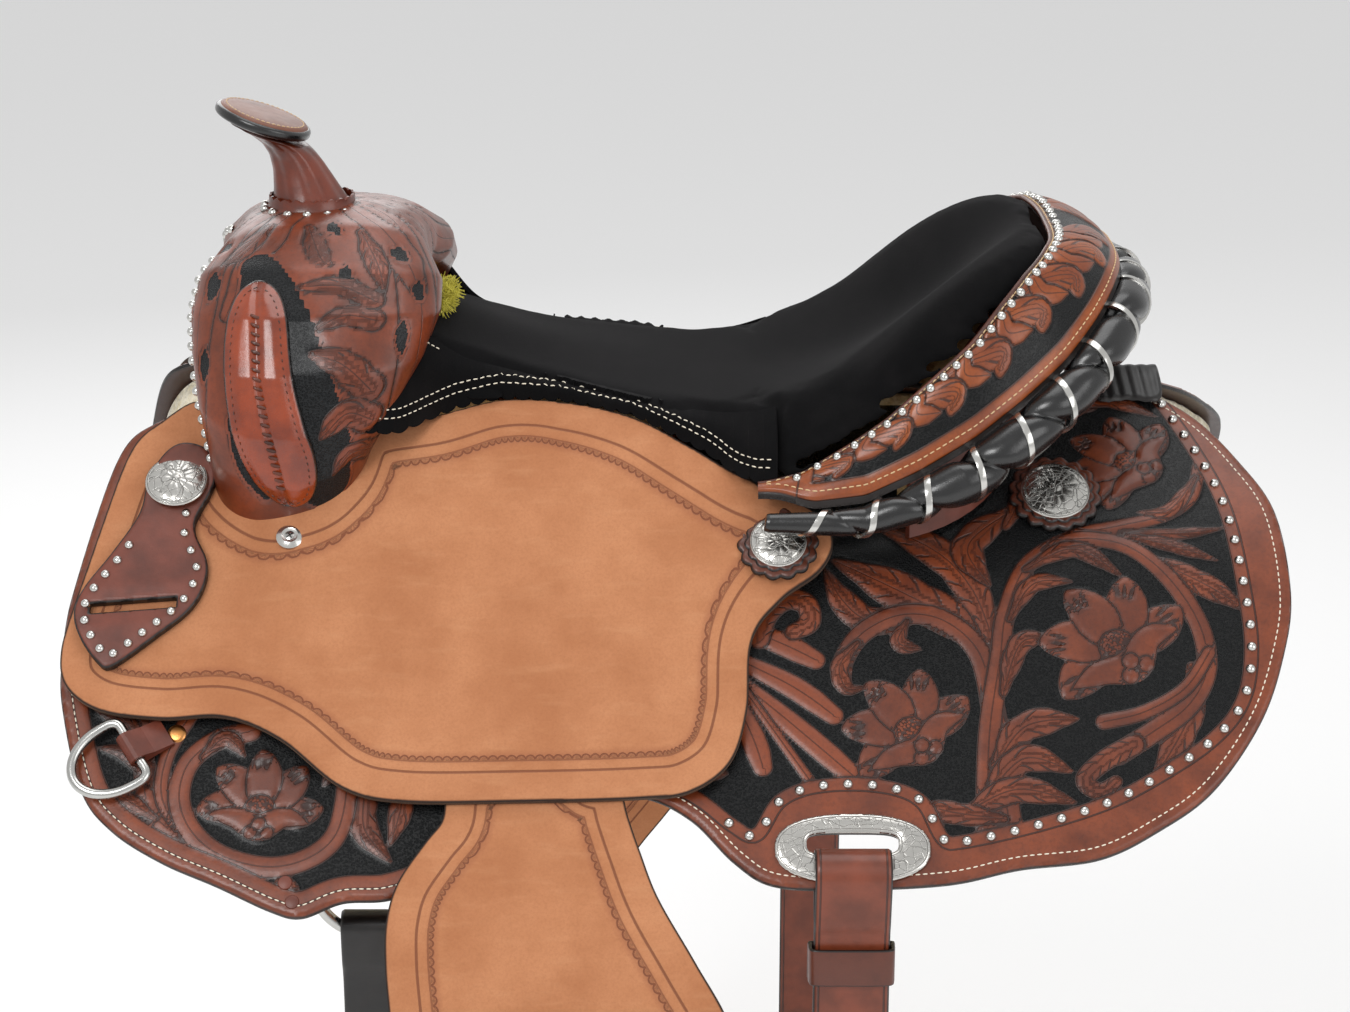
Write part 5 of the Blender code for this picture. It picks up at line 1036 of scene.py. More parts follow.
def front_flowers(t):
    """The front skirt's rose in its ring of stems."""
    t.stem([(-0.262, 0.322), (-0.299, 0.300), (-0.309, 0.270), (-0.306, 0.225)], 4.0, 7.0)
    t.leaf([(-0.292, 0.290), (-0.315, 0.262), (-0.336, 0.256)], 6.0, tone=0.3)
    t.leaf([(-0.300, 0.300), (-0.322, 0.286), (-0.334, 0.290)], 5.0)
    t.leaf([(-0.310, 0.260), (-0.322, 0.240), (-0.340, 0.232)], 6.0, tone=0.2)
    t.stem([(-0.274, 0.318), (-0.296, 0.290), (-0.296, 0.262), (-0.284, 0.236)], 3.5, 5.0)
    t.leaf([(-0.176, 0.262), (-0.180, 0.290), (-0.178, 0.308), (-0.163, 0.326)], 8.0, tone=0.2)
    t.leaf([(-0.160, 0.262), (-0.158, 0.290), (-0.164, 0.316)], 7.0)
    t.leaf([(-0.206, 0.250), (-0.196, 0.262), (-0.204, 0.280)], 6.0, tone=0.3)
    t.leaf([(-0.228, 0.330), (-0.222, 0.340), (-0.214, 0.346)], 5.0)
    t.stem([(-0.248, 0.246), (-0.268, 0.252), (-0.283, 0.266), (-0.287, 0.287), (-0.279, 0.307), (-0.261, 0.322),
            (-0.234, 0.329), (-0.211, 0.324), (-0.195, 0.309), (-0.190, 0.280), (-0.192, 0.255)], 6.5, 6.5)
    t.leaf([(-0.275, 0.262), (-0.262, 0.250), (-0.250, 0.262)], 5.0)
    t.flower((-0.240, 0.294), 0.037, -90, spread=180)


def skirts():
    """Each skirt with its tooling, studs, edge stitches and rivets, and the slot for the billet."""
    slot = [(PLATE_X + (SLOT_LENGTH / 2) * np.sign(math.cos(a)) * abs(math.cos(a)) ** 0.45,
             SLOT_LOW_S - SLOT_HEIGHT / 2 + SLOT_HEIGHT / 2 * np.sign(math.sin(a)) * abs(math.sin(a)) ** 0.6)
            for a in around(40)]
    cut = pattern(SKIRT, 0.0019, [slot])
    p = cut["p"]
    t = Tooling(p)
    rear_flowers(t)
    front_flowers(t)
    field, _, _ = rim_field(p, [smooth_curve(FIELD, 0.003)])
    inner = np.where(p[:, 0] > -0.10, field * 1000 - 4.5, cut["inner"] * 1000 - 15.5)
    t.border(inner)
    values = t.attributes()
    hidden = (p[:, 0] > -0.26) & (p[:, 0] < 0.0) & (p[:, 1] < 0.2) & (p[:, 1] > 0.03)
    faces = ~hidden[cut["quads"]].all(1)
    cut["quads"] = cut["quads"][faces]
    loop = cut["loops"][0]
    stitch_line = inset(loop, 0.0070)
    studs = np.array(FIELD[:19])
    for name, side in SIDES.items():
        lay(f"skirt_leather_{name}", cut, on_side, side, 0.0, SKIRT_TOP - 0.0010, "saddle", TOOLED,
            t.height / 1000, attributes=values, replaces=(f"skirt_{name}",))
        frames = along_path(studs, STUD_STEP, on_side, SKIRT_TOP + 0.0002, side)
        scatter(f"skirt_studs_{name}", STUD, STUD_FACES, frames, "saddle", SILVER)
        start = np.argmin(np.linalg.norm(stitch_line - np.array([0.235, 0.004]), axis=1))
        line = np.roll(stitch_line, -start, 0)
        visible = line[(line[:, 1] > 0.03) | (line[:, 0] > 0.235)]
        stop = np.linalg.norm(np.diff(visible, axis=0), axis=1)
        pieces = np.split(visible, np.nonzero(stop > 0.012)[0] + 1)
        frames = [f for part in pieces if len(part) > 4
                  for f in along_path(part, STITCH_STEP, on_side, SKIRT_TOP - 0.0006, side)]
        scatter(f"skirt_stitches_{name}", STITCH, STITCH_FACES, frames, "saddle", THREAD)
        for x, s, r, look in ((-0.291, 0.2475, 0.0056, BRASS), (-0.223, 0.3385, 0.0042, KEEPER_LEATHER),
                              (-0.2185, 0.3500, 0.0042, KEEPER_LEATHER)):
            rows, centre = local_frame(on_side, x, s, SKIRT_TOP - 0.0004, side)
            verts, faces_, rim = turned(rows, centre, [(0.0004, 0.0012), (r * 0.6, 0.0011), (r * 0.9, 0.0008),
                                                          (r, 0.0002), (r, -0.0006)], 24)
            piece(f"rivet_{abs(int(x * 1000))}_{name}", verts, faces_, "saddle", look,
                  {"rim": (r * 1000 - rim)})


def fleeces():
    """The wool lining under each skirt: thick where it rests on the back, with waves and tufts."""
    cut = pattern(FLEECE, 0.0036)
    p = cut["p"]
    rng = np.random.default_rng(3)
    tufts = rng.normal(0, 0.0007, len(p))

    def under(x, s):
        """The lining's underside."""
        thick = ease((0.190 - s) / 0.045) * ease((s + 0.004) / 0.024)
        waves = 0.0008 * np.sin(x * 420 + 3 * np.sin(s * 310)) * np.sin(s * 390)
        return -(0.011 + 0.017 * thick) + waves + tufts

    for name, side in SIDES.items():
        lay(f"fleece_lining_{name}", cut, on_side, side, 0, -0.0008, "saddle", FLEECE_WOOL, edge=0.0030,
            replaces=(f"fleece_{name}",), underside=under, crease=0)


# ---- jockey, keeper, rosettes and conchos ----
def rosette(radius, lobes, deep=0.07):
    """A pinked round outline."""
    a = around(lobes * 10)
    r = radius * (1 - deep + deep * np.abs(np.sin(lobes * a / 2)) * 2 ** 0.5)
    return np.stack([r * np.cos(a), r * np.sin(a)], -1)


def concho(name, local, radius, oval, node):
    """A domed silver concho: a beaded rim, a groove and a crown with petals raised round a small boss."""
    rows, centre = local
    t = np.linspace(0, 1, 22)
    profile = [(max(0.0003, radius * k), 0.0) for k in t] + [(radius, -0.0004), (radius * 0.985, -0.0012)]

    def wave(r, h, a):
        """Crown, petals, fine rays, beads, groove and boss by radius and angle."""
        q = r / radius
        crown = 0.26 * radius * np.sqrt(np.maximum(1 - (q * 0.93) ** 2, 0)) - 0.26 * radius * math.sqrt(1 - 0.93 ** 2)
        petals = 0.00028 * np.abs(np.cos(6 * a)) * ease((q - 0.16) / 0.2) * ease((0.82 - q) / 0.15)
        fine = 0.00010 * np.cos(48 * a + 30 * q) * ease((q - 0.2) / 0.2) * ease((0.80 - q) / 0.1)
        beads = 0.00030 * np.abs(np.sin(22 * a)) * ease((q - 0.86) / 0.03) * ease((1.0 - q) / 0.03)
        groove = -0.00030 * np.exp(-((q - 0.855) / 0.018) ** 2)
        boss = 0.0005 * ease((0.15 - q) / 0.06)
        lower = np.where(h < -0.0001, h, 0)
        height = crown * (h > -0.0001) + petals + fine + beads + groove + boss + lower
        return r * (1 + (oval - 1) * np.cos(a) ** 2), height

    verts, faces, rim = turned(rows, centre, profile, 96, wave)
    piece(name, verts, faces, "saddle", ENGRAVED, {"rim": radius * 1000 - rim + 1.0}, 0, (node,))


def side_pieces():
    """Jockey, latigo keeper, rosettes, conchos and the washer screw of each side."""
    cut = pattern(JOCKEY, 0.0024)
    slot = np.array([(-0.345, 0.1725), (-0.345, 0.1785), (-0.294, 0.1745), (-0.294, 0.1685)])
    slot = np.concatenate([slot[k] + (slot[(k + 1) % 4] - slot[k]) * np.linspace(0, 1, 12, endpoint=False)[:, None]
                           for k in range(4)])
    keeper = pattern(KEEPER, 0.0012, [slot])
    border = inset(keeper["loops"][0], 0.0062)
    for name, side in SIDES.items():
        lay(f"seat_jockey_{name}", cut, on_jockey, side, JOCKEY_LOW, JOCKEY_TOP, "saddle", ROUGH,
            replaces=(f"jockey_{name}",))
        edged = np.ones(len(keeper["p"]))
        crown = 0.0006 * ease(keeper["inner"] / 0.010)
        lay(f"keeper_leather_{name}", keeper, on_jockey, side, KEEPER_LOW, KEEPER_TOP - 0.0006, "saddle",
            KEEPER_LEATHER, crown, 0.0011, {"edged": edged}, (f"latigo_keeper_{name}",))
        low = border[border[:, 1] > 0.121]
        start = np.argmin(low[:, 1] - low[:, 0] * 0.2)
        frames = along_path(np.roll(low, -start, 0), 0.0104, on_jockey, KEEPER_TOP + 0.0001, side)
        scatter(f"keeper_studs_{name}", STUD * 0.92, STUD_FACES, frames, "saddle", SILVER)
        spots = (("rear", on_side, 0.231, 0.089, SKIRT_TOP + 0.0011, 0.0210, 16),
                 ("jockey", on_jockey, 0.061, 0.151, JOCKEY_TOP + 0.0016, 0.0170, 14))
        for label, surface, x, s, d, radius, lobes in spots:
            local = local_frame(surface, x, s, d, side)
            for level, (size, low_d, high_d) in enumerate(((radius + 0.0068, -0.0012, 0.0016),
                                                           (radius + 0.0026, 0.0016, 0.0030))):
                ring = pattern(rosette(size, lobes), 0.0010, smooth=False)
                q = np.linalg.norm(ring["p"], axis=1)
                angle = np.arctan2(ring["p"][:, 1], ring["p"][:, 0])
                wave = 0.0006 * np.abs(np.sin(lobes * angle / 2)) * ease((q - radius) / 0.004)
                lay(f"{label}_rosette_{level}_{name}", ring, in_frame(local), 1.0, low_d, high_d, "saddle",
                    ROSETTE_LEATHER, wave, 0.0009, {"edged": np.ones(len(q))},
                    (f"{label}_rosette_{name}",))
            rows, centre = local
            concho(f"{label}_silver_{name}", (rows, centre + rows[2] * 0.0032), radius, 1.0,
                   f"{label}_concho_{name}")
        rows, centre = local_frame(on_jockey, -0.2985, 0.1060, KEEPER_TOP + 0.0012, side)
        concho(f"keeper_silver_{name}", (rows, centre), 0.0185, 1.02, f"keeper_concho_{name}")
        rows, centre = local_frame(on_jockey, -0.229, 0.141, JOCKEY_TOP + 0.0002, side)
        washer = [(0.0036, 0.0016), (0.0050, 0.0020), (0.0068, 0.0012), (0.0082, 0.0002), (0.0083, -0.0008)]
        screw = [(0.0003, 0.0018), (0.0030, 0.0016), (0.0040, 0.0009), (0.0041, -0.0006)]
        for label, profile, look in (("washer", washer, SILVER), ("screw", screw, STEEL)):
            verts, faces, rim = turned(rows, centre, profile, 32)
            piece(f"jockey_{label}_{name}", verts, faces, "saddle", look, {"rim": rim * 0 + 9})
        for turn in (0.4, 0.4 + math.pi / 2):
            c, s_ = math.cos(turn), math.sin(turn)
            bar = np.array([(c * 0.0022, s_ * 0.0022), (-c * 0.0022, -s_ * 0.0022)])
            ends = centre + bar[:, :1] * rows[0] + bar[:, 1:] * rows[1] + rows[2] * 0.0017
            verts, faces = sweep(ends, rounded(0.0007, 0.0007, 0.0002, 3), normals=rows[2])
            piece(f"jockey_screw_cross_{int(turn * 10)}_{name}", verts, outward(verts, faces), "saddle",
                  BLACK_LEATHER, None)


# ---- fork and horn ----
def on_fork(x, t):
    """Chart position of a point of the fork's side: arc forward of its middle, and run down from the crown."""
    knots = np.arange(len(FORK_OUTER))
    run = [0.296, 0.2535, 0.224, 0.194, 0.160, 0.126, 0.089, 0.0474, 0.0]
    return np.interp(t, knots, FORK_MIDDLE) - x, np.interp(t, knots, run)


def fork_leaves(t):
    """Flowing leaves from the horn down the swell, teardrops of dyed ground, and the ground round the patch."""
    def route(*points):
        """A path on the chart from (x, knot) points."""
        return [on_fork(x, k) for x, k in points]

    t.stroke([(0.000, 0.004), (0.020, 0.030), (0.034, 0.070), (0.050, 0.130)], [5, 9, 11, 9, 5], lobes=0.1)
    t.stroke([(0.004, 0.004), (0.044, 0.030), (0.066, 0.080), (0.072, 0.150), (0.066, 0.220)], [5, 9, 12, 13, 11, 8])
    t.stroke([(-0.010, 0.004), (-0.040, 0.030), (-0.058, 0.080), (-0.072, 0.150), (-0.070, 0.230)],
             [5, 9, 13, 16, 15, 10])
    t.stroke([(-0.004, 0.004), (-0.024, 0.034), (-0.046, 0.066), (-0.066, 0.110)], [4, 8, 11, 12, 6], lobes=0.1)
    t.stroke([(-0.020, 0.004), (-0.070, 0.030), (-0.092, 0.090), (-0.098, 0.170)], [5, 9, 12, 12, 7])
    t.stroke([(0.010, 0.004), (0.060, 0.012), (0.086, 0.050), (0.094, 0.120), (0.090, 0.200)], [5, 8, 12, 12, 8])
    t.hollow(route((-0.249, 5.95), (-0.238, 5.0), (-0.230, 4.2), (-0.223, 3.4), (-0.214, 2.6), (-0.207, 1.5)),
             [12, 19, 22, 23, 23, 21, 16])
    t.hollow(route((-0.262, 2.9), (-0.254, 2.0), (-0.244, 1.4)), [5, 8, 8, 5])
    for x, k, wide, long, lean in ((-0.207, 6.87, 5, 9, -6), (-0.196, 5.69, 5, 9, -8), (-0.165, 6.3, 6, 8, -6),
                                   (-0.275, 6.6, 5, 7, 6), (-0.279, 5.5, 6, 13, 2), (-0.284, 3.8, 5, 12, 0),
                                   (-0.160, 4.4, 5, 12, -2), (-0.150, 5.4, 5, 9, -3)):
        w, run = on_fork(x, k)
        t.hollow([(w, run - long / 1000), (w, run), (w + lean / 1000, run + long / 1000)], [1.5, wide, wide * 0.9, 1])
    for base, bend, tip, wide in (((-0.178, 5.2), (-0.200, 5.5), (-0.225, 5.45), 6.5),
                                  ((-0.178, 4.8), (-0.195, 4.9), (-0.212, 4.65), 7.0),
                                  ((-0.180, 3.5), (-0.196, 4.0), (-0.216, 4.20), 9.5),
                                  ((-0.180, 2.9), (-0.194, 3.1), (-0.210, 2.62), 9.0),
                                  ((-0.176, 2.0), (-0.192, 2.2), (-0.203, 1.75), 7.0)):
        t.stroke(route(base, bend, tip), np.array([1.0, 1.0, 0.95, 0.7, 0.15]) * wide, rise=1.1, veins=0.4,
                 lobes=0.12, lobe_count=3, tone=0.2)
    t.leaf(route((-0.222, 6.9), (-0.212, 6.1), (-0.204, 5.9)), 7, tone=0.2)
    t.leaf(route((-0.245, 7.0), (-0.262, 6.3), (-0.274, 6.0)), 7, tone=0.1)
    t.leaf(route((-0.190, 6.8), (-0.178, 6.0), (-0.172, 5.4)), 7, tone=-0.2)


def fork_section(t):
    """The tree fork's section at t knots from its foot: half length, middle, centre, and half its thickness."""
    knots = np.arange(len(FORK_OUTER))
    outer, inner = (np.stack([np.interp(t, knots, [p[i] for p in line]) for i in (0, 1)], -1)
                    for line in (FORK_OUTER, FORK_INNER))
    across = (outer - inner) / 2
    return (np.interp(t, knots, FORK_HALF), np.interp(t, knots, FORK_MIDDLE), (outer + inner) / 2, across,
            np.linalg.norm(across, axis=-1, keepdims=True))


def fork_surface(u, angle, grow):
    """Point of the fork at u (-1 near foot, 0 crown, 1 off foot) and an angle round its section."""
    t = (1 - np.abs(u)) * (len(FORK_OUTER) - 1)
    half, middle, centre, across, reach = fork_section(t)
    half = half + grow
    across = across * (reach + np.asarray(grow)[..., None]) / reach
    c, s = np.cos(angle), np.sin(angle)
    c, s = squarish(c, 0.8), squarish(s, 0.8)
    point = centre + across * s[..., None]
    return np.stack([middle + half * c, np.sign(u + 1e-12) * point[..., 0], point[..., 1]], -1)


def fork():
    """The fork's cover: leaves flow down from the horn, over a dyed ground, on the front, side and rear faces."""
    rows, columns = ((220, 220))
    u = np.sin(np.linspace(-1, 1, rows) * math.pi / 2 * 0.999)
    u = 0.45 * u + 0.55 * np.linspace(-1, 1, rows)
    angle = around(columns)
    U, A = np.meshgrid(u, angle, indexing="ij")
    base = fork_surface(U, A, np.full(U.shape, FORK_SKIN))
    flat = base.reshape(-1, 3)
    down = np.linalg.norm(np.diff(base, axis=0), axis=2)
    run = np.concatenate([np.zeros((1, columns)), np.cumsum(down, 0)], 0)
    run = np.abs(run - run[rows // 2])
    mid = columns // 4
    ahead = np.linalg.norm(np.diff(base, axis=1, append=base[:, :1]), axis=2)
    across = np.concatenate([np.zeros((rows, 1)), np.cumsum(ahead, 1)[:, :-1]], 1)
    across = (across - across[:, mid:mid + 1])
    total = ahead.sum(1, keepdims=True)
    across = np.where(across > total / 2, across - total, across)
    chart = np.stack([across.ravel(), run[:, mid][:, None].repeat(columns, 1).ravel()], -1)
    t = Tooling(chart)
    t.all_leather(0.7)
    fork_leaves(t)
    values = t.attributes()
    lift = (t.height / 1000 - 0.0008)[:, None]
    normal = fork_surface(U, A, np.full(U.shape, FORK_SKIN + 0.001)).reshape(-1, 3) - flat
    normal = unit(normal)
    verts = flat + normal * lift
    faces = outward(verts, tube_faces(rows, columns))
    values["rim"] = np.full(len(verts), 20.0)
    piece("fork_leather", verts, faces, "saddle", FORK_TOOLED, values, 0, ("fork_cover", "tree_fork"))
    for name, side in SIDES.items():
        front = []
        for uu in np.linspace(0.18, 0.86, 17):
            point = fork_surface(np.float64(uu * side), np.float64(math.pi * 0.955), np.float64(FORK_SKIN + 0.0004))
            beside = fork_surface(np.float64(uu * side), np.float64(math.pi * 0.955), np.float64(FORK_SKIN + 0.0012))
            after = fork_surface(np.float64((uu + 0.01) * side), np.float64(math.pi * 0.955), np.float64(FORK_SKIN))
            front.append((point, after - point, beside - point))
        frames = frames_of(*[np.array([f[k] for f in front]) for k in range(3)])
        scatter(f"fork_studs_{name}", STUD * 0.95, STUD_FACES, frames, "saddle", SILVER)
        swell_patch(name, side)


def swell_patch(name, side):
    """The oval patch on the swell: crowned, dark-edged, with a stamped and laced seam down its middle."""
    stretch = 0.030
    outline = np.array(PATCH) * np.array([1.0, stretch])
    cut = pattern([tuple(p) for p in outline], 0.0011)

    def on_swell(x, v, d):
        """The fork's skin, read by x and by the height along the swell."""
        half, middle, centre, across, reach = fork_section(v / stretch)
        c = np.clip((x - middle) / (half + d), -0.999, 0.999)
        s = np.sqrt(1 - np.abs(c) ** 2.5) ** 0.8
        point = centre + across / reach * (reach + d[..., None]) * s[..., None]
        return np.stack([x, point[..., 0], point[..., 1]], -1)

    p = cut["p"]
    seam = np.abs(p[:, 0] - np.interp(p[:, 1] / stretch, *PATCH_SEAM))
    crown = 0.0030 * ease(cut["inner"] / 0.010) - 0.0022 * np.exp(-(seam / 0.0026) ** 2)
    lay(f"patch_leather_{name}", cut, on_swell, side, FORK_SKIN - 0.0002, FORK_SKIN + 0.0030, "saddle", PATCH_LEATHER,
        crown, 0.0012, {"edged": np.ones(len(p))}, (f"swell_patch_{name}",))
    line = [(float(np.interp(k, *PATCH_SEAM)), k * stretch) for k in np.linspace(2.0, 5.3, 12)]
    frames = along_path(line, 0.0046, on_swell, FORK_SKIN + 0.0042, side)
    lacing, lacing_faces = capsule(0.0070, 0.0010, 8)
    tilt = math.radians(62)
    lean = np.array([[math.cos(tilt), math.sin(tilt), 0], [-math.sin(tilt), math.cos(tilt), 0], [0, 0, 1.0]])
    frames = [(lean @ rows, centre) for rows, centre in frames]
    scatter(f"patch_lacing_{name}", lacing, lacing_faces, frames, "saddle", ROSETTE_LEATHER)
    loop = inset(cut["loops"][0], 0.0045)
    frames = along_path(loop, 0.0040, on_swell, FORK_SKIN + 0.0040, side)
    scatter(f"patch_stitches_{name}", STITCH * 0.9, STITCH_FACES, frames, "saddle", ROSETTE_LEATHER)


def horn():
    """The wrapped neck with its soft facets, the stitched cap, its black rim, and the studded collar."""
    neck = [((-0.2244, 0.1930), 0.0250, 0.0), ((-0.2252, 0.2000), 0.0236, 1.0), ((-0.2275, 0.2080), 0.0208, 3.0),
            ((-0.2304, 0.2180), 0.0180, 6.0), ((-0.2340, 0.2270), 0.0166, 10.0), ((-0.2385, 0.2335), 0.0170, 13.0),
            ((-0.2450, 0.2390), 0.0195, 16.0), ((-0.2520, 0.2430), 0.0232, CAP_TILT)]
    level = np.linspace(0, len(neck) - 1, 40)
    x, z, r, tilt = read_line(level, range(len(neck)), np.array([(*at, size, lean) for at, size, lean in neck])).T
    for block in (x, z, r, tilt):
        block[1:-1] = (block[:-2] + 2 * block[1:-1] + block[2:]) / 4
    a = around(96)
    facet = 1 + 0.022 * np.cos(7 * a) + 0.010 * np.cos(13 * a + 1)
    T = np.radians(tilt)[:, None]
    wide = r[:, None] * facet
    verts = np.stack([x[:, None] + wide * np.cos(a) * np.cos(T), wide * np.sin(a) + 0 * T,
                      z[:, None] - wide * np.cos(a) * np.sin(T)], -1).reshape(-1, 3)
    faces = outward(verts, tube_faces(len(level), len(a)))
    piece("horn_neck_leather", verts, faces, "saddle", NECK_LEATHER,
          unedged(verts), 0, ("horn_neck_wrap", "horn_core"))
    t = math.radians(CAP_TILT)
    rows = np.array([[math.cos(t), 0, -math.sin(t)], [0, 1, 0], [math.sin(t), 0, math.cos(t)]])
    R = CAP_RADIUS
    profile = [(0.0004, 0.0014)] + [(R * k, 0.0014 - 0.0022 * k ** 3) for k in np.linspace(0.08, 0.86, 12)]
    profile += [(R * 0.92, -0.0016), (R * 0.925, -0.0030), (R * 0.90, -CAP_THICKNESS + 0.0010),
                (R * 0.80, -CAP_THICKNESS), (0.0004, -CAP_THICKNESS)]
    verts, faces, _ = turned(rows, CAP_CENTRE, profile, 96)
    piece("horn_cap_leather", verts, faces, "saddle", CAP_LEATHER,
          unedged(verts), 0, ("horn_cap",))
    a = around(120)
    path = CAP_CENTRE + (R - 0.0034) * (np.cos(a)[:, None] * rows[0] + np.sin(a)[:, None] * rows[1])
    path = path - rows[2] * 0.0044
    verts, faces = sweep(path, rounded(0.0062, 0.0058, 0.0024, 6), closed=True, normals=rows[2])
    piece("horn_cap_rim", verts, outward(verts, faces), "saddle", BLACK_GLOSS,
          unedged(verts), 0, ("horn_cap_binding",))
    a = around(46)
    places = [(np.stack([-math.sin(k) * rows[0] + math.cos(k) * rows[1],
                         -math.cos(k) * rows[0] - math.sin(k) * rows[1], rows[2]]),
               CAP_CENTRE + R * 0.80 * (math.cos(k) * rows[0] + math.sin(k) * rows[1]) + rows[2] * 0.0001) for k in a]
    scatter("horn_cap_stitches", STITCH * 0.8, STITCH_FACES, places, "saddle", DARK_THREAD)
    count, lobes = 240, 22
    a = around(count)
    scallop = 0.0016 * np.abs(np.sin(lobes * a / 2))
    rings = []
    for radius, height, pinked in ((0.0332, 0.1930, 0), (0.0326, 0.1960, 0), (0.0300, 0.1978, 0), (0.0272, 0.1990, 0),
                                   (0.0258, 0.2010, 0), (0.0254, 0.2050, 1), (0.0240, 0.2050, 1), (0.0244, 0.1960, 0),
                                   (0.0300, 0.1930, 0)):
        rings.append(np.stack([-0.2250 + radius * np.cos(a) * 1.04, radius * np.sin(a),
                               height + pinked * scallop - 0.10 * np.abs(radius * np.cos(a)) * 0.3], -1))
    verts = np.array(rings)
    drop = 0.0075 * ((verts[..., 0] + 0.2250) / 0.033) ** 2 * 0.6 + 0.5 * verts[..., 1] ** 2 / 0.09
    verts[..., 2] -= drop * 0.6
    verts = verts.reshape(-1, 3)
    faces = outward(verts, [grid_faces(9, count, close_rows=True, close_columns=True)])
    piece("horn_collar", verts, faces, "saddle", NECK_LEATHER,
          unedged(verts), 50)
    a = around(15) + 0.1
    points = np.stack([-0.2250 + 0.0288 * np.cos(a) * 1.04, 0.0288 * np.sin(a), 0.1992 + 0 * a], -1)
    points[:, 2] -= 0.6 * (0.0075 * ((points[:, 0] + 0.2250) / 0.033) ** 2 * 0.6 + 0.5 * points[:, 1] ** 2 / 0.09)
    points[:, 2] -= 0.03 * np.abs(0.0282 * np.cos(a))
    away = np.stack([np.cos(a), np.sin(a), 0 * a + 1.2], -1)
    frames = frames_of(points, np.stack([-np.sin(a), np.cos(a), 0 * a], -1), away)
    scatter("horn_collar_studs", STUD * 0.95, STUD_FACES, frames, "saddle", SILVER)


# ---- seat ----
def rim_height(x):
    """Height of the cantle's inner rim."""
    return np.interp(x, [p[0] for p in RIM_INNER], [p[1] for p in RIM_INNER]) + 0.001


def seat_half(x):
    """Half the seat's width: a table ahead of the cantle, and the rim's rounded square within it."""
    length, half, square = RIM_INNER_SIZE
    rim = half * (1 - np.clip((x - CANTLE_START) / length, 0, 1) ** square) ** (1 / square) - 0.0012
    ahead = np.interp(x, SEAT_X[:len(SEAT_HALF)], SEAT_HALF)
    return np.where(x < CANTLE_START + 0.01, ahead, rim)


def smooth_table(x, values):
    """A softened reading of a table along the seat."""
    return sum(np.interp(x + k, SEAT_X, values) * w for k, w in ((-0.012, 1), (-0.006, 2), (0, 3), (0.006, 2),
                                                                 (0.012, 1))) / 9


def seat_height(x, share):
    """The seat's top: a hollow between two crests, falling away to its edge."""
    edge = np.where(x < CANTLE_START + 0.01, np.interp(x, SEAT_X[:len(SEAT_EDGE)], SEAT_EDGE), rim_height(x))
    crest, middle = smooth_table(x, SEAT_CREST), smooth_table(x, SEAT_MIDDLE)
    v = np.abs(share)
    inner = middle + (crest - middle) * ease(v / 0.8)
    fall = np.clip((v - 0.72) / 0.28, 0, 1)
    return inner + (edge - inner) * fall ** 2


def seat():
    """The padded suede seat: a crowned slab, puffed by a short pressure simulation, then trimmed and stitched."""
    rows, columns = ((150, 120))
    x = np.linspace(-0.176, 0.2262, rows)
    v = np.sin(np.linspace(-1, 1, columns) * math.pi / 2)
    X, V = np.meshgrid(x, v, indexing="ij")
    Y = V * (seat_half(X) - 0.001)
    top = seat_height(X, V) - 0.0015
    low = top - 0.0085 + 0.0040 * np.abs(V) ** 8
    upper = np.stack([X, Y, top], -1)
    lower = np.stack([X, Y * 0.996, low], -1)
    ring = np.concatenate([upper, lower[:, ::-1]], 1)
    verts = ring.reshape(-1, 3)
    faces = outward(verts, tube_faces(rows, ring.shape[1]))
    pad = piece("seat_suede", verts, faces, None, SUEDE, None, 0, ("seat_cover",))
    puff(pad, 0.0045, 3.0, 0.0035)
    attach(pad, "saddle")
    seat_trim()


def puff(obj, voxel, pressure, cap):
    """Blows the pad up a little as cloth, never further than a cap from where each point began."""
    bpy.context.view_layer.objects.active = obj
    remesh = obj.modifiers.new("remesh", "REMESH")
    remesh.mode = "VOXEL"
    remesh.voxel_size = voxel
    bpy.context.view_layer.update()
    graph = bpy.context.evaluated_depsgraph_get()
    solid = bpy.data.meshes.new_from_object(obj.evaluated_get(graph))
    obj.modifiers.clear()
    obj.data = solid
    start = np.empty(len(solid.vertices) * 3)
    solid.vertices.foreach_get("co", start)
    cloth = obj.modifiers.new("cloth", "CLOTH")
    cloth.settings.use_pressure = True
    cloth.settings.uniform_pressure_force = pressure
    cloth.settings.effector_weights.gravity = 0
    cloth.settings.tension_stiffness = 25
    cloth.settings.compression_stiffness = 25
    cloth.settings.quality = 4
    scene = bpy.context.scene
    for number in range(1, 16):
        scene.frame_set(number)
    graph = bpy.context.evaluated_depsgraph_get()
    soft = obj.evaluated_get(graph).to_mesh()
    end = np.empty(len(solid.vertices) * 3)
    soft.vertices.foreach_get("co", end)
    obj.modifiers.clear()
    scene.frame_set(1)
    move = (end - start).reshape(-1, 3)
    far = np.linalg.norm(move, axis=1)[:, None]
    done = start.reshape(-1, 3) + move * np.minimum(1, cap / np.maximum(far, 1e-9))
    solid.vertices.foreach_set("co", done.ravel())
    solid.shade_smooth()
    sub = obj.modifiers.new("round", "SUBSURF")
    sub.levels = 1
    sub.render_levels = 1


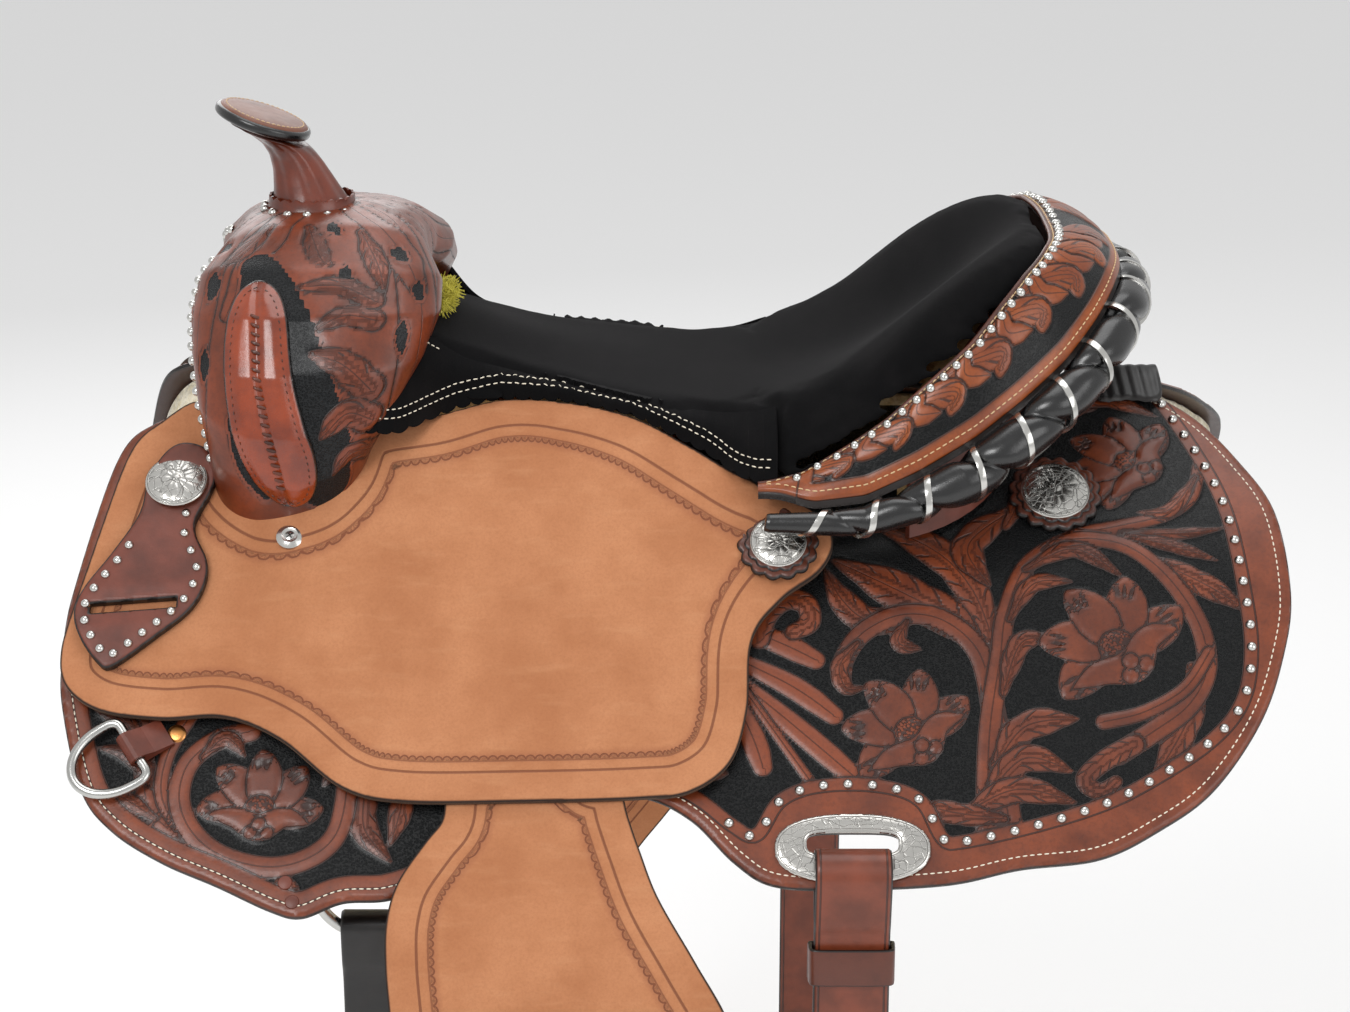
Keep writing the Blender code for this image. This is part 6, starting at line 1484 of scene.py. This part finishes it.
def jockey_edge(x):
    """Where the seat's side lies: the jockey's upper edge, and ahead of it the fork's rear corner."""
    s_edge = np.interp(x, [-0.175, -0.142, -0.106, -0.070, -0.027, 0.009, 0.036, 0.062],
                       [0.086, 0.081, 0.071, 0.072, 0.086, 0.106, 0.120, 0.129])
    point = on_jockey(x, s_edge - 0.002, x * 0 + JOCKEY_TOP + 0.0016)
    ahead = ease((-0.130 - x) / 0.040)
    y = np.interp(x, [-0.190, -0.175, -0.160, -0.145, -0.130], [0.1345, 0.1290, 0.1215, 0.1145, 0.1090])
    z = np.interp(x, [-0.190, -0.164, -0.130], [0.0925, 0.0880, 0.0900])
    tip = ease((x - 0.020) / 0.040)
    y = point[..., 1] + (y - point[..., 1]) * ahead
    z = point[..., 2] + (z - point[..., 2]) * ahead
    return np.stack([x, y + (0.1420 - y) * tip, z + (0.0640 - z) * tip], -1)


def side_top(x):
    """The panel's upper line: its own stitched edge beside the fork, then just inside the pad's crest."""
    half, crest = seat_half(x), smooth_table(x, SEAT_CREST)
    y = 0.82 * half
    ahead = ease((-0.120 - x) / 0.035)
    y = y + (np.interp(x, [-0.188, -0.170, -0.155, -0.130], [0.1180, 0.1080, 0.0960, 0.0840]) - y) * ahead
    z = crest - 0.0020 + (np.interp(x, [-0.188, -0.155, -0.120], [0.1490, 0.1440, 0.1230]) - crest + 0.002) * ahead
    return np.stack([x, y, z], -1)


def seat_side(name, side):
    """The suede side of the seat: it laps the jockey with a pinked edge and two rows of stitches."""
    count, steps = 420, 26
    x = np.linspace(-0.1885, 0.0600, count)
    v = np.linspace(0, 1, steps)
    low, top = jockey_edge(x), side_top(x)
    lobe = np.abs(np.sin(math.pi * x / 0.0088))
    low[:, 2] -= 0.0032 * np.sqrt(lobe)
    low[:, 1] += 0.0006
    sheet = low[:, None] + (top - low)[:, None] * v[None, :, None]
    belly = 0.0065 * np.sin(math.pi * v) * ease((x + 0.19) / 0.05)[:, None]
    sheet[..., 1] += belly * 0.8
    sheet[..., 2] += belly * 0.5
    normal = np.cross(np.gradient(sheet, axis=0), np.gradient(sheet, axis=1))
    normal = unit(normal)
    normal *= np.sign(normal[..., 1:2])
    inner = sheet - normal * 0.0030
    ring = np.concatenate([sheet, inner[:, ::-1]], 1)
    verts = ring.reshape(-1, 3) * np.array([1, side, 1])
    faces = outward(verts, tube_faces(count, ring.shape[1]))
    piece(f"seat_side_{name}", verts, faces, "saddle", SUEDE, None, 50)
    mirror = np.array([1, side, 1])

    def row(points, ups, spacing):
        """Frames at even steps along a line on the panel."""
        length = run_along(points)
        at = np.arange(0.001, length[-1] - 0.001, spacing)
        here, ahead, up = (read_line(at + step, length, v) * mirror
                           for step, v in ((0, points), (0.0006, points), (0, ups)))
        return frames_of(here + up * 0.0002, ahead - here, up)

    span = np.linalg.norm(top - low, axis=1)
    places = []
    for height in (0.0085, 0.0135):
        share = np.clip(height / span, 0, 0.95) * (steps - 1)
        k = np.floor(share).astype(int)
        part = (share - k)[:, None]
        who = np.arange(count)
        begin = 14 if height < 0.010 else 22
        line = (sheet[who, k] * (1 - part) + sheet[who, k + 1] * part)[begin:]
        line[:, 2] = soften(line[:, 2].copy(), 60)
        places += row(line, normal[who, k][begin:], SIDE_STITCH_STEP)
    column = sheet[14, 4:-3]
    places += row(column, normal[14, 4:-3], SIDE_STITCH_STEP)
    upper = sheet[14:80, -4]
    places += row(upper, normal[14:80, -4], SIDE_STITCH_STEP)
    scatter(f"seat_stitches_{name}", STITCH * 0.9, STITCH_FACES, places, "saddle", THREAD)


def seat_trim():
    """The seat's sides, and the tuft of fleece and dark wool that show in the hand hole."""
    for name, side in SIDES.items():
        seat_side(name, side)
    rng = np.random.default_rng(11)
    for name, at, size, look, count in (("fleece", (-0.150, 0.0, 0.1385), (0.016, 0.050, 0.007), YELLOW_WOOL, 900),
                                        ("wool", (-0.158, 0.0, 0.1420), (0.010, 0.040, 0.008), BLACK_WOOL, 700)):
        ball = unit(rng.normal(size=(count, 3)))
        root = np.array(at) + ball * np.array(size) * rng.uniform(0.5, 1.0, (count, 1))
        way = ball + rng.normal(size=(count, 3)) * 0.6
        way = unit(way)
        up = np.cross(way, rng.normal(size=(count, 3)))
        hair, hair_faces = capsule(0.0075, 0.00030, 4)
        scatter(f"hand_hole_{name}", hair, hair_faces, frames_of(root, way, up), "saddle", look)


# ---- cantle ----
def rim_point(size, table, phi, outward_by=0.0, rise=0.0):
    """A point of the cantle's rim, a rounded square in plan, and the way out from it."""
    length, half, square = size
    beyond = np.maximum(np.abs(phi) - 90.0, 0.0)
    angle = np.radians(np.clip(phi, -90, 90))
    x = CANTLE_START + length * np.maximum(np.cos(angle), 0) ** (2 / square)
    y = half * np.sign(phi) * np.abs(np.sin(angle)) ** (2 / square)
    z = np.interp(x, [p[0] for p in table], [p[1] for p in table])
    away = np.stack([(x - CANTLE_START) / length ** 2, y / half ** 2, 0 * x], -1)
    away = unit(away)
    point = np.stack([x, y, z + rise], -1) + away * outward_by
    point[..., 0] -= beyond * 0.001
    point[..., 2] -= beyond * 0.00010
    return point, away


def even_phi(count, reach=96.0):
    """Angles that space points evenly along the rim's outer edge."""
    phi = np.linspace(-reach, reach, 2001)
    line, _ = rim_point(RIM_OUTER_SIZE, RIM_OUTER, phi)
    length = run_along(line)
    at = np.linspace(0, length[-1], count)
    return np.interp(at, length, phi), at


def soften(values, times=6):
    """Averages each value with its neighbours, a number of times."""
    for _ in range(times):
        values[1:-1] = (values[:-2] + 2 * values[1:-1] + values[2:]) / 4
    return values


def roll_strip(count, steps):
    """The roll between the cantle's inner and outer edges: points, normals, run along and width across."""
    phi, run = even_phi(count)
    inner, _ = rim_point(RIM_INNER_SIZE, RIM_INNER, phi, 0.0012, 0.0012)
    outer, _ = rim_point(RIM_OUTER_SIZE, RIM_OUTER, phi)
    inner, outer = soften(inner), soften(outer)
    close = (1 - ease(np.minimum(run, run[-1] - run) / 0.035)) * 0.62
    middle = inner * 0.72 + outer * 0.28 + np.array([0, 0, 0.0015])
    inner, outer = inner + (middle - inner) * close[:, None], outer + (middle - outer) * close[:, None]
    wide = np.linalg.norm(outer - inner, axis=1)
    t = np.linspace(0, 1, steps)
    bulge = 0.036 * (t * (1 - t))[None] * np.minimum(1, wide / 0.05)[:, None]
    points = inner[:, None] + (outer - inner)[:, None] * t[None, :, None]
    points[..., 2] += bulge
    normal = np.cross(np.gradient(points, axis=1), np.gradient(points, axis=0))
    normal = unit(normal)
    normal *= np.sign(normal[..., 2:3].mean() + 1e-9)
    return points, normal, run, wide, t


def cantle():
    """The cantle roll: a leaf band with studs along its inner edge, on dyed ground, stitched at both edges."""
    count, steps = ((620, 44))
    points, normal, run, wide, t = roll_strip(count, steps)
    half = run[-1] / 2
    signed = run - half
    chart = np.stack([np.broadcast_to(signed[:, None], (count, steps)), wide[:, None] * t[None]], -1).reshape(-1, 2)
    tool = Tooling(chart)
    for sign in (-1, 1):
        for k, s0 in enumerate(np.arange(0.012, half - 0.045, 0.040)):
            w = float(np.interp(half - s0, [0, 0.04, 0.12, half], [0.015, 0.022, 0.034, 0.048]))
            tool.stroke([(sign * (s0 + 0.044), 0.22 * w), (sign * (s0 + 0.024), 0.34 * w),
                         (sign * (s0 + 0.004), 0.64 * w), (sign * (s0 + 0.010), 0.78 * w)],
                        np.array([0.16, 0.24, 0.27, 0.24, 0.12]) * w * 1000,
                        rise=1.1, veins=0.3, lobes=0.10, lobe_count=2, tone=0.3 - 0.3 * (k % 2))
            tool.stroke([(sign * (s0 + 0.030), 0.20 * w), (sign * (s0 + 0.034), 0.48 * w),
                         (sign * (s0 + 0.018), 0.74 * w)],
                        np.array([0.14, 0.20, 0.15, 0.03]) * w * 1000, rise=1.2, tone=0.1)
    across = (wide[:, None] * t[None] * 1000).ravel()
    rest = ((wide[:, None] * (1 - t[None])) * 1000).ravel()
    ends = (half - np.abs(signed))[:, None].repeat(steps, 1).ravel() * 1000
    tool.border(np.minimum(np.minimum(across - 3.6, rest - 8.5), ends - 30))
    lift = (tool.height / 1000).reshape(count, steps)[..., None]
    fringe = ease(np.minimum(t, 1 - t) * wide[:, None] / 0.002)[..., None]
    upper = points + normal * (lift * fringe - 0.0006 * (1 - fringe))
    lower = points - np.array([0, 0, 0.0038])
    ring = np.concatenate([upper, lower[:, ::-1]], 1)
    verts = ring.reshape(-1, 3)
    faces = outward(verts, tube_faces(count, ring.shape[1]))
    values = tool.attributes()
    edge_gap = np.minimum(across, rest)
    values["rim"] = edge_gap
    values = {k: np.concatenate([v.reshape(count, steps), np.full((count, steps), 0 if k == "rim" else 9.0)],
                                1).ravel() for k, v in values.items()}
    piece("cantle_band", verts, faces, "saddle", ORANGE_TOOLED, values, 50, ("cantle_roll",))

    def row(offset, from_inner, spacing, start, lift_by):
        """Frames at even steps along the roll, at a distance from its inner or outer edge."""
        share = np.clip((offset / wide if from_inner else 1 - offset / wide), 0.02, 0.98)
        at = share * (steps - 1)
        low = np.floor(at).astype(int).clip(0, steps - 2)
        part = (at - low)[:, None]
        who = np.arange(count)
        line = upper[who, low] * (1 - part) + upper[who, low + 1] * part
        up = normal[who, low]
        places = np.arange(start, run[-1] - start, spacing)
        here, ahead, ups = (read_line(places + step, run, v) for step, v in ((0, line), (0.0005, line), (0, up)))
        return frames_of(here + ups * lift_by, ahead - here, ups)

    scatter("cantle_studs", STUD * 0.95, STUD_FACES, row(0.0062, True, 0.0118, 0.020, 0.0), "saddle", SILVER)
    scatter("cantle_stitches_inner", STITCH, STITCH_FACES, row(0.0022, True, STITCH_STEP, 0.006, -0.0001), "saddle",
            DARK_THREAD)
    scatter("cantle_stitches_outer", STITCH, STITCH_FACES, row(0.0045, False, 0.0044, 0.006, -0.0001), "saddle",
            DARK_THREAD)
    welt = upper[:, 0] + np.array([0, 0, 0.0004])
    verts, faces = sweep(welt, circle(0.0017, 10))
    piece("cantle_welt", verts, outward(verts, faces), "saddle", ROSETTE_LEATHER,
          unedged(verts), 0)
    binding()


def binding():
    """The laced binding under the roll: two fat black strands twisted like a rope, with silver bands between them."""
    count = 1400
    phi, _ = even_phi(count, 92.0)
    taper = np.minimum(1.0, 0.36 + (92 - np.abs(phi)) / 42)
    radius = 0.0142 * taper
    centre, away = rim_point(RIM_OUTER_SIZE, RIM_OUTER, phi, 0.005, -0.0043)
    centre[:, 2] -= radius
    centre = soften(centre, 20)
    length = run_along(centre)
    middle = length[-1] / 2
    pitch = 0.046
    a = around(44)
    phase = np.abs(length - middle)[:, None] / pitch * 2 * math.pi
    rope = ease((middle - np.abs(length - middle)) / 0.05 - 0.35)[:, None]
    lobe = np.abs(np.cos((a[None] * np.sign(middle - length)[:, None] + phase) * 0.5))
    deep = 1 - 0.36 * rope * (1 - lobe) ** 2.4
    profile = radius[:, None, None] * deep[..., None] * np.stack([np.cos(a), np.sin(a)], -1)[None]
    verts, faces = sweep(centre, profile, normals=away)
    piece("cantle_binding_rope", verts, outward(verts, faces), "saddle", BLACK_GLOSS, unedged(verts), 0,
          ("cantle_binding",))
    tangent = np.gradient(centre, axis=0)
    tangent = unit(tangent)
    first = away - tangent * (away * tangent).sum(-1)[:, None]
    first = unit(first)
    second = np.cross(tangent, first)
    blocks, quads, offset = [], [], 0
    for sign in (-1, 1):
        for k in range(40):
            mid = 0.018 + k * 0.0335
            if mid > middle - 0.028:
                break
            b = np.linspace(-0.62 * math.pi, 0.95 * math.pi, 26)
            where = middle + sign * (mid + b / (2 * math.pi) * pitch * 0.62)
            p, f, g, r = (read_line(where, length, v) for v in (centre, first, second, radius[:, None]))
            turn = -sign * b
            out = f * np.cos(turn)[:, None] + g * np.sin(turn)[:, None]
            out = unit(out)
            path = p + out * (r * 0.985)
            side_way = np.cross(np.gradient(path, axis=0), out)
            side_way = unit(side_way)
            ring = [path + out * 0.0009 - side_way * 0.0019, path + out * 0.0012, path + out * 0.0009
                    + side_way * 0.0019, path - out * 0.0012 + side_way * 0.0019, path - out * 0.0012
                    - side_way * 0.0019]
            block = np.stack(ring, 1).reshape(-1, 3)
            faces = outward(block, tube_faces(len(b), len(ring)))
            blocks.append(block)
            quads += [np.asarray(x) + offset for x in faces]
            offset += len(block)
    piece("cantle_silver_bands", np.concatenate(blocks), quads, "saddle", SILVER, None, 50)


# ---- hung leathers and metal ----
def ribbon(name, path, width, thick, x, side, body, look, replaces):
    """A strap: a path in (distance from the middle plane, z), given a width along x and rounded edges."""
    line = smooth_curve(path, 0.0022, closed=False)
    n = 26
    across = np.concatenate([np.linspace(-0.5, 0.5, n), np.linspace(0.5, -0.5, n)])
    level = np.concatenate([np.full(n, 0.5), np.full(n, -0.5)])
    edge = np.minimum(1, (0.5 - np.abs(across)) * width / 0.0011)
    level = level * (0.35 + 0.65 * np.sqrt(np.clip(edge * (2 - edge), 0, 1)))
    tangent = np.gradient(line, axis=0)
    tangent = unit(tangent)
    normal = np.stack([-tangent[:, 1], tangent[:, 0]], -1)
    d = level * thick
    points = line[:, None] + normal[:, None] * d[None, :, None]
    verts = np.stack([np.broadcast_to(x + across * width, points.shape[:2]), side * points[..., 0],
                      points[..., 1]], -1)
    count = verts.shape[1]
    verts = verts.reshape(-1, 3)
    faces = outward(verts, tube_faces(len(line), count))
    rim = np.broadcast_to((0.5 - np.abs(across)) * width * 1000, (len(line), count)).ravel()
    piece(name, verts, faces, body, look, {"rim": rim, "edged": np.ones(len(verts))}, 0, replaces)


def arc(centre, radius, start, end, count):
    """Points of an arc between two angles in degrees."""
    a = np.radians(np.linspace(start, end, count))
    return [(centre[0] + radius * math.cos(k), centre[1] + radius * math.sin(k)) for k in a]


def flank(name, side):
    """The engraved slot plate, the flank billet through it and the billet's keeper."""
    local = local_frame(on_side, PLATE_X, PLATE_S, SKIRT_TOP + 0.0006, side)
    a = around(90)
    oval = np.stack([0.045 * squarish(np.cos(a), 0.85), 0.021 * squarish(np.sin(a), 0.85)], -1)
    a = around(60)
    middle = (SLOT_LOW_S - SLOT_HEIGHT / 2 - PLATE_S)
    rows, centre = local
    down = place(on_side, PLATE_X, PLATE_S + middle, SKIRT_TOP + 0.0006, side) - centre
    hole = np.stack([0.0265 * squarish(np.cos(a), 0.45) + down.dot(rows[0]),
                     0.0066 * squarish(np.sin(a), 0.6) + down.dot(rows[1])], -1)
    cut = pattern(oval, 0.0009, [hole], smooth=False)
    crown = 0.0007 * ease(cut["inner"] / 0.005)
    lay(f"slot_plate_silver_{name}", cut, in_frame(local), 1.0, 0.0, 0.0018, "saddle", ENGRAVED, crown,
        0.0009, replaces=(f"slot_plate_{name}",))
    pivot = place(on_side, PLATE_X, (SLOT_LOW_S + HEM_S) / 2, (SKIRT_TOP + 0.0025) / 2, 1.0)[1:]
    bend_radius, neck = 0.0127, pivot[1] - 0.040
    path = [(pivot[0] + 0.0022, pivot[1] - drop) for drop in (BILLET_DROP, 0.34, 0.25, 0.15)]
    path += [(pivot[0] + 0.0024, neck - 0.03), (pivot[0] + 0.0024, neck), (pivot[0] + 0.0060, neck + 0.012)]
    path += arc(pivot, bend_radius, -14, 194, 15)
    path += [(pivot[0] - 0.0070, neck + 0.014), (pivot[0] - 0.0016, neck + 0.004), (pivot[0] - 0.0016, neck - 0.02),
             (pivot[0] - 0.0016, neck - 0.052)]
    billet = f"flank_billet_{name}"
    ribbon(f"billet_strap_{name}", path, BILLET_WIDTH, STRAP_THICKNESS, PLATE_X, side, billet, STRAP_LEATHER,
           (billet,))
    mid = (pivot[0] + 0.0004, neck - 0.0165)
    half, deep, r = 0.0235, 0.0060, 0.0030
    loop = np.array([(PLATE_X + half, -deep + r), (PLATE_X + half, deep - r), (PLATE_X + half - r, deep),
                     (PLATE_X, deep + 0.0004), (PLATE_X - half + r, deep), (PLATE_X - half, deep - r),
                     (PLATE_X - half, -deep + r), (PLATE_X - half + r, -deep), (PLATE_X + half - r, -deep)])
    line = smooth_curve(loop, 0.0015)
    path = np.stack([line[:, 0], side * (mid[0] + 0.0003 + line[:, 1]), np.full(len(line), mid[1])], -1)
    verts, faces = sweep(path, rounded(0.0228, 0.0025, 0.0010, 4), closed=True, normals=(0, 0, 1.0))
    rim = (0.0114 - np.abs(verts[:, 2] - mid[1])) * 1000
    piece(f"billet_loop_{name}", verts, outward(verts, faces), f"billet_keeper_{name}", STRAP_LEATHER,
          {"rim": rim, "edged": np.ones(len(verts))}, 0, (f"billet_keeper_{name}",))


def fender_piece(name, side, cut):
    """Stirrup leather and fender as one leather that folds where it swings out from under the jockey."""
    obj = lay(f"fender_leather_{name}", cut, on_fender, side, FENDER_LOW + 0.0001, FENDER_LOW + FENDER_THICKNESS
              - 0.0001, None, ROUGH, replaces=(f"stirrup_leather_{name}", f"fender_{name}"), edge=0.0012)
    start = place(on_fender, LEATHER_X, HINGE_S - 0.007, 0.0077, side)
    end = place(on_fender, LEATHER_X, HINGE_S + 0.007, 0.0077, side)
    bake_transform(obj, f"stirrup_leather_{name}", f"fender_{name}", start=tuple(start), end=tuple(end))


def stirrup(name, side):
    """The leather-wrapped stirrup, its stitches, its bolt, and the fender's loop round the bolt."""
    bolt = place(on_fender, STIRRUP_X, HINGE_S + FENDER_LENGTH, FENDER_LOW + FENDER_THICKNESS / 2, side)
    body = f"stirrup_{name}"
    neck, wide, bottom, wood = 0.0375, 0.0625, -0.142, 0.010
    half = [(neck + 0.005, 0.0130), (neck + 0.005, 0.0), (neck + 0.006, -0.012), (neck + 0.0140, -0.050),
            (wide - 0.0005, -0.092), (wide + 0.005, bottom + 0.031), (wide + 0.0015, bottom + 0.015),
            (wide - 0.010, bottom + 0.008)]
    line = half + [(0.02, bottom + 0.008), (-0.02, bottom + 0.008)] + [(-x, z) for x, z in half[::-1]]
    path = smooth_curve(line, 0.0025, closed=False)
    deep = 0.014 + (0.026 - 0.014) * ease((-path[:, 1] - 0.02) / 0.112)
    a = around(32)
    shape = np.stack([squarish(np.cos(a), 0.55), squarish(np.sin(a), 0.35)], -1)
    thick = np.full(len(path), wood / 2 - 0.0002)
    profile = np.stack([shape[None, :, 0] * thick[:, None], shape[None, :, 1] * deep[:, None]], -1)
    points = np.stack([bolt[0] + path[:, 0], np.full(len(path), bolt[1]), bolt[2] + path[:, 1]], -1)
    tangent = np.gradient(path, axis=0)
    tangent = unit(tangent)
    normal = np.stack([-tangent[:, 1], 0 * path[:, 0], tangent[:, 0]], -1)
    verts, faces = sweep(points, profile, normals=normal)
    piece(f"stirrup_wrap_{name}", verts, outward(verts, faces), body, STIRRUP_LEATHER,
          unedged(verts), 50, (body,))
    keep = (path[:, 1] < -0.015)
    outside = points[keep] - normal[keep] * (wood / 2)
    places = []
    for shift in (-1, 1):
        edge_line = outside + np.array([0, 1.0, 0]) * (shift * (deep[keep] * 0.80))[:, None]
        length = run_along(edge_line)
        e = read_line(np.arange(0, length[-1], 0.0046), length, edge_line)
        nn = np.stack([np.interp(np.linspace(0, 1, len(e)), np.linspace(0, 1, keep.sum()), normal[keep][:, k])
                       for k in range(3)], -1)
        places += frames_of(e[:-1], np.diff(e, axis=0), -nn[:-1])
    scatter(f"stirrup_stitches_{name}", STITCH, STITCH_FACES, places, body, THREAD)
    bolt_rows = (np.array([[0, 1.0, 0], [0, 0, 1.0], [1.0, 0, 0]]), bolt)
    end = neck + wood + 0.0015
    profile = [(0.0004, end + 0.0040), (0.0050, end + 0.0040), (0.0080, end + 0.0036), (0.0090, end + 0.0026),
               (0.0090, end), (0.0050, end - 0.0002), (0.0050, -end), (0.0090, -end), (0.0090, -end - 0.0026),
               (0.0080, -end - 0.0036), (0.0004, -end - 0.0040)]
    verts, faces, rim = turned(*bolt_rows, profile, 40)
    piece(f"stirrup_bolt_steel_{name}", verts, faces, body, STEEL, {"rim": rim * 0 + 9}, 40,
          (f"stirrup_bolt_{name}",))
    a = around(30)
    r0, r1 = 0.0058, 0.0095
    w = 0.0330
    ring = [(r0, -w), (r0, w), (r1 - 0.001, w), (r1, w - 0.001), (r1, -w + 0.001), (r1 - 0.001, -w)]
    verts = np.stack([np.array([h for _, h in ring])[:, None] + bolt[0] + 0 * a,
                      bolt[1] + np.array([r for r, _ in ring])[:, None] * np.cos(a),
                      bolt[2] + np.array([r for r, _ in ring])[:, None] * np.sin(a)], -1).reshape(-1, 3)
    faces = outward(verts, [grid_faces(len(ring), 30, close_rows=True, close_columns=True)])
    piece(f"stirrup_loop_{name}", verts, faces, f"fender_{name}", ROUGH,
          {"rim": np.full(len(verts), 40.0), "along": np.full(len(verts), 0.0)}, 40)


def metal(name, side):
    """The breast collar dee, the rigging ring and the strap that hangs from it."""
    flip = 1 if side < 0 else -1
    turn = -DEE_TURN * flip
    rows, centre = local_frame(on_side, DEE_AT[0], DEE_AT[1], SKIRT_TOP + DEE_WIRE + 0.0035, side, turn)
    half, depth = 0.0165, 0.042
    bow = [(half, 0), (half + 0.0035, -0.0035 * flip), (half + 0.004, -0.008 * flip)]
    bow += [(math.cos(a) * (half + 0.004), flip * (-0.010 - math.sin(a) * (depth - 0.014)))
            for a in np.radians(np.linspace(0, 180, 13))]
    bow += [(-half - 0.004, -0.008 * flip), (-half - 0.0035, -0.0035 * flip), (-half, 0), (-0.006, 0), (0.006, 0)]
    line = smooth_curve(bow, 0.0012)
    path = centre + line[:, :1] * rows[0] + line[:, 1:] * rows[1]
    verts, faces = sweep(path, circle(DEE_WIRE, 16), closed=True, normals=rows[2])
    piece(f"breast_dee_wire_{name}", verts, outward(verts, faces), f"breast_dee_{name}", STEEL,
          {"rim": np.full(len(verts), 9.0)}, 0, (f"breast_dee_{name}",))
    top = place(on_side, RING_X, RING_TOP_S, RING_D, 1.0)
    a = around(120)
    middle = np.array([RING_X, side * top[1], top[2] - RING_RADIUS])
    path = middle + np.stack([RING_RADIUS * np.cos(a), 0 * a, RING_RADIUS * np.sin(a)], -1)
    verts, faces = sweep(path, circle(RING_WIRE, 16), closed=True, normals=(0, 1.0, 0))
    piece(f"rigging_ring_wire_{name}", verts, outward(verts, faces), f"rigging_ring_{name}", STEEL,
          {"rim": np.full(len(verts), 9.0)}, 0, (f"rigging_ring_{name}",))
    y, z = top[1], top[2] - 2 * RING_RADIUS
    path = [(y + 0.0018, z - drop) for drop in (LATIGO_DROP, 0.30, 0.20, 0.10, 0.034)]
    path += [(y + 0.0062, z - 0.014)] + arc((y, z + 0.0055), 0.0082, 0, 180, 13) + [(y - 0.0062, z - 0.014)]
    path += [(y - 0.0018, z - drop) for drop in (0.034, 0.08, 0.12)]
    node = "latigo" if side < 0 else "off_billet"
    look, slot = (BLACK_LEATHER, "black") if side < 0 else (STRAP_LEATHER, "smooth")
    ribbon(f"{node}_strap", path, LATIGO_WIDTH, STRAP_THICKNESS, RING_X, side, node, look, (node,))


def lace():
    """The black lace that ties the skirts behind the cantle."""
    cut = pattern([(-0.020, -0.026), (-0.021, 0.0), (-0.020, 0.026), (0.0, 0.0265), (0.020, 0.026), (0.021, 0.0),
                   (0.020, -0.026), (0.0, -0.0265)], 0.0012)
    slope = math.tan(math.radians(RIDGE_SLOPE))

    def over(x, s, d):
        """A small roof over the ridge."""
        z = RIDGE_HEIGHT + (RIDGE_HALF_GAP - np.hypot(s, 0.004)) * slope + 0.0056 / math.cos(
            math.radians(RIDGE_SLOPE)) + 0.0016
        z = z + d + 0.0006 * np.abs(np.sin(x * 420 + 40 * s))
        return np.stack([x + 0.283, s, z], -1)

    lay("skirt_tie", cut, over, 1.0, 0.0, 0.0026, "saddle", BLACK_LEATHER, 0.0, 0.0012,
        {"edged": np.ones(len(cut["p"]))}, ("skirt_lace",))


def finish_solids():
    """Carried-over solids: a better material, and rounded edges where they show."""
    for name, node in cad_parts.items():
        look = None
        if name.startswith(("tree_", "ground_seat")):
            look = WOOD
        elif name.startswith(("dee_clip", "rigging_strap", "cantle_back")):
            look = KEEPER_LEATHER
        if look is None:
            continue
        node.data.materials.clear()
        node.data.materials.append(look)
        if not name.startswith("tree_"):
            bevel = node.modifiers.new("edges", "BEVEL")
            bevel.width = 0.0005
            bevel.segments = 2
            bevel.limit_method = "ANGLE"


# ---- stage ----
CAMERA_ELEVATION, CAMERA_DISTANCE, CAMERA_LENS = 18.0, 2.0, 83.33  # degrees, metres, millimetres


def stage():
    """A pale floor, a white surround, four soft lamps and the camera."""
    scene = bpy.context.scene
    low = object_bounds()[0].z
    bpy.ops.mesh.primitive_plane_add(size=30, location=(0, 0, low - 0.0005))
    floor = bpy.context.object
    floor.name = "floor"
    m = Look("pale_floor", 0.9)
    m.put("Base Color", colour("#f7f7f7"))
    floor.data.materials.append(m.material)
    floor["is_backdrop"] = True
    world = bpy.data.worlds.new("studio")
    scene.world = world
    world.use_nodes = True
    back = world.node_tree.nodes["Background"]
    back.inputs["Color"].default_value = (1.0, 1.0, 1.0, 1)
    seen = world.node_tree.nodes.new("ShaderNodeLightPath")
    bright = world.node_tree.nodes.new("ShaderNodeMapRange")
    bright.inputs["To Min"].default_value, bright.inputs["To Max"].default_value = 0.70, 1.0
    world.node_tree.links.new(seen.outputs["Is Camera Ray"], bright.inputs["Value"])
    world.node_tree.links.new(bright.outputs["Result"], back.inputs["Strength"])
    for name, at, aim, size, power in (("key", (-1.1, -2.3, 1.9), (0, 0, 0.0), 1.2, 38),
                                       ("fill", (2.0, -1.9, 0.9), (0.05, 0, 0.0), 1.6, 16),
                                       ("top", (0.2, 0.4, 2.4), (0, 0, 0), 1.6, 16),
                                       ("back", (-0.6, 2.2, 1.2), (0, 0, 0), 1.6, 14)):
        lamp = bpy.data.lights.new(name, "AREA")
        lamp.size = size
        lamp.energy = power
        obj = bpy.data.objects.new(name, lamp)
        obj.location = at
        obj.rotation_mode = "QUATERNION"
        obj.rotation_quaternion = (Vector(aim) - Vector(at)).to_track_quat("-Z", "Y")
        scene.collection.objects.link(obj)
    camera = bpy.data.cameras.new("camera")
    camera.sensor_width = 36
    camera.lens = CAMERA_LENS
    view = bpy.data.objects.new("camera", camera)
    elevation, distance = math.radians(CAMERA_ELEVATION), CAMERA_DISTANCE
    view.location = (0, -distance * math.cos(elevation), distance * math.sin(elevation))
    view.rotation_mode = "QUATERNION"
    view.rotation_quaternion = (-view.location).to_track_quat("-Z", "Y")
    scene.collection.objects.link(view)
    scene.camera = view
    scene.view_settings.view_transform = "Standard"


def main():
    """Makes every piece, side by side where there are two."""
    skirts()
    fleeces()
    side_pieces()
    fork()
    horn()
    seat()
    cantle()
    cut = pattern(FENDER, 0.0026)
    for name, side in SIDES.items():
        fender_piece(name, side, cut)
        stirrup(name, side)
        flank(name, side)
        metal(name, side)
    lace()
    finish_solids()
    stage()


main()
